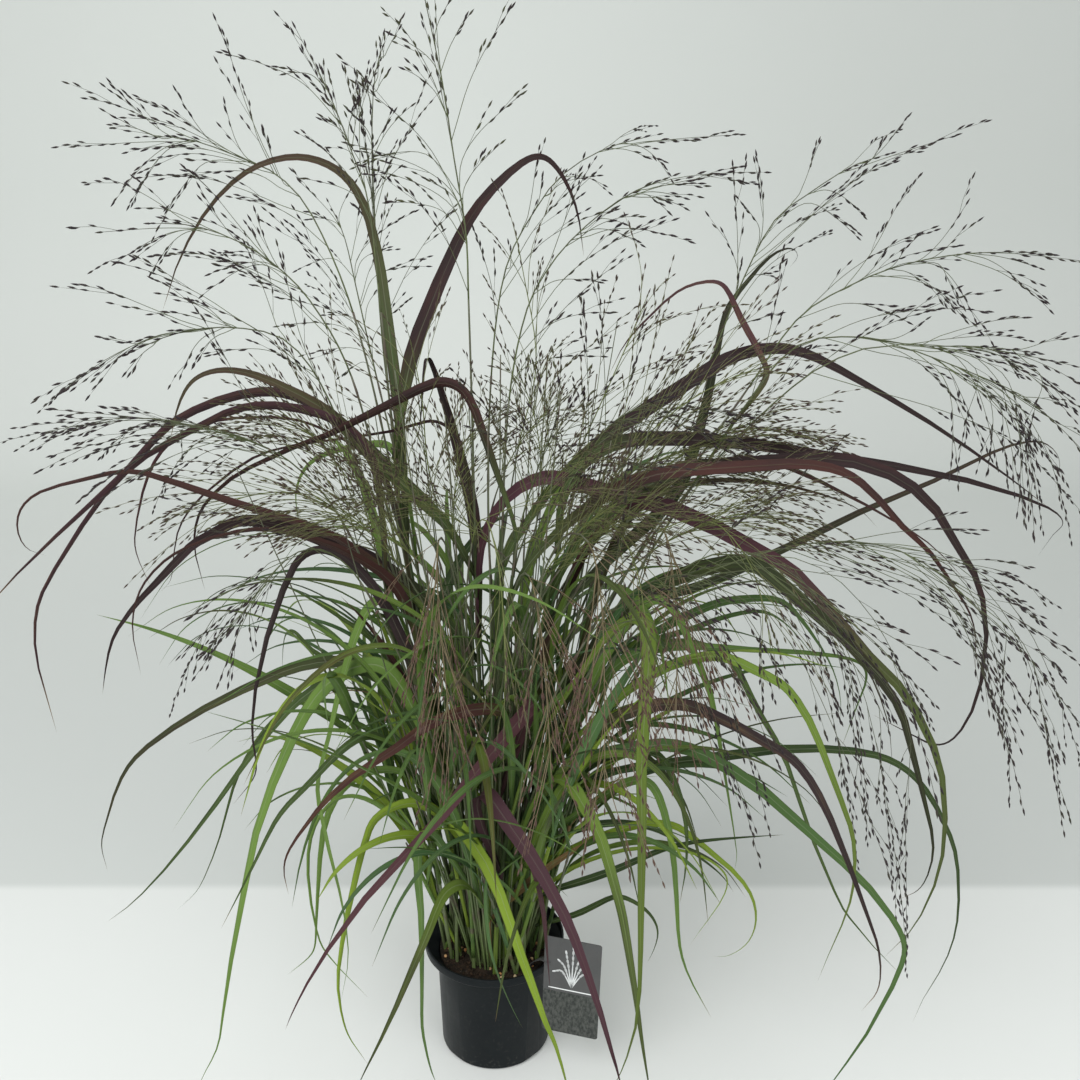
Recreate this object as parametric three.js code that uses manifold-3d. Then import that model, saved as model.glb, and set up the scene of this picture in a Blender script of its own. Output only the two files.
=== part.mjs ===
// Potted switchgrass: a round nursery pot with potting mix, a picture tag hooked over its rim,
// flowering stems with arching blades and open panicles, and leafy shoots round the crown.
// Millimetres, +Z up, the origin at the middle of the pot's underside, the front towards -Y.
import * as THREE from "three";
import Module from "manifold-3d";

const wasm = await Module();
wasm.setup();

// ---------------------------------------------------------------- driving sizes
const POT_H = 112;
const POT_LIP_R = 65.5;
const POT_TOP_R = 54.5;
const POT_BASE_R = 51.5;
const POT_WALL = 1.8;
const POT_FLOOR = 3;
const POT_SIDES = 24;
const FIT_GAP = 0.35;
const SOIL_TOP = 99;
const ROOT_Z = 84;
const HOLE_GAP = 0.4;
const HOLE_SIDES = 4;
const CULM_R = 1.6;
const CULM_TOP_R = 0.75;
const KEEL = 1.3;
const EASING = 16;
const BRANCH_R = 0.42;
const SPIKELET_R = 1.05;
const SPIKELET_L = 6.2;
const TAG_W = 52;
const TAG_H = 102;
const TAG_T = 0.8;

// The plant is drawn on its front elevation, as seen from this eye point: a point of a stem or
// blade has a place (X, Z) on the upright plane through the pot's axis, and a depth of its own.
const EYE_X = 43;
const EYE_Y = 865;
const EYE_Z = 775;

// ---------------------------------------------------------------- small tools
function lift(x, z, y) {
  const f = 1 + y / EYE_Y;
  return [EYE_X + (x - EYE_X) * f, y, EYE_Z + (z - EYE_Z) * f];
}

function elevation(p) {
  return EYE_Z + (p[2] - EYE_Z) / (1 + p[1] / EYE_Y);
}

function mulberry(seed) {
  let a = seed >>> 0;
  return () => {
    a = (a + 0x6d2b79f5) >>> 0;
    let t = a;
    t = Math.imul(t ^ (t >>> 15), t | 1) >>> 0;
    t = (t ^ (t + Math.imul(t ^ (t >>> 7), t | 61))) >>> 0;
    return ((t ^ (t >>> 14)) >>> 0) / 4294967296;
  };
}

const add = (a, b) => [a[0] + b[0], a[1] + b[1], a[2] + b[2]];
const sub = (a, b) => [a[0] - b[0], a[1] - b[1], a[2] - b[2]];
const mul = (a, k) => [a[0] * k, a[1] * k, a[2] * k];
const dot = (a, b) => a[0] * b[0] + a[1] * b[1] + a[2] * b[2];
const size = (a) => Math.sqrt(dot(a, a));
const unit = (a) => mul(a, 1 / Math.max(size(a), 1e-9));
const mix = (a, b, t) => add(mul(a, 1 - t), mul(b, t));

function cross(a, b) {
  return [a[1] * b[2] - a[2] * b[1], a[2] * b[0] - a[0] * b[2], a[0] * b[1] - a[1] * b[0]];
}

function smooth(a, b, t) {
  const k = Math.min(1, Math.max(0, (t - a) / (b - a)));
  return k * k * (3 - 2 * k);
}

// A run of points with their distances from the start.
function measured(run) {
  const at = [0];
  for (let i = 1; i < run.length; i += 1) {
    at.push(at[i - 1] + size(sub(run[i], run[i - 1])));
  }
  return { run, at, length: at[at.length - 1] };
}

// A smooth line through the points, as a fine run of points.
function flow(points) {
  const run = [];
  const fine = 10;
  for (let i = 0; i < points.length - 1; i += 1) {
    const b = points[i];
    const c = points[i + 1];
    const a = i > 0 ? points[i - 1] : sub(mul(b, 2), c);
    const d = i + 2 < points.length ? points[i + 2] : sub(mul(c, 2), b);
    for (let k = 0; k < fine; k += 1) {
      const t = k / fine;
      const t2 = t * t;
      const t3 = t2 * t;
      const wa = -0.5 * t3 + t2 - 0.5 * t;
      const wb = 1.5 * t3 - 2.5 * t2 + 1;
      const wc = -1.5 * t3 + 2 * t2 + 0.5 * t;
      const wd = 0.5 * t3 - 0.5 * t2;
      run.push(add(add(mul(a, wa), mul(b, wb)), add(mul(c, wc), mul(d, wd))));
    }
  }
  run.push(points[points.length - 1]);
  return measured(run);
}

// The line with its small kinks eased out and its ends kept.
function eased(line) {
  let run = line.run;
  for (let k = 0; k < EASING; k += 1) {
    run = run.map((p, i) => (i === 0 || i === run.length - 1 ? p
      : mix(p, mix(run[i - 1], run[i + 1], 0.5), 0.5)));
  }
  return measured(run);
}

function pointAt(line, s) {
  const want = Math.min(line.length, Math.max(0, s));
  let i = 1;
  while (i < line.at.length - 1 && line.at[i] < want) {
    i += 1;
  }
  const span = Math.max(line.at[i] - line.at[i - 1], 1e-9);
  return mix(line.run[i - 1], line.run[i], (want - line.at[i - 1]) / span);
}

function headingAt(line, s) {
  const step = Math.min(2, line.length / 8);
  return unit(sub(pointAt(line, s + step), pointAt(line, s - step)));
}

const nodes = [];

// ---------------------------------------------------------------- room between the pieces
const CELL = 4;
const PITCH = 2.3;
const REACH = 3.6;
const filled = new Map();

function cellKey(x, y, z) {
  return (x + 400) * 1000000 + (y + 400) * 1000 + (z + 400);
}

function cellOf(v) {
  return Math.floor(v / CELL);
}

function claim(samples, owner) {
  for (const p of samples) {
    const key = cellKey(cellOf(p[0]), cellOf(p[1]), cellOf(p[2]));
    if (!filled.has(key)) {
      filled.set(key, []);
    }
    filled.get(key).push([p[0], p[1], p[2], owner]);
  }
}

function crowded(samples, owner) {
  let count = 0;
  for (const p of samples) {
    const cx = cellOf(p[0]);
    const cy = cellOf(p[1]);
    const cz = cellOf(p[2]);
    let hit = p[2] < 4 || (Math.hypot(p[0], p[1]) < POT_LIP_R + 4 && p[2] < POT_H + 4);
    hit = hit || (p[0] > 38 && p[0] < 108 && p[1] > -72 && p[1] < -36 && p[2] > 30 && p[2] < 152);
    for (let i = -1; i <= 1 && !hit; i += 1) {
      for (let j = -1; j <= 1 && !hit; j += 1) {
        for (let k = -1; k <= 1 && !hit; k += 1) {
          for (const q of filled.get(cellKey(cx + i, cy + j, cz + k)) ?? []) {
            const d = (p[0] - q[0]) ** 2 + (p[1] - q[1]) ** 2 + (p[2] - q[2]) ** 2;
            if (q[3] !== owner && d < REACH * REACH) {
              hit = true;
            }
          }
        }
      }
    }
    if (hit) {
      count += 1;
    }
  }
  return count;
}

// Points all over a faceted piece, from the centres of its rings and half its width at each.
function facetSamples(rings, from) {
  const out = [];
  let run = 0;
  for (let i = 1; i < rings.length; i += 1) {
    const a = rings[i - 1];
    const b = rings[i];
    const length = size(sub(b.c, a.c));
    const steps = Math.max(1, Math.ceil(length / PITCH));
    for (let k = 0; k < steps; k += 1) {
      const t = (k + 0.5) / steps;
      const half = mix(a.half, b.half, t);
      const lanes = run + t * length < from ? -1 : Math.ceil((2 * size(half)) / PITCH);
      for (let j = 0; j <= lanes; j += 1) {
        out.push(add(mix(a.c, b.c, t), mul(half, lanes > 0 ? (2 * j) / lanes - 1 : 0)));
      }
    }
    run += length;
  }
  return out;
}

// How badly a piece sits: it must clear every other node, and should clear its own further out.
function strain(rings, owner, from, apart) {
  const other = folded(rings) ? 1 : crowded(facetSamples(rings, from), owner);
  return other * 1000 + (other ? 0 : crowded(facetSamples(rings, apart), -1));
}

// The first of the tries without strain, or the least strained that clears the other nodes.
function settle(owner, from, apart, tries) {
  let best = { strain: 1000 };
  for (const make of tries) {
    const rings = make();
    const found = strain(rings, owner, from, apart);
    if (found < best.strain) {
      best = { strain: found, rings };
    }
    if (found === 0) {
      break;
    }
  }
  if (best.rings) {
    claim(facetSamples(best.rings, from), owner);
  }
  return best.rings;
}

function threadRings(line, at, radii) {
  const rings = at.map((s, i) => (
    { c: pointAt(line, s), go: headingAt(line, s), r: radii[i], half: [0, 0, 0] }));
  rings.push({ c: pointAt(line, line.length), half: [0, 0, 0] });
  return rings;
}

// ---------------------------------------------------------------- solids
function closed(vertices, faces) {
  const mesh = new wasm.Mesh({
    numProp: 3,
    vertProperties: new Float32Array(vertices.flat()),
    triVerts: new Uint32Array(faces.flat()),
  });
  return new wasm.Manifold(mesh);
}

// Rings of equal count joined one after another, closed flat at the start and at the last ring,
// or drawn to a point. Each skewed side is split along its outer diagonal.
function loft(rings, tip) {
  const vertices = rings.flat();
  const n = rings[0].length;
  const faces = [];
  for (let r = 0; r < rings.length - 1; r += 1) {
    for (let i = 0; i < n; i += 1) {
      const a = r * n + i;
      const b = r * n + ((i + 1) % n);
      const [va, vb, vc, vd] = [a, b, b + n, a + n].map((k) => vertices[k]);
      const out = cross(sub(vc, va), sub(vd, vb));
      if (dot(sub(add(va, vc), add(vb, vd)), out) >= 0) {
        faces.push([a, b, b + n], [a, b + n, a + n]);
      } else {
        faces.push([a, b, a + n], [b, b + n, a + n]);
      }
    }
  }
  for (let i = 1; i < n - 1; i += 1) {
    faces.push([0, i + 1, i]);
  }
  const last = (rings.length - 1) * n;
  if (tip) {
    vertices.push(tip);
    for (let i = 0; i < n; i += 1) {
      faces.push([last + i, last + ((i + 1) % n), vertices.length - 1]);
    }
  } else {
    for (let i = 1; i < n - 1; i += 1) {
      faces.push([last, last + i, last + i + 1]);
    }
  }
  return closed(vertices, faces);
}

// The straight-sided run through the rings' centres, which other pieces grow from.
function chain(rings) {
  const run = [rings[0].c];
  for (let i = 1; i < rings.length; i += 1) {
    const steps = Math.ceil(size(sub(rings[i].c, rings[i - 1].c)) / 4);
    for (let k = 1; k <= steps; k += 1) {
      run.push(mix(rings[i - 1].c, rings[i].c, k / steps));
    }
  }
  return measured(run);
}

// A round stem through the rings, drawn to a point at the last or cut off one before it.
function tube(rings, sides, pointed) {
  let side = null;
  const loops = rings.slice(0, -1).map(({ c, go, r }) => {
    const guess = side ?? (Math.abs(go[1]) < 0.8 ? [0, 1, 0] : [1, 0, 0]);
    side = unit(sub(guess, mul(go, dot(guess, go))));
    const up = cross(go, side);
    const loop = [];
    for (let k = 0; k < sides; k += 1) {
      const a = (2 * Math.PI * k) / sides;
      loop.push(add(c, add(mul(side, r * Math.cos(a)), mul(up, r * Math.sin(a)))));
    }
    return loop;
  });
  return loft(loops, pointed ? rings[rings.length - 1].c : null);
}

// A blade widens from its foot to its full width, then tapers evenly to its tip.
function bladeWidth(width, f) {
  const rise = 0.42 + 0.58 * smooth(0, 0.28, f);
  return width * rise * Math.min(1, (1 - f) / 0.66) ** 0.95;
}

// Distances along the line that share its length and its bends out evenly.
function bendStations(line, count) {
  const effort = [0];
  for (let i = 1; i < line.run.length; i += 1) {
    const d = headingAt(line, line.at[i - 1]);
    const turn = Math.acos(Math.min(1, dot(d, headingAt(line, line.at[i]))));
    effort.push(effort[i - 1] + (line.at[i] - line.at[i - 1]) / line.length + turn * 0.9);
  }
  const out = [];
  let k = 0;
  for (let i = 0; i < count; i += 1) {
    const want = (effort[effort.length - 1] * i) / count;
    while (effort[k + 1] < want) {
      k += 1;
    }
    const f = (want - effort[k]) / Math.max(effort[k + 1] - effort[k], 1e-9);
    out.push(line.at[k] + (line.at[k + 1] - line.at[k]) * f);
  }
  return out;
}

// The level direction across a blade is carried along it, then turned by its roll and twist.
function bladeRings(line, width, roll, twist, count) {
  const away = sub(pointAt(line, line.length), pointAt(line, 0));
  const level = unit([away[0] + 1e-6, away[1], 0]);
  let flat = [-level[1], level[0], 0];
  const rings = bendStations(line, count).map((s) => {
    const f = s / line.length;
    const w = bladeWidth(width, f);
    const go = headingAt(line, s);
    flat = unit(sub(flat, mul(go, dot(flat, go))));
    const a = ((roll + twist * f) * Math.PI) / 180;
    const side = add(mul(flat, Math.cos(a)), mul(cross(go, flat), Math.sin(a)));
    const keel = mul(cross(go, side), -Math.min(KEEL, 0.35 * w));
    return { c: pointAt(line, s), half: mul(side, w / 2), keel };
  });
  rings.push({ c: pointAt(line, line.length), half: [0, 0, 0] });
  return rings;
}

// Whether a blade turns so fast that two rings would cross.
function folded(rings) {
  for (let i = 1; i < rings.length - 1; i += 1) {
    const a = rings[i - 1];
    const b = rings[i];
    const go = sub(b.c, a.c);
    const turn = dot(unit(a.half), unit(b.half));
    for (const k of [-1, 1]) {
      const edge = dot(sub(add(b.c, mul(b.half, k)), add(a.c, mul(a.half, k))), go);
      if (edge < 0.15 * dot(go, go) || (turn < 0.6 && size(a.half) > 0)) {
        return true;
      }
    }
  }
  return false;
}

// A blade with a flat upper face and a keel along the underside.
function blade(rings) {
  const body = rings.slice(0, -1).map(({ c, half, keel }) => [sub(c, half), add(c, keel), add(c, half)]);
  return loft(body, rings[rings.length - 1].c);
}

// Joins the pieces of one node and keeps its main body, without hollows or loose scraps.
function fuse(pieces) {
  const whole = wasm.Manifold.union(pieces);
  const bodies = whole.decompose();
  let best = bodies[0];
  for (const body of bodies) {
    if (body.volume() > best.volume()) {
      best = body;
    }
  }
  return best;
}

// ---------------------------------------------------------------- flowering stems
// Each stem: its place on the crown, the depth it leans to, its line on the front elevation from
// just above the pot upwards, where its panicle starts (index on the line), and the branch ends.
const STEMS = [
  { root: [-8, 4], lean: 10, head: 3,
    line: [-8, 250, -11, 450, -12, 619, -13, 700, -14, 750, -22, 805, -28, 850, -36, 892, -44, 930],
    ends: [-20, 915, 34, 852, 18, 818, -71, 892, -107, 816, -97, 800, -55, 795] },
  { root: [-20, 16], lean: 120, head: 2,
    line: [-25, 260, -60, 470, -80, 640, -84, 760, -83, 820, -78, 866, -66, 893],
    ends: [-57, 897, -88, 862, -66, 868, -104, 842, -75, 889, -60, 800, -98, 770] },
  { root: [-26, 2], lean: 55, head: 2,
    line: [-30, 260, -68, 480, -82, 690, -88, 772, -100, 812, -112, 846, -126, 877],
    ends: [-138, 899, -116, 874, -128, 858, -124, 836, -90, 850, -140, 790, -70, 830] },
  { root: [-38, 8], lean: 90, head: 3,
    line: [-40, 250, -60, 430, -82, 580, -104, 690, -130, 760, -152, 789, -174, 801, -222, 818,
      -262, 819],
    ends: [-312, 812, -278, 861, -229, 856, -286, 840, -275, 782, -192, 848, -165, 829, -270, 768] },
  { root: [-36, -8], lean: -15, head: 3,
    line: [-38, 240, -60, 400, -86, 540, -108, 640, -136, 697, -165, 728, -197, 747, -228, 756,
      -262, 757],
    ends: [-300, 750, -290, 725, -262, 716, -218, 788, -205, 722, -176, 771, -225, 700] },
  { root: [-24, -14], lean: -60, head: 3,
    line: [-30, 230, -58, 380, -88, 500, -112, 580, -136, 640, -160, 669, -188, 677, -217, 678,
      -250, 672, -290, 655],
    ends: [-364, 609, -345, 624, -310, 672, -292, 638, -258, 690, -235, 646, -246, 636] },
  { root: [-34, -24], lean: -95, head: 3,
    line: [-38, 220, -66, 350, -98, 460, -128, 530, -160, 568, -188, 585, -215, 595, -245, 600,
      -280, 601],
    ends: [-406, 583, -388, 597, -362, 573, -343, 533, -358, 613, -300, 560, -280, 524] },
  { root: [-18, -34], lean: -185, head: 3,
    line: [-25, 200, -48, 300, -80, 400, -110, 466, -136, 492, -162, 491, -186, 470, -206, 444,
      -224, 418],
    ends: [-285, 337, -262, 372, -241, 364, -226, 392, -223, 437, -216, 456, -205, 400] },
  { root: [-4, -26], lean: -150, head: 2,
    line: [0, 230, 10, 380, 24, 500, 40, 560, 52, 592, 58, 612],
    ends: [0, 622, 36, 655, 85, 650, 110, 640, 70, 520, 95, 560, 10, 520] },
  { root: [20, -20], lean: -70, head: 2,
    line: [24, 250, 44, 420, 72, 545, 95, 594, 122, 614, 155, 624],
    ends: [190, 642, 126, 674, 235, 602, 216, 606, 140, 560, 180, 560, 165, 590] },
  { root: [6, -10], lean: -35, head: 3,
    line: [8, 240, 10, 400, 12, 520, 18, 620, 32, 690, 52, 727, 77, 754, 110, 778, 150, 794],
    ends: [219, 794, 186, 793, 170, 786, 158, 774, 122, 742, 94, 712, 98, 655] },
  { root: [10, 30], lean: 130, head: 3,
    line: [8, 250, 4, 400, 0, 520, 4, 640, 16, 722, 40, 768, 62, 794, 95, 812, 136, 822],
    ends: [198, 821, 165, 817, 128, 803, 140, 795, 95, 783, 45, 795, 20, 742] },
  { root: [28, 22], lean: 95, head: 4,
    line: [30, 240, 52, 360, 90, 470, 138, 570, 176, 646, 200, 712, 222, 758, 248, 779, 280, 799,
      312, 809],
    ends: [360, 822, 318, 835, 303, 821, 262, 786, 237, 690, 205, 811, 181, 755, 293, 762] },
  { root: [38, 6], lean: 45, head: 4,
    line: [40, 220, 60, 330, 105, 450, 160, 550, 210, 630, 246, 685, 284, 710, 321, 725, 366, 734,
      410, 736],
    ends: [484, 726, 436, 722, 427, 705, 371, 776, 371, 757, 311, 736, 346, 709, 388, 680] },
  { root: [34, -10], lean: -5, head: 4,
    line: [36, 220, 58, 330, 108, 440, 158, 530, 205, 610, 244, 662, 290, 671, 342, 664, 396, 663,
      445, 657],
    ends: [504, 640, 460, 675, 427, 637, 480, 600, 455, 560, 420, 560, 345, 682] },
  { root: [22, -2], lean: -50, head: 4,
    line: [26, 220, 48, 330, 92, 430, 140, 510, 190, 574, 240, 626, 276, 652, 319, 664, 368, 650,
      418, 629, 466, 600],
    ends: [521, 545, 514, 575, 490, 496, 458, 499, 440, 520, 410, 556, 380, 552] },
  { root: [28, -32], lean: -125, head: 3,
    line: [32, 190, 56, 290, 104, 390, 160, 458, 216, 486, 268, 499, 317, 500, 360, 486, 402, 455,
      438, 418],
    ends: [536, 268, 545, 300, 516, 250, 485, 238, 470, 246, 455, 316, 505, 400] },
  { root: [12, -39], lean: -170, head: 3,
    line: [16, 180, 40, 270, 80, 370, 124, 440, 172, 482, 214, 492, 254, 474, 288, 444, 314, 414],
    ends: [396, 60, 384, 130, 345, 205, 340, 168, 400, 290, 396, 345, 330, 322] },
  { root: [2, -42], lean: -205, head: 3,
    line: [6, 170, 20, 250, 48, 340, 82, 410, 118, 452, 152, 470, 184, 468, 208, 448],
    ends: [255, 215, 226, 245, 248, 182, 215, 360, 190, 410, 150, 400, 262, 300] },
  { root: [-14, 28], lean: 190, head: 3,
    line: [-18, 250, -40, 400, -66, 530, -88, 640, -100, 706, -108, 748, -120, 776],
    ends: [-142, 790, -166, 702, -132, 762, -95, 790, -62, 762, -56, 702, -150, 655] },
];

// Blades traced on the elevation: the stem they grow from, their tone, width, roll and twist in
// degrees, the depth of the end, and their line; the first point only tells the height on the stem.
const BLADES = [
  [2, "dark", 13, 72, 0, 40, [-73, 560, -64, 640, -46, 688, -28, 728, -9, 764, 16, 791, 42, 807,
    60, 792, 72, 765, 77, 732]],
  [3, "green", 10, -68, -20, 10, [-64, 480, -70, 600, -77, 680, -81, 725, -90, 768, -108, 795,
    -140, 806, -178, 796, -212, 767, -238, 728, -254, 690]],
  [0, "dark", 13, -60, -30, -60, [-12, 468, -30, 508, -46, 527, -63, 544, -87, 568, -110, 593,
    -131, 613, -155, 627, -185, 641, -212, 645, -235, 637, -249, 616, -258, 588]],
  [4, "dark", 11, 55, 0, 30, [-50, 420, -80, 545, -112, 590, -140, 616, -170, 627, -205, 623,
    -240, 610, -265, 594, -296, 562, -321, 541, -363, 505, -400, 472, -440, 432]],
  [6, "dark", 9, 50, 0, -80, [-60, 430, -90, 560, -115, 598, -147, 612, -183, 616, -212, 609,
    -246, 592, -283, 572, -314, 545, -335, 520, -351, 498, -381, 456, -392, 422, -394, 385,
    -386, 322]],
  [5, "dark", 9, 55, 30, -150, [-31, 385, -42, 418, -66, 450, -93, 478, -125, 503, -157, 517,
    -190, 528, -236, 543, -268, 556, -298, 562, -339, 553, -371, 544, -389, 529, -394, 510, -388,
    494, -372, 488]],
  [0, "dark", 14, -62, -25, -190, [-11, 393, -30, 423, -51, 447, -76, 468, -102, 486, -128, 498,
    -160, 511, -190, 519, -212, 518, -230, 508, -249, 498, -268, 479, -286, 461, -301, 446, -325,
    416, -336, 382, -341, 360]],
  [5, "dark", 9, 55, 0, -110, [-40, 330, -70, 448, -110, 486, -150, 504, -190, 512, -225, 506,
    -255, 495, -276, 482, -296, 460, -306, 434, -308, 410, -305, 378]],
  [7, "dark", 9, 66, 0, -215, [-40, 270, -70, 400, -104, 470, -135, 494, -158, 488, -172, 465,
    -185, 435, -197, 400, -207, 362, -213, 322, -211, 292, -216, 275, -236, 250]],
  [4, "green", 10, -74, 0, -40, [-40, 270, -78, 360, -120, 391, -165, 388, -205, 371, -247, 350,
    -285, 326, -321, 297, -340, 266, -352, 235, -361, 208, -358, 180]],
  [3, "dark", 6, 45, 0, 70, [-75, 520, -100, 575, -135, 597, -160, 605, -190, 606, -222, 603,
    -250, 592, -270, 574, -284, 548, -295, 512, -297, 490, -287, 458]],
  [8, "dark", 9, 58, 0, -20, [22, 471, 24, 509, 14, 539, 0, 580, -8, 606, -18, 627, -34, 635, -52,
    630, -75, 618, -100, 606, -130, 591, -157, 582, -190, 567, -212, 555, -236, 533, -246, 510,
    -247, 486, -242, 457]],
  [0, "dark", 6, 50, 0, 60, [-12, 500, -20, 580, -40, 603, -63, 598, -88, 592, -122, 588,
    -153, 584, -185, 576, -212, 560, -244, 534, -260, 510, -266, 485, -270, 466, -281, 455]],
  [1, "green", 8, 60, 60, 60, [-60, 470, -72, 575, -98, 584, -134, 576, -152, 562, -160, 540,
    -158, 518, -166, 500]],
  [0, "dark", 15, 82, 0, -30, [-10, 400, -12, 510, -19, 555, -27, 590, -35, 622, -42, 645,
    -47, 655, -50, 640, -52, 615, -56, 592, -59, 572]],
  [0, "purple", 14, 70, 0, -105, [-11, 456, -8, 492, -1, 518, 12, 538, 31, 552, 55, 557, 84, 547,
    125, 538, 162, 526, 195, 510, 232, 489, 256, 475, 280, 451, 307, 419, 331, 393, 357, 369, 381,
    334, 400, 295, 410, 256, 415, 206, 410, 160, 395, 116, 371, 84]],
  [15, "dark", 13, 66, 10, -60, [60, 360, 112, 438, 160, 470, 200, 482, 226, 480, 247, 464,
    280, 437, 316, 403, 346, 368, 362, 343, 376, 305, 388, 265, 401, 226, 406, 195, 399, 162,
    380, 150]],
  [14, "green", 7, 50, 0, 20, [70, 360, 150, 462, 200, 478, 240, 470, 290, 425, 326, 388,
    344, 352, 353, 325, 358, 297, 356, 280]],
  [9, "dark", 13, 66, 0, 20, [56, 485, 60, 527, 73, 561, 98, 582, 129, 589, 183, 587, 223, 583,
    270, 575, 301, 571, 350, 563, 398, 553, 439, 541, 470, 528, 480, 516, 472, 507, 462, 488]],
  [9, "dark", 13, 66, 0, -40, [47, 442, 72, 495, 101, 528, 135, 552, 174, 566, 210, 565, 250, 572,
    290, 572, 325, 562, 352, 547, 378, 521, 397, 490, 412, 470, 424, 437, 429, 400, 427, 355, 414,
    320, 395, 310, 367, 325, 336, 341]],
  [8, "dark", 11, 60, 0, -90, [17, 449, 31, 480, 53, 505, 79, 528, 110, 548, 147, 561, 209, 565,
    256, 568, 296, 560, 325, 536, 348, 511, 372, 491, 396, 458, 410, 439, 419, 415, 423, 380]],
  [10, "dark", 13, 60, 0, 50, [11, 473, 19, 495, 35, 521, 52, 546, 73, 568, 94, 587, 115, 603,
    159, 632, 192, 654, 228, 662, 256, 657, 285, 643, 322, 623, 362, 600, 403, 574, 438, 550, 466,
    530]],
  [14, "dark", 9, 60, 0, 60, [60, 340, 96, 420, 130, 447, 163, 456, 189, 465, 228, 484, 260, 500,
    297, 521, 333, 537, 367, 553, 396, 568, 420, 581, 445, 587, 460, 582, 470, 568, 468, 543]],
  [9, "green", 12, 62, 0, 110, [45, 425, 71, 457, 110, 495, 144, 528, 162, 556, 171, 590, 178,
    624, 185, 670, 189, 691, 200, 708, 220, 732, 236, 739, 243, 733, 237, 724]],
  [14, "dark", 8, -50, 0, 30, [218, 624, 224, 637, 219, 653, 211, 668, 202, 682, 192, 702, 182,
    713, 162, 711, 144, 701, 118, 675, 107, 660, 97, 638]],
  [15, "olive", 8, 55, 0, -30, [80, 400, 110, 515, 150, 545, 185, 554, 232, 552, 273, 543,
    307, 530, 325, 513]],
  [16, "lime", 9, 62, 0, -140, [70, 300, 110, 355, 150, 385, 185, 396, 208, 394, 244, 376,
    262, 363, 284, 330, 301, 290, 318, 250, 330, 218, 335, 180, 333, 140, 318, 88, 310, 57]],
  [17, "brown", 11, 64, 0, -190, [30, 230, 85, 315, 125, 345, 167, 351, 196, 340, 231, 321,
    266, 299, 283, 280, 300, 252, 324, 200, 341, 155, 361, 108, 369, 75, 369, 45, 355, 22]],
  [16, "green", 9, 55, 0, -90, [50, 270, 100, 380, 143, 404, 193, 405, 227, 402, 275, 400,
    309, 395, 325, 387, 328, 370, 318, 335, 312, 308]],
  [17, "green", 11, 62, 40, -200, [30, 215, 60, 280, 97, 301, 146, 311, 171, 308, 195, 298,
    241, 268, 289, 222, 323, 190, 350, 162, 378, 124, 390, 97, 388, 72, 376, 30, 357, -19,
    335, -60, 318, -95]],
  [15, "green", 9, 58, 0, -110, [40, 240, 92, 280, 150, 292, 209, 299, 250, 306, 299, 307,
    343, 301, 371, 287, 393, 264, 412, 232, 427, 198, 435, 150, 436, 110, 428, 72, 413, 36,
    406, 8]],
  [13, "green", 8, 55, 0, 70, [80, 380, 130, 412, 165, 432, 195, 446, 222, 450, 245, 449,
    262, 437, 286, 405, 300, 380, 308, 352, 308, 330]],
  [12, "green", 6, 50, 0, 120, [70, 380, 120, 405, 172, 421, 192, 430, 216, 437, 235, 438,
    250, 430, 262, 419, 276, 402, 290, 384]],
  [14, "green", 7, 60, 0, -10, [60, 330, 120, 396, 155, 410, 185, 406, 210, 393, 233, 347,
    248, 324, 267, 286, 288, 226, 307, 183, 326, 141, 342, 120, 364, 92, 390, 64]],
  [16, "green", 9, 66, 0, -60, [60, 290, 100, 400, 132, 445, 150, 447, 163, 430, 178, 395,
    190, 368, 197, 343, 204, 308, 212, 266, 217, 240, 222, 215, 225, 195, 223, 178]],
  [18, "lime", 12, 84, 0, -250, [40, 300, 84, 388, 110, 424, 130, 432, 138, 408, 136, 360,
    135, 324, 134, 286, 136, 240, 137, 200, 138, 130, 139, 80, 139, 40, 136, -2, 124, -50,
    112, -78]],
  [17, "brown", 13, 24, 0, -245, [20, 190, 44, 268, 66, 275, 81, 252, 95, 224, 104, 196, 118, 142,
    124, 111, 134, 50, 143, -14, 150, -58, 153, -78]],
  [18, "purple", 14, 26, 0, -262, [6, 180, -16, 246, -6, 262, 8, 240, 34, 198, 53, 160, 71, 120,
    88, 67, 102, 20, 114, -28, 121, -54, 126, -78]],
  [8, "purple", 12, -4, 0, -235, [2, 240, 30, 335, 38, 352, 24, 335, 9, 314, -9, 291, -36, 252,
    -72, 208, -109, 166, -144, 117, -176, 65, -198, 20, -206, 0]],
  [8, "brown", 10, -62, 0, -170, [4, 280, 14, 336, 0, 346, -24, 344, -57, 331, -88, 305,
    -120, 284, -151, 255, -172, 228, -190, 200, -195, 178, -192, 154]],
  [5, "green", 11, -60, 0, -160, [-50, 340, -78, 438, -100, 446, -117, 412, -131, 369, -142, 325,
    -154, 286, -158, 260, -153, 215, -146, 172, -141, 137, -139, 95, -143, 62, -150, 32]],
  [7, "green", 13, 70, 0, -230, [-36, 250, -80, 376, -115, 388, -147, 367, -172, 330, -193, 286,
    -213, 236, -227, 189, -238, 137, -252, 83, -264, 27, -273, -19, -290, -52, -300, -76]],
  [6, "green", 8, -76, 0, -50, [-50, 280, -90, 372, -125, 382, -160, 362, -189, 334, -226, 286,
    -256, 244, -297, 191, -337, 147, -366, 124]],
  [6, "green", 8, -74, 0, -170, [-40, 230, -95, 318, -130, 310, -165, 272, -195, 240, -218, 195,
    -237, 158, -259, 116]],
  [4, "green", 5, 50, 0, -10, [-60, 340, -110, 366, -160, 360, -200, 328, -231, 277, -249, 220,
    -268, 175, -280, 155, -298, 138]],
  [8, "lime", 9, 62, 0, -200, [-2, 160, -35, 225, -56, 247, -80, 252, -107, 236, -117, 212,
    -125, 185, -138, 133, -147, 89, -152, 50, -148, 5, -139, -20, -127, -42]],
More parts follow.
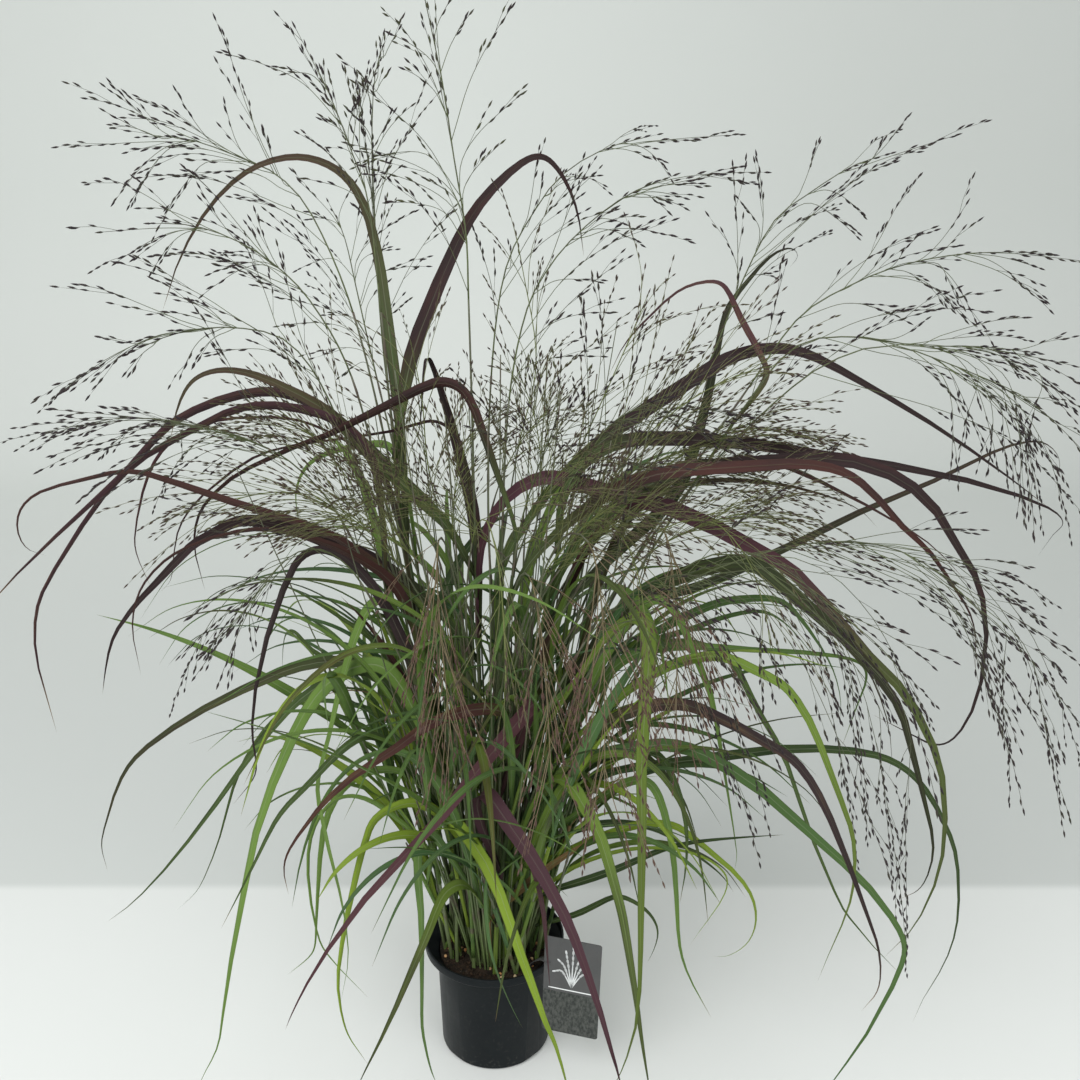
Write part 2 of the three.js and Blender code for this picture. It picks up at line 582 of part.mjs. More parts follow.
  [7, "green", 10, 8, 0, -235, [-22, 165, -54, 218, -66, 216, -70, 180, -68, 140, -69, 90,
    -71, 33, -72, 0, -66, -44, -60, -66]],
  [18, "olive", 10, -44, 0, -225, [2, 120, -16, 152, -29, 166, -45, 158, -55, 137, -64, 111,
    -84, 60, -105, 7, -129, -46, -140, -72]],
  [8, "lime", 12, 26, 0, -275, [-2, 200, -38, 236, -27, 224, -10, 196, 4, 162, 15, 125, 26, 83,
    37, 50, 48, 10, 58, -16, 68, -58, 71, -76]],
  [10, "lime", 8, 55, 0, -50, [10, 165, 60, 198, 100, 217, 130, 229, 150, 231, 170, 227, 192, 208,
    222, 181, 241, 154, 247, 125, 240, 100, 222, 86, 208, 86]],
  [9, "green", 7, 52, 0, -60, [22, 150, 62, 162, 112, 181, 150, 201, 183, 211, 227, 216,
    268, 219]],
  [15, "green", 7, 52, 0, 40, [30, 190, 70, 222, 110, 232, 150, 225, 184, 200, 211, 177,
    224, 157]],
  [16, "green", 8, 64, 0, -150, [40, 210, 90, 250, 122, 274, 146, 270, 161, 224, 167, 190,
    171, 150, 175, 100, 186, 62, 210, 14]],
  [14, "green", 9, 64, 0, -70, [44, 240, 84, 288, 115, 304, 143, 305, 160, 285, 173, 248,
    178, 215, 178, 180, 174, 144]],
  [14, "green", 6, 50, 0, -40, [36, 122, 75, 131, 106, 150, 122, 152, 144, 137, 155, 115,
    151, 92, 145, 78]],
  [5, "green", 8, 62, 0, -120, [-28, 210, -68, 276, -104, 286, -135, 268, -155, 228, -163, 170,
    -168, 125, -171, 96, -180, 82, -200, 64]],
  [3, "green", 7, -64, 0, 10, [-44, 300, -90, 400, -125, 430, -150, 448, -175, 462, -190, 462]],
  [3, "green", 8, -66, 0, 60, [-42, 280, -90, 370, -130, 388, -155, 402, -166, 418, -174, 420,
    -179, 408, -182, 380]],
];

// Leafy shoots without a panicle, round and between the flowering stems, placed by rule: where
// each stands on the crown, and the least height of its tillers.
const SHOOTS = [
  [-28, 34, 130], [-6, 42, 130], [22, 37, 130], [41, 21, 130], [46, -5, 130], [-46, -6, 130],
  [40, -20, 130], [-43, 21, 130], [-39, -19, 130], [21, -40, 130],
  [0, 16, 230], [12, 8, 200], [-10, -8, 200], [-32, 22, 220], [24, 10, 220], [6, 44, 220],
  [-16, -24, 200],
];
const TILLERS = 2;
const TILLER_LEAVES = 3;
const SHOOT_BASE_R = 2.6;
const TILLER_R = 1.5;

const DARK_TONES = new Set(["dark", "purple", "brown"]);
const COLOURS = {
  pot: 0x23272b,
  soil: 0x2f241c,
  tag: 0x6d6e70,
  green: 0x4f7a35,
  dark: 0x47343a,
  panicle: 0x5a4b4f,
};

// ---------------------------------------------------------------- pot, potting mix and tag
function fromGeometry(geometry) {
  const position = geometry.getAttribute("position");
  const index = geometry.getIndex();
  const seen = new Map();
  const vertices = [];
  const same = [];
  for (let i = 0; i < position.count; i += 1) {
    const v = [position.getX(i), position.getY(i), position.getZ(i)];
    const key = v.map((c) => Math.round(c * 2000)).join();
    if (!seen.has(key)) {
      seen.set(key, vertices.length);
      vertices.push(v);
    }
    same.push(seen.get(key));
  }
  const faces = [];
  let volume = 0;
  for (let i = 0; i < (index ? index.count : position.count); i += 3) {
    const f = [0, 1, 2].map((k) => same[index ? index.getX(i + k) : i + k]);
    if (f[0] !== f[1] && f[1] !== f[2] && f[2] !== f[0]) {
      faces.push(f);
      volume += dot(vertices[f[0]], cross(vertices[f[1]], vertices[f[2]]));
    }
  }
  return closed(vertices, volume < 0 ? faces.map((f) => [f[0], f[2], f[1]]) : faces);
}

function turned(profile, sides) {
  const points = profile.map(([r, z]) => new THREE.Vector2(r, z));
  const geometry = new THREE.LatheGeometry(points, sides);
  geometry.rotateX(Math.PI / 2);
  return geometry;
}

function upright(radius, sides, x, y, z0, z1) {
  const geometry = new THREE.CylinderGeometry(radius, radius, z1 - z0, sides);
  geometry.rotateX(Math.PI / 2);
  geometry.translate(x, y, (z0 + z1) / 2);
  return fromGeometry(geometry);
}

// A plain hole in the mix, clear of the stem that stands in it.
function plainHole(radius, x, y) {
  const r = (radius + HOLE_GAP) / Math.cos(Math.PI / HOLE_SIDES);
  return upright(r, HOLE_SIDES, x, y, ROOT_Z - HOLE_GAP, 116);
}

function makePot() {
  const inner = POT_TOP_R - POT_WALL;
  const base = POT_BASE_R - POT_WALL;
  const shell = fromGeometry(turned([
    [0, 0], [POT_BASE_R - 2, 0], [POT_BASE_R, 2.4], [POT_TOP_R, 97], [POT_LIP_R, 104.6],
    [POT_LIP_R, POT_H], [POT_LIP_R - 1.8, POT_H], [POT_LIP_R - 2.4, 105.4], [inner, 98.2],
    [base, POT_FLOOR], [0, POT_FLOOR],
  ], POT_SIDES));
  const notch = new THREE.Shape([
    new THREE.Vector2(46.6, -1), new THREE.Vector2(58, -1), new THREE.Vector2(58, 8.6),
  ]);
  const cutters = [0, 1, 2, 3].map((i) => {
    const bar = new THREE.ExtrudeGeometry(notch, { depth: 24, bevelEnabled: false });
    bar.translate(0, 0, -12);
    bar.rotateX(Math.PI / 2);
    bar.rotateZ(Math.PI / 4 + (i * Math.PI) / 2);
    return fromGeometry(bar);
  });
  return shell.subtract(wasm.Manifold.union(cutters));
}

function makeTag() {
  const slab = new THREE.ExtrudeGeometry(
    new THREE.Shape([
      new THREE.Vector2(0, 0), new THREE.Vector2(TAG_W, 0), new THREE.Vector2(TAG_W, TAG_H),
      new THREE.Vector2(0, TAG_H),
    ]),
    { depth: TAG_T, bevelEnabled: false },
  );
  slab.translate(0, 0, -TAG_T / 2);
  slab.rotateX(Math.PI / 2);
  slab.rotateY(0.03);
  slab.rotateZ(-0.25);
  slab.translate(44.6, -50, 47);
  const across = [0.695, 0.719, 0];
  const way = [[53, -52.2, 121], [46.6, -45.2, 120], [40.6, -39.4, 114], [35.6, -34.6, 106],
    [34, -33, 102], [34, -33, 88]];
  const rings = way.map((c, i) => {
    const next = way[Math.min(i + 1, way.length - 1)];
    const last = way[Math.max(i - 1, 0)];
    const out = unit(cross(unit(sub(next, last)), across));
    return [
      add(c, add(mul(across, -4), mul(out, -0.4))), add(c, add(mul(across, 4), mul(out, -0.4))),
      add(c, add(mul(across, 4), mul(out, 0.4))), add(c, add(mul(across, -4), mul(out, 0.4))),
    ];
  });
  let hook = loft(rings, null);
  if (hook.volume() < 0) {
    hook = loft(rings.map((r) => [...r].reverse()), null);
  }
  return fuse([fromGeometry(slab), hook]);
}

function makeSoil() {
  const wall = FIT_GAP;
  const bed = turned([
    [0, POT_FLOOR + wall], [POT_BASE_R - POT_WALL - wall - 0.5, POT_FLOOR + wall],
    [POT_TOP_R - POT_WALL - wall - 0.6, 98], [40, 100.8], [18, 101.8], [0, 102],
  ], 16);
  const rnd = mulberry(77);
  const spot = bed.getAttribute("position");
  const rise = new Map();
  for (let i = 0; i < spot.count; i += 1) {
    const r = Math.hypot(spot.getX(i), spot.getY(i));
    if (spot.getZ(i) > 100 && r < 50) {
      const key = `${Math.round(spot.getX(i))},${Math.round(spot.getY(i))}`;
      if (!rise.has(key)) {
        rise.set(key, (rnd() - 0.5) * 2.4);
      }
      spot.setZ(i, spot.getZ(i) + rise.get(key));
    }
  }
  const lumps = [];
  for (let i = 0; i < 4; i += 1) {
    const a = rnd() * 2 * Math.PI;
    const r = 46 * Math.sqrt(rnd());
    const lump = new THREE.OctahedronGeometry(1.7 + 1.2 * rnd(), 0);
    lump.rotateX(rnd() * 3);
    lump.rotateZ(rnd() * 3);
    lump.translate(r * Math.cos(a), r * Math.sin(a), 100.9);
    lumps.push(fromGeometry(lump));
  }
  const holes = STEMS.map(({ root: [x, y] }) =>
    plainHole(CULM_R, x, y));
  for (const [x, y] of SHOOTS) {
    holes.push(plainHole(SHOOT_BASE_R, x, y));
  }
  const slot = new THREE.BoxGeometry(9, 2.2, 30);
  slot.rotateZ(0.802);
  slot.translate(34, -33, 102.6);
  holes.push(fromGeometry(slot));
  const filledBed = wasm.Manifold.union([fromGeometry(bed), ...lumps]);
  return fuse([filledBed.subtract(wasm.Manifold.union(holes))]);
}

// ---------------------------------------------------------------- stems, blades and panicles
function stemLine(stem) {
  const [rx, ry] = stem.root;
  const points = [[rx, ry, ROOT_Z], [rx, ry, SOIL_TOP + 10]];
  const count = stem.line.length / 2;
  for (let i = 0; i < count; i += 1) {
    const f = (i + 1) / count;
    const y = ry + (stem.lean - ry) * f ** 1.3;
    points.push(lift(stem.line[2 * i], stem.line[2 * i + 1], y));
  }
  return flow(points);
}

// How far along its line the stem ends and the panicle starts.
function headStart(stem, line) {
  return line.at[(stem.head + 2) * 10];
}

function stations(from, to, count) {
  return Array.from({ length: count + 1 }, (_, i) => from + ((to - from) * i) / count);
}

// The tries that move a traced piece nearer or farther without changing its front elevation.
const SHIFTS = [0, 5, -5, 10, -10, 16, -16, 23, -23, 31, -31, 40, -40, 52, -52, 66, -66, 82, -82,
  100, -100, 120, -120];

function traced(points, y0, y1, shift, start) {
  const count = points.length / 2;
  const out = start ? [start] : [];
  for (let i = start ? 1 : 0; i < count; i += 1) {
    const f = i / (count - 1);
    const y = y0 + (y1 - y0) * f ** 1.15 + shift * smooth(0, 0.3, f);
    out.push(lift(points[2 * i], points[2 * i + 1], y));
  }
  return eased(flow(out));
}

function tracedBlade(row, stem) {
  const [, , width, roll, twist, endDepth, points] = row;
  const tries = [];
  for (const raise of [0, 12, -12, 24, -24]) {
    const high = stem.culm.run.findIndex((p, i) =>
      elevation(p) >= points[1] + raise || stem.culm.at[i] > stem.culm.length - 14);
    const start = stem.culm.run[high];
    for (const shift of SHIFTS) {
      tries.push(() => {
        const line = traced(points, start[1], endDepth, shift, start);
        const count = Math.min(8, Math.max(4, Math.round(line.length / 72)));
        return bladeRings(line, width, roll, twist, count);
      });
    }
  }
  return settle(stem.owner, 5, 45, tries);
}

// A blade that leaves at an azimuth, rises and arches over.
function archLine(start, azimuth, length, rise, fall, curl) {
  const points = [start];
  const steps = 6;
  for (let i = 0; i < steps; i += 1) {
    const f = (i + 0.5) / steps;
    const e = ((rise - (rise - fall) * f ** 1.25) * Math.PI) / 180;
    const a = azimuth + curl * f;
    const go = [Math.cos(e) * Math.cos(a), Math.cos(e) * Math.sin(a), Math.sin(e)];
    points.push(add(points[i], mul(go, length / steps)));
  }
  return flow(points);
}

function archedBlade(seed, start, azimuth, spread, owner) {
  const tries = [];
  for (let k = 0; k < 28; k += 1) {
    tries.push(() => {
      const rnd = mulberry(seed * 100 + k);
      const a = azimuth + (rnd() - 0.5) * spread * (1 + k / 6);
      const length = 190 + 190 * rnd();
      const rise = 62 + 22 * rnd();
      const fall = -25 - 50 * rnd();
      const width = 6.5 + 3.5 * rnd();
      const roll = (rnd() - 0.5) * 60;
      const line = archLine(start, a, length, rise, fall, (rnd() - 0.5) * 0.9);
      return bladeRings(line, width, roll, 0, 4);
    });
  }
  return settle(owner, 5, 45, tries);
}

function nearest(line, x, z) {
  let best = [1e9, 0];
  for (let i = 0; i < line.run.length; i += 1) {
    const p = line.run[i];
    const f = 1 + p[1] / EYE_Y;
    const d = Math.hypot(EYE_X + (p[0] - EYE_X) / f - x, elevation(p) - z);
    if (d < best[0]) {
      best = [d, line.at[i]];
    }
  }
  return best;
}

function branchLine(rachis, x, z, seed, k) {
  const rnd = mulberry(seed * 50 + k);
  const [d, s] = nearest(rachis, x, z);
  const back = 0.7 * d + 16 + 10 * rnd();
  const s0 = Math.max(2 + 6 * rnd(), s - back);
  const p0 = pointAt(rachis, s0);
  const y = p0[1] + (rnd() - 0.5) * (0.8 * d + 14 + 9 * k);
  const tip = lift(x, z, y);
  const reach = size(sub(tip, p0));
  const go = unit(mix(headingAt(rachis, s0), unit(sub(tip, p0)), 0.3));
  const out = add(p0, mul(go, 0.42 * reach));
  const a = mix(p0, out, 0.6);
  const b = mix(mix(p0, out, 0.8), mix(out, tip, 0.5), 0.5);
  const c = mix(mix(out, tip, 0.5), tip, 0.45);
  return flow([p0, a, b, c, tip]);
}

// Rings of a panicle branch: a thin stalk with a spikelet at its tip.
function branchRings(line) {
  const first = line.length - 1.1 * SPIKELET_L;
  const bends = first > 75 ? (first > 160 ? [0.3, 0.65] : [0.45]) : [];
  const at = [0, ...bends.map((f) => first * f), first];
  const radii = at.map((v) => (v > 0 && v < first ? BRANCH_R : 0.3));
  at.push(first + 0.5 * SPIKELET_L);
  radii.push(SPIKELET_R);
  return threadRings(line, at, radii);
}

function node(name, solid, colour, roughness) {
  nodes.push({ name, solid, colour, roughness });
}

function number(i) {
  return String(i + 1).padStart(2, "0");
}

function build() {
  node("pot", makePot(), COLOURS.pot, 0.45);
  node("potting_mix", makeSoil(), COLOURS.soil, 0.95);
  node("picture_tag", makeTag(), COLOURS.tag, 0.4);

  const stems = STEMS.map((stem, i) => {
    const line = stemLine(stem);
    const head = headStart(stem, line);
    const taper = (v) => CULM_R + (CULM_TOP_R - CULM_R) * (v / head);
    const thin = (v) => CULM_TOP_R - 0.35 * ((v - head) / (line.length - head));
    const low = [0, ...stations(20, head - 0.2, 5)];
    const high = stations(head + 0.2, line.length, 4).slice(0, 4);
    const culm = threadRings(line, low, low.map(taper));
    const rachis = threadRings(line, high, high.map(thin));
    claim(facetSamples(culm.slice(0, -1), 34), i);
    claim(facetSamples(rachis, 0), 100 + i);
    return {
      owner: i,
      culm: chain(culm.slice(0, -1)),
      rachis: chain(rachis),
      pieces: [tube(culm, 3, false)],
      spray: [tube(rachis, 3, true)],
    };
  });

  for (const row of BLADES) {
    const rings = tracedBlade(row, stems[row[0]]);
    if (rings) {
      stems[row[0]].pieces.push(blade(rings));
    }
  }

  stems.forEach((s, i) => {
    const { ends } = STEMS[i];
    for (let j = 0; j < ends.length / 2; j += 1) {
      const tries = Array.from({ length: 16 }, (_, k) => () =>
        branchRings(branchLine(s.rachis, ends[2 * j], ends[2 * j + 1], i * 20 + j, k)));
      const rings = settle(100 + i, 3, 15, tries);
      if (rings) {
        s.spray.push(tube(rings, 3, true));
      }
    }
  });

  stems.forEach((s, i) => {
    const start = pointAt(s.culm, s.culm.length * 0.5);
    const few = BLADES.filter((row) => row[0] === i).length < 4;
    const leaf = few && archedBlade(3000 + i, start, 1.6 + i * 2.4, 2.4, s.owner);
    if (leaf) {
      s.pieces.push(blade(leaf));
    }
  });

  SHOOTS.forEach(([x, y, least], i) => {
    const owner = 200 + i;
    const rnd = mulberry(500 + i);
    const out = Math.atan2(y, x);
    const low = 0.45 + (least - 130) / 500;
    const foot = flow([[x, y, ROOT_Z], [x, y, 95], [x, y, 106]]);
    const footRings = threadRings(foot, [0, 11, 22], [SHOOT_BASE_R, SHOOT_BASE_R, 2]);
    const pieces = [tube(footRings, 4, false)];
    for (let t = 0; t < TILLERS; t += 1) {
      const tries = Array.from({ length: 40 }, (_, k) => () => {
        const a = out + (t - (TILLERS - 1) / 2) * 1.5 + (rnd() - 0.5) * (0.8 + k / 8);
        const tall = least + 110 * rnd();
        const go = 20 + 46 * rnd();
        const top = [x + go * Math.cos(a), y + go * Math.sin(a), 104 + tall];
        const line = flow([[x, y, 97], mix([x, y, 104], top, 0.4), top]);
        const radii = [TILLER_R, TILLER_R, 0.85 * TILLER_R];
        return threadRings(line, stations(0, line.length, 3).slice(0, 3), radii);
      });
      const rings = settle(owner, 24, 40, tries);
      if (!rings) {
        continue;
      }
      const tiller = chain(rings);
      pieces.push(tube(rings, 3, true));
      for (let b = 0; b < TILLER_LEAVES; b += 1) {
        const start = pointAt(tiller, tiller.length * (low + ((0.99 - low) / 2) * b));
        const a = out + (t - 0.5) * 1.2 + (b % 2 ? 0.9 : -0.9);
        const leaf = archedBlade(1000 + i * 40 + t * 8 + b, start, a, 2, owner);
        if (leaf) {
          pieces.push(blade(leaf));
        }
      }
    }
    node(`leafy_shoots_${number(i)}`, fuse(pieces), COLOURS.green, 0.6);
  });

  stems.forEach((s, i) => {
    const own = BLADES.filter((row) => row[0] === i).sort((a, b) => b[2] - a[2]);
    const colour = own.length && DARK_TONES.has(own[0][1]) ? COLOURS.dark : COLOURS.green;
    node(`flowering_stem_${number(i)}`, fuse(s.pieces), colour, 0.55);
    node(`panicle_${number(i)}`, fuse(s.spray), COLOURS.panicle, 0.8);
  });
}

build();

const part = new THREE.Group();
part.name = "potted_switchgrass";
for (const { name, solid, colour, roughness } of nodes) {
  const made = solid.getMesh();
  const positions = new Float32Array((made.vertProperties.length / made.numProp) * 3);
  for (let i = 0; i < positions.length / 3; i += 1) {
    positions.set(made.vertProperties.subarray(i * made.numProp, i * made.numProp + 3), i * 3);
  }
  const geometry = new THREE.BufferGeometry();
  geometry.setAttribute("position", new THREE.BufferAttribute(positions, 3));
  geometry.setIndex(new THREE.BufferAttribute(new Uint32Array(made.triVerts), 1));
  geometry.computeVertexNormals();
  const material = new THREE.MeshStandardMaterial({ color: colour, roughness, metalness: 0 });
  const mesh = new THREE.Mesh(geometry, material);
  mesh.name = name;
  part.add(mesh);
}

export default part;
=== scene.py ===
"""Potted switchgrass: fine pieces in place of the frame's solids, and the fine growth between them.

Sizes and places are millimetres on the part's own axes, +Z up and the front towards -Y, and turn
into metres as the meshes are written. Whatever has no line of its own is placed by a seeded rule,
so that every run gives the same plant.
"""
import bisect
import logging
import math
from collections.abc import Callable, Iterable, Sequence
from dataclasses import dataclass, field
from enum import Enum

import bmesh
import bpy
import numpy as np
from mathutils import Matrix, Vector, noise


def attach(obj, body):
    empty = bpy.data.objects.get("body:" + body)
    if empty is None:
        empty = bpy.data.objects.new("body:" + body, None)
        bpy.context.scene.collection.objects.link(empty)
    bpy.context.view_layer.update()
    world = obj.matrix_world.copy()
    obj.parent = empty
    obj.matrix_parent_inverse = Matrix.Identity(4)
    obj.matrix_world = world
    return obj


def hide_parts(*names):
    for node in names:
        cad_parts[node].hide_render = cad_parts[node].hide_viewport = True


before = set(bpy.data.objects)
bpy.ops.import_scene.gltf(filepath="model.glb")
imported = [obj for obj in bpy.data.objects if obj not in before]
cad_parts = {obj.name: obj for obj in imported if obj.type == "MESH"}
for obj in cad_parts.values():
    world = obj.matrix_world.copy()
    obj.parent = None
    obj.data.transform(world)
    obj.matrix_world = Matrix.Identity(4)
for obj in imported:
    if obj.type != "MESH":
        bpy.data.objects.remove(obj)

log = logging.getLogger("switchgrass")

Point = tuple[float, float, float]
Draw = Callable[[], float]

# ---------------------------------------------------------------- sizes
MM = 0.001
POT_H = 112.0
POT_LIP_R = 65.5
POT_TOP_R = 54.5
POT_BASE_R = 51.5
POT_WALL = 1.8
POT_FLOOR = 3.0
FIT_GAP = 0.35
SOIL_TOP = 99.0
ROOT_Z = 84.0
CULM_R = 1.6
CULM_TOP_R = 0.75
SPIKELET_L = 6.2
EASING = 16
SHOOT_BASE_R = 2.6
TILLERS = 2
TILLER_LEAVES = 3
TAG_W = 52.0
TAG_H = 102.0
TAG_T = 0.8

# The number of rings from end to end of each template.
BLADE_RINGS = 27
CULM_RINGS = 44
SHEATH_RINGS = 9
STALK_RINGS = 16
TWIG_RINGS = 6
SPIKELET_RINGS = 5
STRIP_RINGS = 22

# Owners in the room's account: a stem has its own index, its panicle and the shoots these more.
PANICLE_OWNER = 100
SHOOT_OWNER = 200

# Where the seeds of each kind of piece start.
STEM_SEED = 8000
SPRAY_SEED = 9000
FINER_SEED = 9500
LEAF_SEED = 3000
SHOOT_SEED = 500
SHOOT_LEAF_SEED = 1000
SHOOT_LOOK_SEED = 8500
INNER_SEED = 7000
UNDERGROWTH_SEED = 4242

# The plant is drawn on its front elevation, as seen from this eye point: a point of a stem or
# blade has a place (X, Z) on the upright plane through the pot's axis, and a depth of its own.
EYE_X = 43.0
EYE_Y = 865.0
EYE_Z = 775.0


class Tone(Enum):
    """How wine red a blade is at its foot and tip, how lime (below 0 blue green), dry and pink. The
    lime is partly the blade's own yellow green and partly painted light through the blade; the pink is
    partly its own pink tint and partly painted sheen.
    """

    DARK = (0.3, 1.0, 0.0, 0.0, 0.1)
    PURPLE = (0.6, 0.95, 0.0, 0.0, 0.6)
    BROWN = (0.25, 0.92, 0.1, 0.32, 0.1)
    GREEN = (0.0, 0.16, 0.0, 0.0, 0.1)
    # GREY: a paler grey violet, partly the blade's own colour and partly painted sheen.
    GREY = (0.34, 0.53, -0.2, 0.15, 0.3)
    TURNED = (0.9, 0.3, 0.2, 0.12, 0.75)
    # SMOKE: a paler grey violet, partly the blade's own colour and partly painted sheen.
    SMOKE = (0.36, 0.95, 0.0, 0.32, 0.45)
    TEAL = (0.0, 0.3, -0.6, 0.0, 0.1)
    # LIME: partly the blade's own yellow green and partly painted light shining through the blade.
    LIME = (0.0, 0.0, 1.0, 0.05, 0.0)
    OLIVE = (0.1, 0.5, 0.4, 0.1, 0.0)
    MOSS = (0.44, 0.54, 0.0, 0.1, 0.0)
    FERN = (0.0, 0.36, 0.45, 0.05, 0.0)
    STRAW = (0.05, 0.2, 0.3, 0.85, 0.0)


WINE_TONES = (Tone.DARK, Tone.PURPLE, Tone.TURNED, Tone.SMOKE, Tone.BROWN, Tone.GREY, Tone.MOSS)
BURGUNDY_STEMS = (0, 2, 4, 6, 8, 9, 10, 14, 15, 17, 18)


@dataclass(frozen=True)
class StemRow:
    """A flowering stem: its root, the depth it leans to, its line, and its panicle.

    The line runs on the front elevation from just above the pot, as X, Z, X, Z and so on. The
    panicle starts at the point numbered head. Its branches end at ends, and the finer ones at more.
    """

    root: tuple[float, float]
    lean: float
    head: int
    line: tuple[float, ...]
    ends: tuple[float, ...] = ()
    more: tuple[float, ...] = ()


@dataclass(frozen=True)
class BladeRow:
    """A traced blade: the stem it grows from, its tone, sizes, the depth of its end and its line."""

    stem: int
    tone: Tone
    width: float
    roll: float
    twist: float
    depth: float
    line: tuple[float, ...]


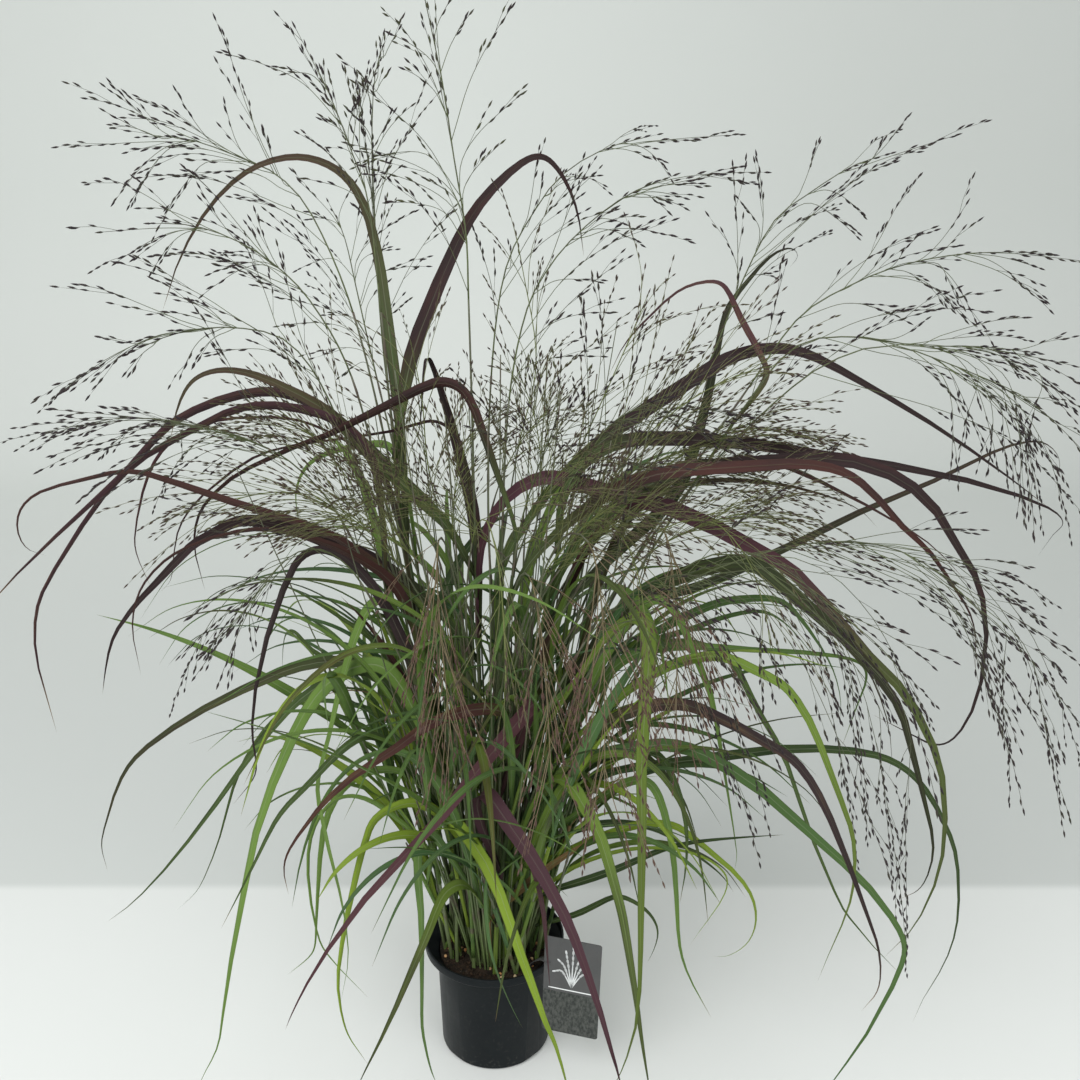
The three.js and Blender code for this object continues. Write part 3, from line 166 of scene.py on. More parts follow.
STEMS = (
    StemRow((-8, 4), 10, 3, (-8, 250, -11, 450, -12, 619, -13, 700, -14, 750, -22, 805, -28, 850,
             -36, 892, -44, 930),
            (-20, 915, 34, 852, 18, 818, -71, 892, -107, 816, -97, 800, -55, 795),
            (-34, 925, -44, 905, -62, 868, -98, 800, -78, 772)),
    StemRow((-20, 16), 120, 2, (-25, 260, -60, 470, -80, 640, -84, 760, -83, 820, -78, 866, -66, 893),
            (-57, 897, -88, 862, -66, 868, -104, 842, -75, 889, -60, 800, -98, 770),
            (-70, 894, -94, 868, -100, 830, -92, 858)),
    StemRow((-26, 2), 55, 2, (-30, 260, -68, 480, -82, 690, -88, 772, -100, 812, -112, 846, -126, 877),
            (-138, 899, -116, 874, -128, 858, -124, 836, -90, 850, -140, 790, -70, 830),
            (-134, 882, -120, 846, -110, 812, -150, 862, -96, 800, -142, 824)),
    StemRow((-38, 8), 90, 3, (-40, 250, -60, 430, -82, 580, -104, 690, -130, 760, -152, 789, -174, 801,
             -222, 818, -262, 819),
            (-312, 812, -278, 861, -229, 856, -286, 840, -275, 782, -192, 848, -165, 829, -270, 768),
            (-254, 845, -272, 833, -280, 825, -265, 790, -253, 802, -178, 857, -225, 790, -245, 763)),
    StemRow((-36, -8), -15, 3, (-38, 240, -60, 400, -86, 540, -108, 640, -136, 697, -165, 728,
             -197, 747, -228, 756, -262, 757),
            (-300, 750, -290, 725, -262, 716, -218, 788, -205, 722, -176, 771, -225, 700),
            (-270, 735, -262, 732, -268, 768, -225, 762, -200, 735, -185, 760)),
    StemRow((-24, -14), -60, 3, (-30, 230, -58, 380, -88, 500, -112, 580, -136, 640, -160, 669,
             -188, 677, -217, 678, -250, 672, -290, 655),
            (-364, 609, -345, 624, -310, 672, -292, 638, -258, 690, -235, 646, -246, 636),
            (-318, 634, -260, 705, -245, 700, -232, 700, -268, 688, -225, 655)),
    StemRow((-34, -24), -95, 3, (-38, 220, -66, 350, -98, 460, -128, 530, -160, 568, -188, 585,
             -215, 595, -245, 600, -280, 601),
            (-406, 583, -388, 597, -362, 573, -343, 533, -358, 613, -300, 560, -280, 524),
            (-375, 578, -352, 566, -320, 570, -330, 590, -262, 555, -235, 560, -250, 570)),
    StemRow((-18, -34), -185, 3, (-25, 200, -48, 300, -80, 400, -110, 466, -136, 492, -162, 491,
             -186, 470, -206, 444, -224, 418),
            (-285, 337, -262, 372, -241, 364, -226, 392, -223, 437, -216, 456, -205, 400),
            (-250, 392, -242, 400, -200, 465, -228, 415)),
    StemRow((-4, -26), -150, 2, (0, 230, 10, 380, 24, 500, 40, 560, 52, 592, 58, 612),
            (0, 622, 36, 655, 85, 650, 110, 640, 70, 520, 95, 560, 10, 520),
            (20, 640, 60, 660, 15, 600, 75, 585, -20, 600, 30, 520, 50, 470, 10, 455)),
    StemRow((20, -20), -70, 2, (24, 250, 44, 420, 72, 545, 95, 594, 122, 614, 155, 624),
            (190, 642, 126, 674, 235, 602, 216, 606, 140, 560, 180, 560, 165, 590),
            (175, 660, 150, 655, 185, 610, 200, 585, 150, 530, 120, 540, 210, 570)),
    StemRow((6, -10), -35, 3, (8, 240, 10, 400, 12, 520, 18, 620, 32, 690, 52, 727, 77, 754, 110, 778,
             150, 794),
            (219, 794, 186, 793, 170, 786, 158, 774, 122, 742, 94, 712, 98, 655),
            (145, 762, 125, 762, 112, 755, 105, 690)),
    StemRow((10, 30), 130, 3, (8, 250, 4, 400, 0, 520, 4, 640, 16, 722, 40, 768, 62, 794, 95, 812,
             136, 822),
            (198, 821, 165, 817, 128, 803, 140, 795, 95, 783, 45, 795, 20, 742),
            (80, 790, 40, 768, 105, 768)),
    StemRow((28, 22), 95, 4, (30, 240, 52, 360, 90, 470, 138, 570, 176, 646, 200, 712, 222, 758,
             248, 779, 280, 799, 312, 809),
            (360, 822, 318, 835, 303, 821, 262, 786, 237, 690, 205, 811, 181, 755, 293, 762),
            (340, 815, 314, 804, 240, 772, 198, 770, 200, 733, 230, 715, 291, 744)),
    StemRow((38, 6), 45, 4, (40, 220, 60, 330, 105, 450, 160, 550, 210, 630, 246, 685, 284, 710,
             321, 725, 366, 734, 410, 736),
            (484, 726, 436, 722, 427, 705, 371, 776, 371, 757, 311, 736, 346, 709, 388, 680),
            (330, 743, 356, 738, 362, 722, 382, 680, 338, 680, 372, 695)),
    StemRow((34, -10), -5, 4, (36, 220, 58, 330, 108, 440, 158, 530, 205, 610, 244, 662, 290, 671,
             342, 664, 396, 663, 445, 657),
            (504, 640, 460, 675, 427, 637, 480, 600, 455, 560, 420, 560, 345, 682),
            (475, 620, 500, 600, 470, 560, 450, 560, 440, 575, 405, 580, 385, 560)),
    StemRow((22, -2), -50, 4, (26, 220, 48, 330, 92, 430, 140, 510, 190, 574, 240, 626, 276, 652,
             319, 664, 368, 650, 418, 629, 466, 600),
            (521, 545, 514, 575, 490, 496, 458, 499, 440, 520, 410, 556, 380, 552),
            (465, 505, 450, 510, 430, 545, 500, 520)),
    StemRow((28, -32), -125, 3, (32, 190, 56, 290, 104, 390, 160, 458, 216, 486, 268, 499, 317, 500,
             360, 486, 402, 455, 438, 418),
            (536, 268, 545, 300, 516, 250, 485, 238, 470, 246, 455, 316, 505, 400),
            (525, 215, 455, 315, 450, 330, 475, 300, 510, 290, 440, 380, 460, 400, 490, 415, 490, 440)),
    StemRow((12, -39), -170, 3, (16, 180, 40, 270, 80, 370, 124, 440, 172, 482, 214, 492, 254, 474,
             288, 444, 314, 414),
            (396, 60, 384, 130, 345, 205, 340, 168, 400, 290, 396, 345, 330, 322),
            (393, 85, 372, 165, 345, 230, 360, 330, 410, 230, 310, 330, 350, 400)),
    StemRow((2, -42), -205, 3, (6, 170, 20, 250, 48, 340, 82, 410, 118, 452, 152, 470, 184, 468,
             208, 448),
            (255, 215, 226, 245, 248, 182, 215, 360, 190, 410, 150, 400, 262, 300),
            (205, 400, 240, 340, 270, 350, 230, 430, 170, 470, 120, 430, 115, 400, 100, 470)),
    StemRow((-14, 28), 190, 3, (-18, 250, -40, 400, -66, 530, -88, 640, -100, 706, -108, 748,
             -120, 776),
            (-142, 790, -166, 702, -132, 762, -95, 790, -62, 762, -56, 702, -150, 655),
            (-150, 720, -125, 690, -160, 680, -70, 740, -75, 715, -115, 640, -40, 725)),
)

BLADES = (
    BladeRow(2, Tone.DARK, 13, 72, 0, 40, (-73, 560, -64, 640, -46, 688, -28, 728, -9, 764, 16, 791,
        42, 807, 60, 792, 72, 765, 77, 732)),
    BladeRow(3, Tone.GREY, 10, -68, -20, 10, (-64, 480, -70, 600, -77, 680, -81, 725, -90, 768,
        -108, 795, -140, 806, -178, 796, -212, 767, -238, 728, -254, 690)),
    BladeRow(0, Tone.GREY, 13, -60, -30, -60, (-12, 468, -30, 508, -46, 527, -63, 544, -87, 568,
        -110, 593, -131, 613, -155, 627, -185, 641, -212, 645, -235, 637, -249, 616, -258, 588)),
    BladeRow(4, Tone.SMOKE, 11, 55, 0, 30, (-50, 420, -80, 545, -112, 590, -140, 616, -170, 627,
        -205, 623, -240, 610, -265, 594, -296, 562, -321, 541, -363, 505, -400, 472, -440, 432)),
    BladeRow(6, Tone.SMOKE, 9, 50, 0, -80, (-60, 430, -90, 560, -115, 598, -147, 612, -183, 616,
        -212, 609, -246, 592, -283, 572, -314, 545, -335, 520, -351, 498, -381, 456, -392, 422,
        -394, 385, -386, 322)),
    BladeRow(5, Tone.DARK, 9, 55, 30, -150, (-31, 385, -42, 418, -66, 450, -93, 478, -125, 503,
        -157, 517, -190, 528, -236, 543, -268, 556, -298, 562, -339, 553, -371, 544, -389, 529,
        -394, 510, -388, 494, -372, 488)),
    BladeRow(0, Tone.DARK, 14, -62, -25, -190, (-11, 393, -30, 423, -51, 447, -76, 468, -102, 486,
        -128, 498, -160, 511, -190, 519, -212, 518, -230, 508, -249, 498, -268, 479, -286, 461,
        -301, 446, -325, 416, -336, 382, -341, 360)),
    BladeRow(5, Tone.DARK, 9, 55, 0, -110, (-40, 330, -70, 448, -110, 486, -150, 504, -190, 512,
        -225, 506, -255, 495, -276, 482, -296, 460, -306, 434, -308, 410, -305, 378)),
    BladeRow(7, Tone.DARK, 9, 66, 0, -215, (-40, 270, -70, 400, -104, 470, -135, 494, -158, 488,
        -172, 465, -185, 435, -197, 400, -207, 362, -213, 322, -211, 292, -216, 275, -236, 250)),
    BladeRow(4, Tone.MOSS, 10, -74, 0, -40, (-40, 270, -78, 360, -120, 391, -165, 388, -205, 371,
        -247, 350, -285, 326, -321, 297, -340, 266, -352, 235, -361, 208, -358, 180)),
    BladeRow(3, Tone.SMOKE, 6, 45, 0, 70, (-75, 520, -100, 575, -135, 597, -160, 605, -190, 606,
        -222, 603, -250, 592, -270, 574, -284, 548, -295, 512, -297, 490, -287, 458)),
    BladeRow(8, Tone.DARK, 9, 58, 0, -20, (22, 471, 24, 509, 14, 539, 0, 580, -8, 606, -18, 627,
        -34, 635, -52, 630, -75, 618, -100, 606, -130, 591, -157, 582, -190, 567, -212, 555, -236, 533,
        -246, 510, -247, 486, -242, 457)),
    BladeRow(0, Tone.SMOKE, 6, 50, 0, 60, (-12, 500, -20, 580, -40, 603, -63, 598, -88, 592, -122, 588,
        -153, 584, -185, 576, -212, 560, -244, 534, -260, 510, -266, 485, -270, 466, -281, 455)),
    BladeRow(1, Tone.GREEN, 8, 60, 60, 60, (-60, 470, -72, 575, -98, 584, -134, 576, -152, 562,
        -160, 540, -158, 518, -166, 500)),
    BladeRow(0, Tone.DARK, 15, 82, 0, -30, (-10, 400, -12, 510, -19, 555, -27, 590, -35, 622, -42, 645,
        -47, 655, -50, 640, -52, 615, -56, 592, -59, 572)),
    BladeRow(0, Tone.TURNED, 14, 70, 0, -105, (-11, 456, -8, 492, -1, 518, 12, 538, 31, 552, 55, 557,
        84, 547, 125, 538, 162, 526, 195, 510, 232, 489, 256, 475, 280, 451, 307, 419, 331, 393,
        357, 369, 381, 334, 400, 295, 410, 256, 415, 206, 410, 160, 395, 116, 371, 84)),
    BladeRow(15, Tone.MOSS, 13, 66, 10, -60, (60, 360, 112, 438, 160, 470, 200, 482, 226, 480, 247, 464,
        280, 437, 316, 403, 346, 368, 362, 343, 376, 305, 388, 265, 401, 226, 406, 195, 399, 162,
        380, 150)),
    BladeRow(14, Tone.MOSS, 7, 50, 0, 20, (70, 360, 150, 462, 200, 478, 240, 470, 290, 425, 326, 388,
        344, 352, 353, 325, 358, 297, 356, 280)),
    BladeRow(9, Tone.DARK, 13, 66, 0, 20, (56, 485, 60, 527, 73, 561, 98, 582, 129, 589, 183, 587,
        223, 583, 270, 575, 301, 571, 350, 563, 398, 553, 439, 541, 470, 528, 480, 516, 472, 507,
        462, 488)),
    BladeRow(9, Tone.DARK, 13, 66, 0, -40, (47, 442, 72, 495, 101, 528, 135, 552, 174, 566, 210, 565,
        250, 572, 290, 572, 325, 562, 352, 547, 378, 521, 397, 490, 412, 470, 424, 437, 429, 400,
        427, 355, 414, 320, 395, 310, 367, 325, 336, 341)),
    BladeRow(8, Tone.DARK, 11, 60, 0, -90, (17, 449, 31, 480, 53, 505, 79, 528, 110, 548, 147, 561,
        209, 565, 256, 568, 296, 560, 325, 536, 348, 511, 372, 491, 396, 458, 410, 439, 419, 415,
        423, 380)),
    BladeRow(10, Tone.DARK, 13, 60, 0, 50, (11, 473, 19, 495, 35, 521, 52, 546, 73, 568, 94, 587,
        115, 603, 159, 632, 192, 654, 228, 662, 256, 657, 285, 643, 322, 623, 362, 600, 403, 574,
        438, 550, 466, 530)),
    BladeRow(14, Tone.GREY, 9, 60, 0, 60, (60, 340, 96, 420, 130, 447, 163, 456, 189, 465, 228, 484,
        260, 500, 297, 521, 333, 537, 367, 553, 396, 568, 420, 581, 445, 587, 460, 582, 470, 568,
        468, 543)),
    BladeRow(9, Tone.MOSS, 12, 62, 0, 110, (45, 425, 71, 457, 110, 495, 144, 528, 162, 556, 171, 590,
        178, 624, 185, 670, 189, 691, 200, 708, 220, 732, 236, 739, 243, 733, 237, 724)),
    BladeRow(14, Tone.SMOKE, 8, -50, 0, 30, (218, 624, 224, 637, 219, 653, 211, 668, 202, 682, 192, 702,
        182, 713, 162, 711, 144, 701, 118, 675, 107, 660, 97, 638)),
    BladeRow(15, Tone.MOSS, 8, 55, 0, -30, (80, 400, 110, 515, 150, 545, 185, 554, 232, 552, 273, 543,
        307, 530, 325, 513)),
    BladeRow(16, Tone.FERN, 9, 62, 0, -140, (70, 300, 110, 355, 150, 385, 185, 396, 208, 394, 244, 376,
        262, 363, 284, 330, 301, 290, 318, 250, 330, 218, 335, 180, 333, 140, 318, 88, 310, 57)),
    BladeRow(17, Tone.BROWN, 11, 64, 0, -190, (30, 230, 85, 315, 125, 345, 167, 351, 196, 340, 231, 321,
        266, 299, 283, 280, 300, 252, 324, 200, 341, 155, 361, 108, 369, 75, 369, 45, 355, 22)),
    BladeRow(16, Tone.GREEN, 9, 55, 0, -90, (50, 270, 100, 380, 143, 404, 193, 405, 227, 402, 275, 400,
        309, 395, 325, 387, 328, 370, 318, 335, 312, 308)),
    BladeRow(17, Tone.GREEN, 11, 62, 40, -200, (30, 215, 60, 280, 97, 301, 146, 311, 171, 308, 195, 298,
        241, 268, 289, 222, 323, 190, 350, 162, 378, 124, 390, 97, 388, 72, 376, 30, 357, -19, 335, -60,
        318, -95)),
    BladeRow(15, Tone.GREEN, 9, 58, 0, -110, (40, 240, 92, 280, 150, 292, 209, 299, 250, 306, 299, 307,
        343, 301, 371, 287, 393, 264, 412, 232, 427, 198, 435, 150, 436, 110, 428, 72, 413, 36,
        406, 8)),
    BladeRow(13, Tone.GREEN, 8, 55, 0, 70, (80, 380, 130, 412, 165, 432, 195, 446, 222, 450, 245, 449,
        262, 437, 286, 405, 300, 380, 308, 352, 308, 330)),
    BladeRow(12, Tone.GREEN, 6, 50, 0, 120, (70, 380, 120, 405, 172, 421, 192, 430, 216, 437, 235, 438,
        250, 430, 262, 419, 276, 402, 290, 384)),
    BladeRow(14, Tone.GREEN, 7, 60, 0, -10, (60, 330, 120, 396, 155, 410, 185, 406, 210, 393, 233, 347,
        248, 324, 267, 286, 288, 226, 307, 183, 326, 141, 342, 120, 364, 92, 390, 64)),
    BladeRow(16, Tone.GREEN, 9, 66, 0, -60, (60, 290, 100, 400, 132, 445, 150, 447, 163, 430, 178, 395,
        190, 368, 197, 343, 204, 308, 212, 266, 217, 240, 222, 215, 225, 195, 223, 178)),
    BladeRow(18, Tone.FERN, 12, 84, 0, -250, (40, 300, 84, 388, 110, 424, 130, 432, 138, 408, 136, 360,
        135, 324, 134, 286, 136, 240, 137, 200, 138, 130, 139, 80, 139, 40, 136, -2, 124, -50,
        112, -78)),
    BladeRow(17, Tone.OLIVE, 13, 24, 0, -245, (20, 190, 44, 268, 66, 275, 81, 252, 95, 224, 104, 196,
        118, 142, 124, 111, 134, 50, 143, -14, 150, -58, 153, -78)),
    BladeRow(18, Tone.PURPLE, 14, 26, 0, -262, (6, 180, -16, 246, -6, 262, 8, 240, 34, 198, 53, 160,
        71, 120, 88, 67, 102, 20, 114, -28, 121, -54, 126, -78)),
    BladeRow(8, Tone.PURPLE, 12, -4, 0, -235, (2, 240, 30, 335, 38, 352, 24, 335, 9, 314, -9, 291,
        -36, 252, -72, 208, -109, 166, -144, 117, -176, 65, -198, 20, -206, 0)),
    BladeRow(8, Tone.BROWN, 10, -62, 0, -170, (4, 280, 14, 336, 0, 346, -24, 344, -57, 331, -88, 305,
        -120, 284, -151, 255, -172, 228, -190, 200, -195, 178, -192, 154)),
    BladeRow(5, Tone.GREEN, 11, -60, 0, -160, (-50, 340, -78, 438, -100, 446, -117, 412, -131, 369,
        -142, 325, -154, 286, -158, 260, -153, 215, -146, 172, -141, 137, -139, 95, -143, 62,
        -150, 32)),
    BladeRow(7, Tone.GREEN, 13, 70, 0, -230, (-36, 250, -80, 376, -115, 388, -147, 367, -172, 330,
        -193, 286, -213, 236, -227, 189, -238, 137, -252, 83, -264, 27, -273, -19, -290, -52,
        -300, -76)),
    BladeRow(6, Tone.GREEN, 8, -76, 0, -50, (-50, 280, -90, 372, -125, 382, -160, 362, -189, 334,
        -226, 286, -256, 244, -297, 191, -337, 147, -366, 124)),
    BladeRow(6, Tone.GREEN, 8, -74, 0, -170, (-40, 230, -95, 318, -130, 310, -165, 272, -195, 240,
        -218, 195, -237, 158, -259, 116)),
    BladeRow(4, Tone.GREEN, 5, 50, 0, -10, (-60, 340, -110, 366, -160, 360, -200, 328, -231, 277,
        -249, 220, -268, 175, -280, 155, -298, 138)),
    BladeRow(8, Tone.LIME, 9, 62, 0, -200, (-2, 160, -35, 225, -56, 247, -80, 252, -107, 236, -117, 212,
        -125, 185, -138, 133, -147, 89, -152, 50, -148, 5, -139, -20, -127, -42)),
    BladeRow(7, Tone.GREEN, 10, 8, 0, -235, (-22, 165, -54, 218, -66, 216, -70, 180, -68, 140, -69, 90,
        -71, 33, -72, 0, -66, -44, -60, -66)),
    BladeRow(18, Tone.OLIVE, 10, -44, 0, -225, (2, 120, -16, 152, -29, 166, -45, 158, -55, 137,
        -64, 111, -84, 60, -105, 7, -129, -46, -140, -72)),
    BladeRow(8, Tone.LIME, 12, 26, 0, -275, (-2, 200, -38, 236, -27, 224, -10, 196, 4, 162, 15, 125,
        26, 83, 37, 50, 48, 10, 58, -16, 68, -58, 71, -76)),
    BladeRow(10, Tone.LIME, 8, 55, 0, -50, (10, 165, 60, 198, 100, 217, 130, 229, 150, 231, 170, 227,
        192, 208, 222, 181, 241, 154, 247, 125, 240, 100, 222, 86, 208, 86)),
    BladeRow(9, Tone.GREEN, 7, 52, 0, -60, (22, 150, 62, 162, 112, 181, 150, 201, 183, 211, 227, 216,
        268, 219)),
    BladeRow(15, Tone.GREEN, 7, 52, 0, 40, (30, 190, 70, 222, 110, 232, 150, 225, 184, 200, 211, 177,
        224, 157)),
    BladeRow(16, Tone.GREEN, 8, 64, 0, -150, (40, 210, 90, 250, 122, 274, 146, 270, 161, 224, 167, 190,
        171, 150, 175, 100, 186, 62, 210, 14)),
    BladeRow(14, Tone.GREEN, 9, 64, 0, -70, (44, 240, 84, 288, 115, 304, 143, 305, 160, 285, 173, 248,
        178, 215, 178, 180, 174, 144)),
    BladeRow(14, Tone.GREEN, 6, 50, 0, -40, (36, 122, 75, 131, 106, 150, 122, 152, 144, 137, 155, 115,
        151, 92, 145, 78)),
    BladeRow(5, Tone.GREEN, 8, 62, 0, -120, (-28, 210, -68, 276, -104, 286, -135, 268, -155, 228,
        -163, 170, -168, 125, -171, 96, -180, 82, -200, 64)),
    BladeRow(3, Tone.GREEN, 7, -64, 0, 10, (-44, 300, -90, 400, -125, 430, -150, 448, -175, 462,
        -190, 462)),
    BladeRow(3, Tone.GREEN, 8, -66, 0, 60, (-42, 280, -90, 370, -130, 388, -155, 402, -166, 418,
        -174, 420, -179, 408, -182, 380)),
)

# Leafy shoots without a panicle, round and between the flowering stems, placed by rule.
SHOOTS = ((-28, 34, 130), (-6, 42, 130), (22, 37, 130), (41, 21, 130), (46, -5, 130),
          (-46, -6, 130), (40, -20, 130), (-43, 21, 130), (-39, -19, 130), (21, -40, 130),
          (0, 16, 230), (12, 8, 200), (-10, -8, 200), (-32, 22, 220), (24, 10, 220),
          (6, 44, 220), (-16, -24, 200))


# ---------------------------------------------------------------- points and random draws
def add(a: Point, b: Point) -> Point:
    """Returns the sum of two points."""
    return (a[0] + b[0], a[1] + b[1], a[2] + b[2])


def sub(a: Point, b: Point) -> Point:
    """Returns a less b."""
    return (a[0] - b[0], a[1] - b[1], a[2] - b[2])


def mul(a: Point, k: float) -> Point:
    """Returns a point scaled by k."""
    return (a[0] * k, a[1] * k, a[2] * k)


def dot(a: Point, b: Point) -> float:
    """Returns the dot product."""
    return a[0] * b[0] + a[1] * b[1] + a[2] * b[2]


def cross(a: Point, b: Point) -> Point:
    """Returns the cross product."""
    return (a[1] * b[2] - a[2] * b[1], a[2] * b[0] - a[0] * b[2], a[0] * b[1] - a[1] * b[0])


def size(a: Point) -> float:
    """Returns the length of a vector."""
    return math.sqrt(dot(a, a))


def unit(a: Point) -> Point:
    """Returns the vector at length one."""
    return mul(a, 1 / max(size(a), 1e-9))


def mix(a: Point, b: Point, t: float) -> Point:
    """Returns the point a share t of the way from a to b."""
    return add(mul(a, 1 - t), mul(b, t))


def smooth(a: float, b: float, t: float) -> float:
    """Returns a soft step from 0 at a to 1 at b."""
    k = min(1.0, max(0.0, (t - a) / (b - a)))
    return k * k * (3 - 2 * k)


def lift(x: float, z: float, y: float) -> Point:
    """Returns the point at depth y that is seen at (x, z) of the front elevation."""
    f = 1 + y / EYE_Y
    return (EYE_X + (x - EYE_X) * f, y, EYE_Z + (z - EYE_Z) * f)


def elevation(p: Point) -> float:
    """Returns the height at which a point is seen on the front elevation."""
    return EYE_Z + (p[2] - EYE_Z) / (1 + p[1] / EYE_Y)


def mulberry(seed: int) -> Draw:
    """Makes a small random generator.

    Args:
        seed: The seed of the run of numbers.

    Returns:
        A function that gives the next number from 0 to 1.
    """
    mask = 0xFFFFFFFF
    state = seed & mask

    def draw() -> float:
        """Draws a number.

        Returns:
            The next number.
        """
        nonlocal state
        state = (state + 0x6D2B79F5) & mask
        t = ((state ^ (state >> 15)) * (state | 1)) & mask
        t = (t ^ (t + (t ^ (t >> 7)) * (t | 61))) & mask
        return (t ^ (t >> 14)) / 4294967296

    return draw


@dataclass
class Line:
    """A run of close points, with the distance of each from the start."""

    run: list[Point]
    at: list[float] = field(init=False)

    def __post_init__(self) -> None:
        """Measures the distances."""
        self.at = [0.0]
        for a, b in zip(self.run, self.run[1:]):
            self.at.append(self.at[-1] + size(sub(b, a)))

    @property
    def length(self) -> float:
        """The whole length."""
        return self.at[-1]

    def point(self, s: float) -> Point:
        """Returns the point at distance s.

        Args:
            s: The distance from the start.

        Returns:
            The point.
        """
        want = min(self.length, max(0.0, s))
        i = bisect.bisect_left(self.at, want, 1, len(self.at) - 1)
        span = max(self.at[i] - self.at[i - 1], 1e-9)
        return mix(self.run[i - 1], self.run[i], (want - self.at[i - 1]) / span)

    def heading(self, s: float) -> Point:
        """Returns the direction of the line at distance s."""
        step = min(2.0, self.length / 8)
        return unit(sub(self.point(s + step), self.point(s - step)))

    def bends(self, count: int) -> list[float]:
        """Returns distances that share the length and the bends out evenly.

        Args:
            count: How many are wanted.

        Returns:
            The distances, from 0 on, without the end.
        """
        effort = [0.0]
        last = self.heading(0.0)
        for i in range(1, len(self.run)):
            here = self.heading(self.at[i])
            turn = math.acos(min(1.0, dot(last, here)))
            effort.append(effort[-1] + (self.at[i] - self.at[i - 1]) / self.length + turn * 0.9)
            last = here
        out = []
        k = 0
        for i in range(count):
            want = effort[-1] * i / count
            while effort[k + 1] < want:
                k += 1
            f = (want - effort[k]) / max(effort[k + 1] - effort[k], 1e-9)
            out.append(self.at[k] + (self.at[k + 1] - self.at[k]) * f)
        return out

    def nearest(self, x: float, z: float) -> tuple[float, float]:
        """Returns how far (x, z) of the elevation is from the line, and where along it.

        Args:
            x: The place across.
            z: The height.

        Returns:
            The distance from the line, and the distance along it.
        """
        best = (1e9, 0.0)
        for p, s in zip(self.run, self.at):
            f = 1 + p[1] / EYE_Y
            d = math.hypot(EYE_X + (p[0] - EYE_X) / f - x, elevation(p) - z)
            if d < best[0]:
                best = (d, s)
        return best


def flow(points: Sequence[Point]) -> Line:
    """Returns a smooth line through the points.

    Args:
        points: The points that it passes.

    Returns:
        The line, with ten steps from each point to the next.
    """
    run: list[Point] = []
    for i in range(len(points) - 1):
        b, c = points[i], points[i + 1]
        a = points[i - 1] if i > 0 else sub(mul(b, 2), c)
        d = points[i + 2] if i + 2 < len(points) else sub(mul(c, 2), b)
        for k in range(10):
            t = k / 10
            t2 = t * t
            t3 = t2 * t
            wa = -0.5 * t3 + t2 - 0.5 * t
            wb = 1.5 * t3 - 2.5 * t2 + 1
            wc = -1.5 * t3 + 2 * t2 + 0.5 * t
            wd = 0.5 * t3 - 0.5 * t2
            run.append(add(add(mul(a, wa), mul(b, wb)), add(mul(c, wc), mul(d, wd))))
    run.append(points[-1])
    return Line(run)


def eased(line: Line) -> Line:
    """Returns the line with its small kinks eased out and its ends kept.

    Args:
        line: The line as it was drawn.

    Returns:
        A line of as many points.
    """
    run = line.run
    for _ in range(EASING):
        inner = [mix(run[i], mix(run[i - 1], run[i + 1], 0.5), 0.5)
                 for i in range(1, len(run) - 1)]
        run = [run[0], *inner, run[-1]]
    return Line(run)


# ---------------------------------------------------------------- room between the pieces
@dataclass
class Ring:
    """The middle of a piece at one place along it, and half its width as a vector."""

    c: Point
    half: Point = (0.0, 0.0, 0.0)


@dataclass
class Growth:
    """A piece that has found its place: its rings, its line, and a blade's width and turns."""

    rings: list[Ring]
    line: Line
    width: float = 0.0
    roll: float = 0.0
    twist: float = 0.0


def chain(rings: Sequence[Ring]) -> Line:
    """Returns the straight-sided run through the rings' middles.

    Args:
        rings: The rings of a stem.

    Returns:
        Their line, in steps of up to 4 mm.
    """
    run = [rings[0].c]
    for a, b in zip(rings, rings[1:]):
        steps = math.ceil(size(sub(b.c, a.c)) / 4)
        run += [mix(a.c, b.c, k / steps) for k in range(1, steps + 1)]
    return Line(run)


def thread(line: Line, at: Iterable[float]) -> list[Ring]:
    """Returns rings without width at the distances, and one at the end."""
    return [Ring(line.point(s)) for s in at] + [Ring(line.point(line.length))]


def folded(rings: Sequence[Ring]) -> bool:
    """Tells whether a blade turns so fast that two of its rings would cross.

    Args:
        rings: The blade's rings.

    Returns:
        True where it is so.
    """
    for a, b in zip(rings, rings[1:-1]):
        go = sub(b.c, a.c)
        turn = dot(unit(a.half), unit(b.half))
        for k in (-1, 1):
            edge = dot(sub(add(b.c, mul(b.half, k)), add(a.c, mul(a.half, k))), go)
            if edge < 0.15 * dot(go, go) or (turn < 0.6 and size(a.half) > 0):
                return True
    return False


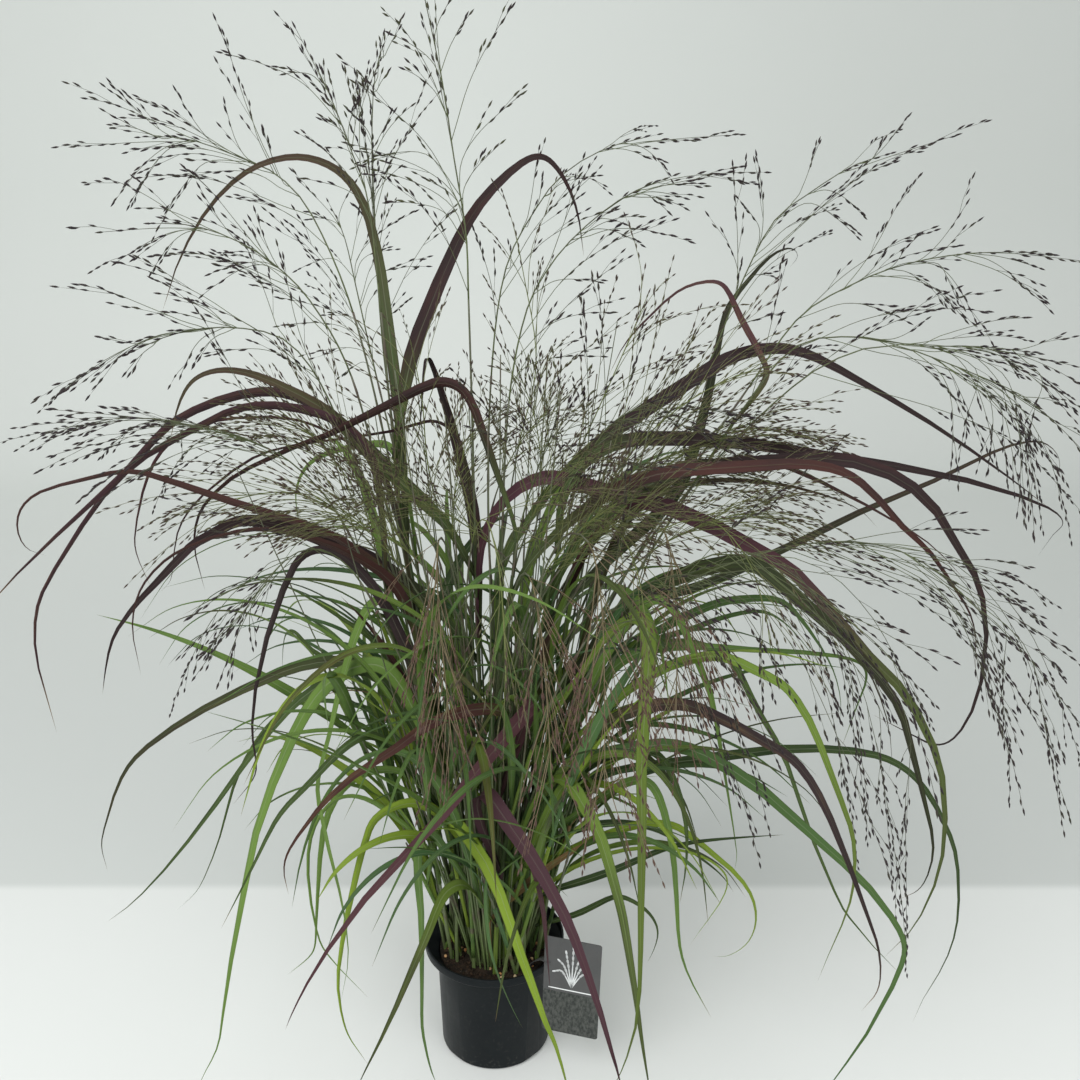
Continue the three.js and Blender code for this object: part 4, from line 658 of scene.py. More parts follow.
@dataclass
class Room:
    """Keeps account of the space that the pieces take, so that each finds a free place."""

    cell: float = 4.0
    pitch: float = 2.3
    reach: float = 3.6
    margin: float = 4.0
    tag_low: Point = (38.0, -72.0, 30.0)
    tag_high: Point = (108.0, -36.0, 152.0)
    filled: dict[Point, list[tuple[float, float, float, int]]] = field(default_factory=dict)

    def samples(self, rings: Sequence[Ring], start: float) -> list[Point]:
        """Returns points all over a piece from the distance start outwards.

        Args:
            rings: The piece's rings.
            start: The distance from its foot.

        Returns:
            The points.
        """
        out = []
        run = 0.0
        for a, b in zip(rings, rings[1:]):
            length = size(sub(b.c, a.c))
            steps = max(1, math.ceil(length / self.pitch))
            for k in range(steps):
                t = (k + 0.5) / steps
                if run + t * length < start:
                    continue
                half = mix(a.half, b.half, t)
                lanes = math.ceil(2 * size(half) / self.pitch)
                middle = mix(a.c, b.c, t)
                for j in range(lanes + 1):
                    out.append(add(middle, mul(half, 2 * j / lanes - 1 if lanes else 0)))
            run += length
        return out

    def claim(self, samples: Iterable[Point], owner: int) -> None:
        """Notes that these points belong to an owner.

        Args:
            samples: The points.
            owner: Their owner.
        """
        near = (-1, 0, 1)
        for p in samples:
            x, y, z = (math.floor(v / self.cell) for v in p)
            mark = (*p, owner)
            for key in ((x + i, y + j, z + k) for i in near for j in near for k in near):
                self.filled.setdefault(key, []).append(mark)

    def crowded(self, samples: Iterable[Point], owner: int, enough: int = 0) -> int:
        """Counts the points that come too near to another owner's, up to enough of them.

        Args:
            samples: The points.
            owner: The owner whose own points are no hindrance.
            enough: The count to stop at, or 0.

        Returns:
            The count.
        """
        count = 0
        for p in samples:
            near_pot = math.hypot(p[0], p[1]) < POT_LIP_R + self.margin
            hit = p[2] < self.margin or (near_pot and p[2] < POT_H + self.margin)
            hit = hit or all(a < v < b for a, v, b in zip(self.tag_low, p, self.tag_high))
            if not hit:
                key = tuple(math.floor(v / self.cell) for v in p)
                for q in self.filled.get(key, ()):
                    d = (p[0] - q[0]) ** 2 + (p[1] - q[1]) ** 2 + (p[2] - q[2]) ** 2
                    if q[3] != owner and d < self.reach * self.reach:
                        hit = True
                        break
            if hit:
                count += 1
                if count == enough:
                    break
        return count

    def settle(self, owner: int, start: float, apart: float,
               tries: Iterable[Callable[[], Growth]]) -> Growth | None:
        """Places a piece by the first try that fits, or the one that fits best.

        Args:
            owner: The piece's owner, whose own pieces it may touch up to the distance apart.
            start: The distance from the foot at which it has to clear the others.
            apart: The distance from the foot at which it should clear its own kind too.
            tries: Functions that each make the piece in another way.

        Returns:
            The piece that was placed, or None where it fits nowhere.
        """
        best = (1000, None)
        for make in tries:
            grown = make()
            clear = self.samples(grown.rings, start)
            if folded(grown.rings) or self.crowded(clear, owner, 1):
                continue
            found = self.crowded(self.samples(grown.rings, apart), -1)
            if found < best[0]:
                best = (found, grown)
            if found == 0:
                break
        if best[1]:
            self.claim(self.samples(best[1].rings, start), owner)
        return best[1]


# ---------------------------------------------------------------- the rules of growth
def stations(start: float, end: float, count: int) -> list[float]:
    """Returns count + 1 even distances."""
    return [start + (end - start) * i / count for i in range(count + 1)]


def blade_width(width: float, f: float) -> float:
    """Returns a blade's width at the share f of its length: it tapers evenly to its tip."""
    rise = 0.42 + 0.58 * smooth(0, 0.28, f)
    return width * rise * max(0.0, min(1.0, (1 - f) / 0.66)) ** 0.95


def blade_frame(line: Line, at: Sequence[float], roll: float,
                twist: float) -> list[tuple[Point, Point]]:
    """Returns the direction across a blade and the one out of its upper face at distances.

    Args:
        line: The blade's line.
        at: The distances along it.
        roll: The turn about the line at the foot, in degrees.
        twist: How much more it is turned at the tip.

    Returns:
        A pair of directions for each distance.
    """
    away = sub(line.point(line.length), line.point(0.0))
    level = unit((away[0] + 1e-6, away[1], 0.0))
    flat = (-level[1], level[0], 0.0)
    out = []
    for s in at:
        go = line.heading(s)
        flat = unit(sub(flat, mul(go, dot(flat, go))))
        a = (roll + twist * s / line.length) * math.pi / 180
        side = add(mul(flat, math.cos(a)), mul(cross(go, flat), math.sin(a)))
        out.append((side, cross(go, side)))
    return out


def grow_blade(line: Line, width: float, roll: float, twist: float, count: int) -> Growth:
    """Returns a blade along a line, with count rings and its tip.

    Args:
        line: The blade's line.
        width: Its greatest width.
        roll: Its turn at the foot, in degrees.
        twist: How much more it is turned at the tip.
        count: The number of rings.

    Returns:
        The blade.
    """
    at = line.bends(count)
    turns = blade_frame(line, at, roll, twist)
    rings = [Ring(line.point(s), mul(side, blade_width(width, s / line.length) / 2))
             for s, (side, _) in zip(at, turns)]
    rings.append(Ring(line.point(line.length)))
    return Growth(rings, line, width, roll, twist)


def arch_line(start: Point, azimuth: float, length: float, rise: float, fall: float,
              curl: float) -> Line:
    """Returns the line of a blade that leaves at an azimuth, rises and arches over.

    Args:
        start: Its foot.
        azimuth: The direction it leaves in, seen from above.
        length: Its length.
        rise: Its slope at the foot, in degrees.
        fall: Its slope at the tip.
        curl: How far it swings round on its way.

    Returns:
        The line.
    """
    points = [start]
    for i in range(6):
        f = (i + 0.5) / 6
        e = (rise - (rise - fall) * f ** 1.25) * math.pi / 180
        a = azimuth + curl * f
        go = (math.cos(e) * math.cos(a), math.cos(e) * math.sin(a), math.sin(e))
        points.append(add(points[-1], mul(go, length / 6)))
    return flow(points)


def arched_blade(seed: int, start: Point, azimuth: float, spread: float, owner: int,
                 room: Room) -> Growth | None:
    """Grows a blade by rule where the room allows.

    Args:
        seed: The seed of its random numbers.
        start: Its foot.
        azimuth: The direction it should leave in.
        spread: How far it may leave from that.
        owner: The owner of its room.
        room: The room that the pieces share.

    Returns:
        The blade, or None where there was no room.
    """
    def attempt(k: int) -> Growth:
        """Returns the blade of one try.

        Args:
            k: The number of the try.

        Returns:
            The piece as grown.
        """
        rnd = mulberry(seed * 100 + k)
        a = azimuth + (rnd() - 0.5) * spread * (1 + k / 6)
        length = 190 + 190 * rnd()
        rise = 62 + 22 * rnd()
        fall = -25 - 50 * rnd()
        width = 6.5 + 3.5 * rnd()
        roll = (rnd() - 0.5) * 60
        line = arch_line(start, a, length, rise, fall, (rnd() - 0.5) * 0.9)
        return grow_blade(line, width, roll, 0.0, 4)

    return room.settle(owner, 5, 45, ((lambda k=k: attempt(k)) for k in range(28)))


def branch_line(rachis: Line, x: float, z: float, seed: int, k: int) -> Line:
    """Returns the line of a panicle branch whose tip is seen at (x, z) of the elevation.

    Args:
        rachis: The panicle's axis.
        x: Where its tip is seen.
        z: The height at which its tip is seen.
        seed: The seed of its random numbers.
        k: The number of the try, from 0.

    Returns:
        The line.
    """
    rnd = mulberry(seed * 50 + k)
    d, s = rachis.nearest(x, z)
    back = 0.7 * d + 16 + 10 * rnd()
    s0 = max(2 + 6 * rnd(), s - back)
    p0 = rachis.point(s0)
    y = p0[1] + (rnd() - 0.5) * (0.8 * d + 14 + 9 * k)
    tip = lift(x, z, y)
    reach = size(sub(tip, p0))
    go = unit(mix(rachis.heading(s0), unit(sub(tip, p0)), 0.3))
    out = add(p0, mul(go, 0.42 * reach))
    a = mix(p0, out, 0.6)
    b = mix(mix(p0, out, 0.8), mix(out, tip, 0.5), 0.5)
    c = mix(mix(out, tip, 0.5), tip, 0.45)
    return flow([p0, a, b, c, tip])


def branch_rings(line: Line) -> list[Ring]:
    """Returns the rings of a branch's stalk and of the spikelet at its end.

    Args:
        line: The branch's line.

    Returns:
        The rings, the last one at its tip.
    """
    first = line.length - 1.1 * SPIKELET_L
    bends = (0.3, 0.65) if first > 160 else (0.45,) if first > 75 else ()
    at = [0.0, *(first * f for f in bends), first]
    return thread(line, at + [first + 0.5 * SPIKELET_L])


# ---------------------------------------------------------------- template meshes
def written(bm: bmesh.types.BMesh, name: str) -> bpy.types.Mesh:
    """Writes a bmesh as a new mesh of this name, and frees it.

    Args:
        bm: The bmesh.
        name: The mesh's name.

    Returns:
        The mesh.
    """
    mesh = bpy.data.meshes.new(name)
    bm.to_mesh(mesh)
    bm.free()
    return mesh


def stand(mesh: bpy.types.Mesh) -> bpy.types.Object:
    """Returns a new object of the mesh's name, at the origin and in the scene.

    Args:
        mesh: The mesh.

    Returns:
        The object.
    """
    obj = bpy.data.objects.new(mesh.name, mesh)
    bpy.context.scene.collection.objects.link(obj)
    return obj


class Repeated:
    """A small template mesh, copied many times into one and then laid out by numbers."""

    def __init__(self, name: str) -> None:
        """Starts with an empty template."""
        self.name = name
        self.blocks: list[bpy.types.Mesh] = []

    def keep(self, bm: bmesh.types.BMesh) -> None:
        """Takes the template's shape from a bmesh and frees it.

        Args:
            bm: The bmesh.
        """
        for face in bm.faces:
            face.smooth = True
        self.blocks = [written(bm, f"{self.name}_template")]

    @property
    def points(self) -> np.ndarray:
        """Reads the template's own vertices.

        Returns:
            Their places, a row a vertex.
        """
        flat = np.empty(len(self.blocks[0].vertices) * 3)
        self.blocks[0].vertices.foreach_get("co", flat)
        return flat.reshape(-1, 3)

    def append_to(self, bm: bmesh.types.BMesh, count: int) -> int:
        """Adds count copies to a bmesh.

        Args:
            bm: The bmesh that takes the copies.
            count: How many.

        Returns:
            The number of faces added.
        """
        power = 0
        while count >> power:
            if power == len(self.blocks):
                double = bmesh.new()
                double.from_mesh(self.blocks[-1])
                double.from_mesh(self.blocks[-1])
                self.blocks.append(written(double, f"{self.name}_{power}"))
            if count >> power & 1:
                bm.from_mesh(self.blocks[power])
            power += 1
        return count * len(self.blocks[0].polygons)

    def clear(self) -> None:
        """Removes the template's meshes."""
        for mesh in self.blocks:
            bpy.data.meshes.remove(mesh)
        self.blocks = []


class Stock(Repeated):
    """A closed tube of one section that is laid along lines, ring by ring."""

    def __init__(self, name: str, sides: int, rings: int, pointed: tuple[bool, bool],
                 section: tuple[Point, ...] | None = None) -> None:
        """Builds the template.

        Args:
            name: The stock's name.
            sides: The number of sides.
            rings: The number of rings from end to end.
            pointed: Whether the foot and the tip are drawn to a point.
            section: Shares of the side, up and fold vectors of each corner, or None if round.
        """
        super().__init__(name)
        self.rings = rings
        bm = bmesh.new()
        bmesh.ops.create_cone(bm, cap_ends=True, cap_tris=False, segments=sides, radius1=1,
                              radius2=1, depth=1)
        upright = [e for e in bm.edges if abs(e.verts[0].co.z - e.verts[1].co.z) > 0.5]
        bmesh.ops.subdivide_edges(bm, edges=upright, cuts=rings - 2)
        for want, end in zip(pointed, (-0.5, 0.5)):
            if want:
                rim = [v for v in bm.verts if abs(v.co.z - end) < 0.01]
                bmesh.ops.pointmerge(bm, verts=rim, merge_co=(0, 0, end))
        if section:
            for edge in bm.edges:
                corners = {self._corner(v.co, sides) for v in edge.verts if v.co.xy.length > 0.5}
                edge.smooth = corners not in ({0}, {sides // 2})
        self.keep(bm)
        co = self.points
        self.ring = np.rint((co[:, 2] + 0.5) * (rings - 1)).astype(int)
        self.share = np.column_stack([co[:, :2], np.zeros(len(co))])
        if section:
            for i, p in enumerate(co):
                if math.hypot(p[0], p[1]) > 0.5:
                    self.share[i] = section[self._corner(p, sides)]

    @staticmethod
    def _corner(p: Sequence[float], sides: int) -> int:
        """Returns which corner of the section a template vertex is."""
        return round(math.atan2(p[1], p[0]) / (2 * math.pi / sides)) % sides


@dataclass
class Lay:
    """Where tubes of one stock lie: arrays of tube, ring and then x, y, z or the four tones."""

    centre: np.ndarray
    side: np.ndarray
    up: np.ndarray
    fold: np.ndarray
    along: np.ndarray
    tone: np.ndarray
    seed: np.ndarray

    @classmethod
    def single(cls, *parts: np.ndarray, seed: float) -> "Lay":
        """Returns the lay of one tube, from its arrays in the order of the fields."""
        return cls(*(part[None] for part in parts), np.array([seed]))


def unit_rows(v: np.ndarray) -> np.ndarray:
    """Returns vectors at length one, along the last axis."""
    return v / np.maximum(np.linalg.norm(v, axis=-1, keepdims=True), 1e-9)


def lay_tube(centre: np.ndarray, radius: np.ndarray, tone: np.ndarray, seed: float) -> Lay:
    """Returns a round tube's lay.

    Args:
        centre: The middle of each ring.
        radius: The radius at each.
        tone: The four tones at each.
        seed: A number of its own for the finish.

    Returns:
        The lay of the one tube.
    """
    go = unit_rows(np.gradient(centre, axis=0))
    axis = np.eye(3)[int(np.argmin(np.abs(go).max(axis=0)))]
    side = unit_rows(np.cross(go, axis))
    up = np.cross(go, side)
    r = radius[:, None]
    return Lay.single(centre, side * r, up * r, np.zeros_like(centre),
                      np.linspace(0, 1, len(centre)), tone, seed=seed)


def lay_strip(centre: np.ndarray, side: np.ndarray, up: np.ndarray) -> Lay:
    """Returns a flat strip's lay, from each ring's middle, half width and half thickness.

    Args:
        centre: The middle of each ring.
        side: Half its width.
        up: Half its thickness.

    Returns:
        The lay of the one strip.
    """
    count = len(centre)
    return Lay.single(centre, side, up, np.zeros_like(centre), np.linspace(0, 1, count),
                      np.zeros((count, 4)), seed=0.5)


class Bundle:
    """The tubes and blades of one piece, gathered by stock and written as one mesh."""

    def __init__(self) -> None:
        """Starts empty."""
        self.lays: dict[Stock, list[Lay]] = {}

    def lay(self, stock: Stock, lay: Lay) -> None:
        """Adds tubes of a stock."""
        self.lays.setdefault(stock, []).append(lay)

    def make(self, name: str, finishes: dict[Stock, bpy.types.Material]) -> bpy.types.Object:
        """Writes the piece.

        Args:
            name: The piece's name.
            finishes: The material of each stock.

        Returns:
            The piece's object.
        """
        bm = bmesh.new()
        materials: list[bpy.types.Material] = []
        spots, marks, tones, slots = [], [], [], []
        for stock, lays in self.lays.items():
            count = sum(len(lay.centre) for lay in lays)
            faces = stock.append_to(bm, count)
            if finishes[stock] not in materials:
                materials.append(finishes[stock])
            slots.append(np.full(faces, materials.index(finishes[stock])))
            c, s, u, f, along, tone, seed = (
                np.concatenate([getattr(lay, part) for lay in lays])
                for part in ("centre", "side", "up", "fold", "along", "tone", "seed"))
            k, share = stock.ring, stock.share
            spots.append((c[:, k] + s[:, k] * share[:, :1] + u[:, k] * share[:, 1:2]
                          + f[:, k] * share[:, 2:]).reshape(-1, 3))
            mark = np.empty((count, len(k), 3))
            mark[..., 0] = share[:, 0]
            mark[..., 1] = along[:, k]
            mark[..., 2] = seed[:, None]
            marks.append(mark.reshape(-1, 3))
            tones.append(tone[:, k].reshape(-1, 4))
        mesh = written(bm, name)
        mesh.vertices.foreach_set("co", (np.concatenate(spots) * MM).ravel())
        mesh.polygons.foreach_set("material_index", np.concatenate(slots).astype(np.int32))
        at = mesh.attributes.new("leaf_at", "FLOAT_VECTOR", "POINT")
        at.data.foreach_set("vector", np.concatenate(marks).ravel())
        tone = mesh.attributes.new("leaf_tone", "FLOAT_COLOR", "POINT")
        tone.data.foreach_set("color", np.concatenate(tones).ravel())
        for finish in materials:
            mesh.materials.append(finish)
        mesh.update()
        return stand(mesh)


class Stocks:
    """The templates that every leafy piece is laid from."""

    def __init__(self) -> None:
        """Builds the templates, each from its corners' shares of the side, up and fold."""
        keeled = ((1, 0, 1), (0.52, 1, 0.36), (0, 0.55, 0), (-0.52, 1, 0.36), (-1, 0, 1),
                  (-0.5, -1, 0.36), (0, -2.1, 0), (0.5, -1, 0.36))
        flat = ((1, 0, 0), (0.97, 1, 0), (0, 1, 0), (-0.97, 1, 0), (-1, 0, 0), (-0.97, -1, 0),
                (0, -1, 0), (0.97, -1, 0))
        self.blade = Stock("blade", 8, BLADE_RINGS, (False, True), keeled)
        self.culm = Stock("culm", 8, CULM_RINGS, (False, False))
        self.sheath = Stock("sheath", 8, SHEATH_RINGS, (False, False))
        self.stalk = Stock("stalk", 4, STALK_RINGS, (False, True))
        self.twig = Stock("twig", 3, TWIG_RINGS, (False, True))
        self.spikelet = Stock("spikelet", 4, SPIKELET_RINGS, (True, True))
        self.strip = Stock("strip", 8, STRIP_RINGS, (False, False), flat)

    def clear(self) -> None:
        """Removes the templates."""
        for stock in vars(self).values():
            stock.clear()


# ---------------------------------------------------------------- finishes
Colour = tuple[float, float, float]


class Wire:
    """A node's output, which can be summed, multiplied and stepped by nodes of its own graph."""

    def __init__(self, graph: "Graph", socket: bpy.types.NodeSocket) -> None:
        """Takes the output and the graph that it is in."""
        self.graph, self.socket = graph, socket

    def __add__(self, other: "Value") -> "Wire":
        """Returns the sum."""
        return self.graph.math("ADD", self, other)

    def __sub__(self, other: "Value") -> "Wire":
        """Returns the difference."""
        return self.graph.math("SUBTRACT", self, other)

    def __rsub__(self, other: float) -> "Wire":
        """Returns a number less this value."""
        return self.graph.math("SUBTRACT", other, self)

    def __mul__(self, other: "Value") -> "Wire":
        """Returns the product."""
        return self.graph.math("MULTIPLY", self, other)

    def __abs__(self) -> "Wire":
        """Returns the value without its sign."""
        return self.graph.math("ABSOLUTE", self)

    def held(self, factor: float = 1.0) -> "Wire":
        """Returns the value times a factor, held between 0 and 1."""
        return self.graph.math("MULTIPLY", self, factor, True)

    def step(self, low: float, high: float) -> "Wire":
        """Returns a soft step from 0 at low to 1 at high."""
        return self.graph.wire("ShaderNodeMapRange", {0: self, 1: low, 2: high},
                               interpolation_type="SMOOTHSTEP")


Value = Wire | float | tuple


class Graph:
    """Adds nodes to one node tree and joins them."""

    def __init__(self, tree: bpy.types.NodeTree) -> None:
        """Takes the tree."""
        self.tree = tree

    def put(self, node: bpy.types.Node, socket: str | int, value: Value) -> None:
        """Feeds an input of a node.

        Args:
            node: The node.
            socket: The input's name or number.
            value: The wire to link to it, or its constant value.
        """
        entry = node.inputs[socket]
        if isinstance(value, Wire):
            self.tree.links.new(value.socket, entry)
        elif isinstance(value, tuple) and entry.type == "RGBA":
            entry.default_value = (*value, 1.0)
        else:
            entry.default_value = value

    def node(self, kind: str, feeds: dict[str | int, Value] | None = None,
             **settings: object) -> bpy.types.Node:
        """Adds a node.

        Args:
            kind: The node's type.
            feeds: What goes into its inputs.
            settings: Its own settings.

        Returns:
            The node.
        """
        made = self.tree.nodes.new(kind)
        for name, value in settings.items():
            setattr(made, name, value)
        for socket, value in (feeds or {}).items():
            self.put(made, socket, value)
        return made

    def wire(self, kind: str, feeds: dict[str | int, Value], output: str | int = 0,
             **settings: object) -> Wire:
        """Adds a node as node does, and returns one of its outputs."""
        return Wire(self, self.node(kind, feeds, **settings).outputs[output])

    def math(self, operation: str, a: Value, b: Value = 0.0, clamp: bool = False) -> Wire:
        """Returns the result of a Math node."""
        return self.wire("ShaderNodeMath", {0: a, 1: b}, operation=operation, use_clamp=clamp)

    def mix(self, factor: Value, a: Value, b: Value) -> Wire:
        """Returns two colours mixed."""
        return self.wire("ShaderNodeMix", {0: factor, 6: a, 7: b}, 2, data_type="RGBA")

    def noise(self, vector: Value, scale: Value, detail: float = 3.0) -> Wire:
        """Returns a noise from 0 to 1."""
        return self.wire("ShaderNodeTexNoise",
                         {"Vector": vector, "Scale": scale, "Detail": detail}, "Fac")

    def join(self, x: Value, y: Value, z: Value) -> Wire:
        """Returns a vector of three values."""
        return self.wire("ShaderNodeCombineXYZ", {0: x, 1: y, 2: z})

    def split(self, vector: Value) -> tuple[Wire, ...]:
        """Returns a vector's three values."""
        return tuple(Wire(self, s) for s in self.node("ShaderNodeSeparateXYZ", {0: vector}).outputs)

    def place(self) -> Wire:
        """Returns the Object coordinates."""
        return self.wire("ShaderNodeTexCoord", {}, "Object")

    def attribute(self, name: str, output: str = "Vector") -> Wire:
        """Returns what an attribute holds."""
        return self.wire("ShaderNodeAttribute", {}, output, attribute_name=name)

    def group(self, tree: bpy.types.NodeTree, **feeds: Value) -> tuple[Wire, ...]:
        """Returns the outputs of a node group that is fed so."""
        return tuple(Wire(self, s) for s in self.node("ShaderNodeGroup", feeds, node_tree=tree).outputs)


class Effect(Graph):
    """A shader node group that more than one finish uses."""

    def __init__(self, name: str, inputs: dict[str, str], outputs: dict[str, str]) -> None:
        """Makes the group's tree and sockets.

        Args:
            name: The group's name.
            inputs: The kind of each input: Float, Vector or Color.
            outputs: The kind of each output.
        """
        super().__init__(bpy.data.node_groups.new(name, "ShaderNodeTree"))
        for way, sockets in (("INPUT", inputs), ("OUTPUT", outputs)):
            for socket, kind in sockets.items():
                self.tree.interface.new_socket(name=socket, in_out=way,
                                               socket_type=f"NodeSocket{kind}")
        self.given = [Wire(self, s) for s in self.node("NodeGroupInput").outputs[:len(inputs)]]

    def give(self, *values: Wire) -> bpy.types.NodeTree:
        """Links the outputs in their order and returns the group."""
        self.node("NodeGroupOutput", dict(enumerate(values)))
        return self.tree


def mottle_effect() -> bpy.types.NodeTree:
    """Varies a colour by soft patches and fine specks.

    Returns:
        The node group.
    """
    g = Effect("mottle", {"Place": "Vector", "Base": "Color", "Spot": "Color", "Scale": "Float",
                          "Amount": "Float"}, {"Colour": "Color", "Height": "Float"})
    place, base, spot, scale, amount = g.given
    height = g.noise(place, scale, 4.0) * 0.65 + g.noise(place, scale * 7.0, 2.0) * 0.35
    return g.give(g.mix(height.step(0.36, 0.64) * amount, base, spot), height)


def blade_effect() -> bpy.types.NodeTree:
    """Colours a grass blade along and across it, with its veins.

    Returns:
        The node group.
    """
    g = Effect("blade_surface",
               {"At": "Vector", "Tone": "Color", "Pink": "Float", "Green": "Color",
                "Deep": "Color", "Lime": "Color", "Teal": "Color", "Wine": "Color",
                "Rust": "Color", "Rose": "Color", "Straw": "Color"},
               {"Colour": "Color", "Gloss": "Float", "Height": "Float"})
    at, tone, pink, green, deep, lime_green, teal, wine_red, rust, rose, straw = g.given
    across, along, seed = g.split(at)
    wine, lime, dry = g.split(tone)
    off = seed * 53.0
    broad = g.noise(g.join(across * 0.5, along * 7.0, off), 1.6)
    streak = g.noise(g.join(across * 5.0, along * 3.0, off), 1.8)
    shade = broad * 0.7 + g.math("FRACT", seed * 7.31) * 0.6
    colour = g.mix(shade.step(0.35, 0.95), deep, green)
    # Lime: partly the blade's own yellow green and partly painted light shining through the blade.
    colour = g.mix(lime.held(), colour, lime_green)
    colour = g.mix(lime.held(-1.0), colour, teal)
    rusty = broad * 0.6 + g.math("FRACT", seed * 13.7) * 0.7
    red = g.mix(rusty.step(0.5, 0.95), wine_red, rust)
    # The pink mixes in the paler rose colour: partly the blade's own pink tint and partly painted
    # sheen.
    red = g.mix((pink + (streak - 0.5) * 0.7).held(), red, rose)
    colour = g.mix((wine + (streak - 0.5) * 0.55).step(0.12, 0.72), colour, red)
    colour = g.mix(abs(across).step(0.78, 1.0) * 0.35, colour, red)
    colour = g.mix((dry + (broad - 0.5) * 0.8).step(0.25, 0.9), colour, straw)
    veins = (g.math("SINE", across * 42.0) + 1.0) * 0.5
    colour = g.mix(veins * 0.2, colour, (0.02, 0.025, 0.012))
    rib = 1.0 - abs(across).step(0.02, 0.13)
    pale = rib * (0.42 - along * 0.3) * (1.0 - wine * 0.75)
    return g.give(g.mix(pale, colour, (0.27, 0.3, 0.2)), streak * 0.3 + 0.42, veins * 0.5 - rib)


class Coat(Graph):
    """The graph of a new material, with the shader that it feeds."""

    def __init__(self, name: str) -> None:
        """Makes the material.

        Args:
            name: The material's name.
        """
        self.material = bpy.data.materials.new(name)
        self.material.use_nodes = True
        super().__init__(self.material.node_tree)
        self.shader = self.tree.nodes["Principled BSDF"]

    def feed(self, **feeds: Value) -> None:
        """Feeds the shader's inputs, whose names have _ for a space."""
        for name, value in feeds.items():
            self.put(self.shader, name.replace("_", " "), value)


@dataclass(frozen=True)
class Finish:
    """What every finish has: a name, the height of its bumps and its specular level."""

    name: str
    bump: float = 0.0003
    specular: float = 0.5

    def done(self, g: Coat, colour: Value, gloss: Value, height: Value,
             strength: float = 1.0) -> bpy.types.Material:
        """Feeds the shader.

        Args:
            g: The material's graph.
            colour: The base colour.
            gloss: The roughness.
            height: The height of the bumps.
            strength: How strongly they show.

        Returns:
            The finished material.
        """
        normal = g.wire("ShaderNodeBump", {"Distance": self.bump, "Strength": strength,
                                           "Height": height})
        g.feed(Base_Color=colour, Roughness=gloss, Normal=normal,
               Specular_IOR_Level=self.specular)
        return g.material


@dataclass(frozen=True)
class BladeFinish(Finish):
    """A living grass blade: green at its foot, wine red outwards, with veins and a pale rib."""

    green: Colour = (0.125, 0.215, 0.04)
    deep: Colour = (0.06, 0.12, 0.032)
    # The lime colour is partly the blade's own yellow green and partly painted light shining through
    # it.
    lime: Colour = (0.19, 0.28, 0.03)
    teal: Colour = (0.05, 0.12, 0.052)
    wine: Colour = (0.019, 0.012, 0.0125)
    rust: Colour = (0.05, 0.018, 0.014)
    # The rose colour is partly the blade's own pink tint and partly painted sheen.
    rose: Colour = (0.085, 0.034, 0.048)
    straw: Colour = (0.2, 0.12, 0.05)

    def material(self, surface: bpy.types.NodeTree) -> bpy.types.Material:
        """Builds the material around the blade's surface group.

        Args:
            surface: The blade's surface group.

        Returns:
            The material.
        """
        g = Coat(self.name)
        return self.done(g, *g.group(
            surface, At=g.attribute("leaf_at"), Tone=g.attribute("leaf_tone", "Color"),
            Pink=g.attribute("leaf_tone", "Alpha"), Green=self.green, Deep=self.deep,
            Lime=self.lime, Teal=self.teal, Wine=self.wine, Rust=self.rust, Rose=self.rose,
            Straw=self.straw), 0.7)


@dataclass(frozen=True)
class StalkFinish(Finish):
    """Culms and branches: pale green low down, purple brown at the joints and further out."""

    fresh: Colour = (0.12, 0.185, 0.05)
    aged: Colour = (0.06, 0.05, 0.042)
    joint: Colour = (0.06, 0.03, 0.025)

    def material(self, mottle: bpy.types.NodeTree) -> bpy.types.Material:
        """Builds the material with the mottle group.

        Args:
            mottle: The mottle group.

        Returns:
            The material.
        """
        g = Coat(self.name)
        wine, _, dry = g.split(g.attribute("leaf_tone", "Color"))
        colour = g.mix(dry.held(), g.mix(wine.held(), self.fresh, self.aged), self.joint)
        colour, height = g.group(mottle, Place=g.place(), Base=colour, Spot=self.aged, Scale=90.0,
                                 Amount=0.45)
        return self.done(g, colour, height * 0.3 + 0.4, height, 0.4)


@dataclass(frozen=True)
class SpikeletFinish(Finish):
    """Grass spikelets: near black purple scales with greener and straw ones, ribbed lengthwise."""

    dark: Colour = (0.018, 0.012, 0.017)
    green: Colour = (0.09, 0.11, 0.035)
    straw: Colour = (0.12, 0.09, 0.055)

    def material(self, mottle: bpy.types.NodeTree) -> bpy.types.Material:
        """Builds the material with the mottle group.

        Args:
            mottle: The mottle group.

        Returns:
            The material.
        """
        g = Coat(self.name)
        across, along, _ = g.split(g.attribute("leaf_at"))
        lime = g.split(g.attribute("leaf_tone", "Color"))[1]
        colour = g.mix(lime.held(), self.dark, self.green)
        colour = g.mix(along.step(0.8, 1.0) * 0.4, colour, self.straw)
        colour = g.mix((1.0 - along.step(0.05, 0.3)) * 0.7, colour, self.green)
        colour, height = g.group(mottle, Place=g.place(), Base=colour, Spot=self.straw,
                                 Scale=160.0, Amount=0.18)
        return self.done(g, colour, height * 0.25 + 0.45, g.math("SINE", across * 14.0), 0.5)


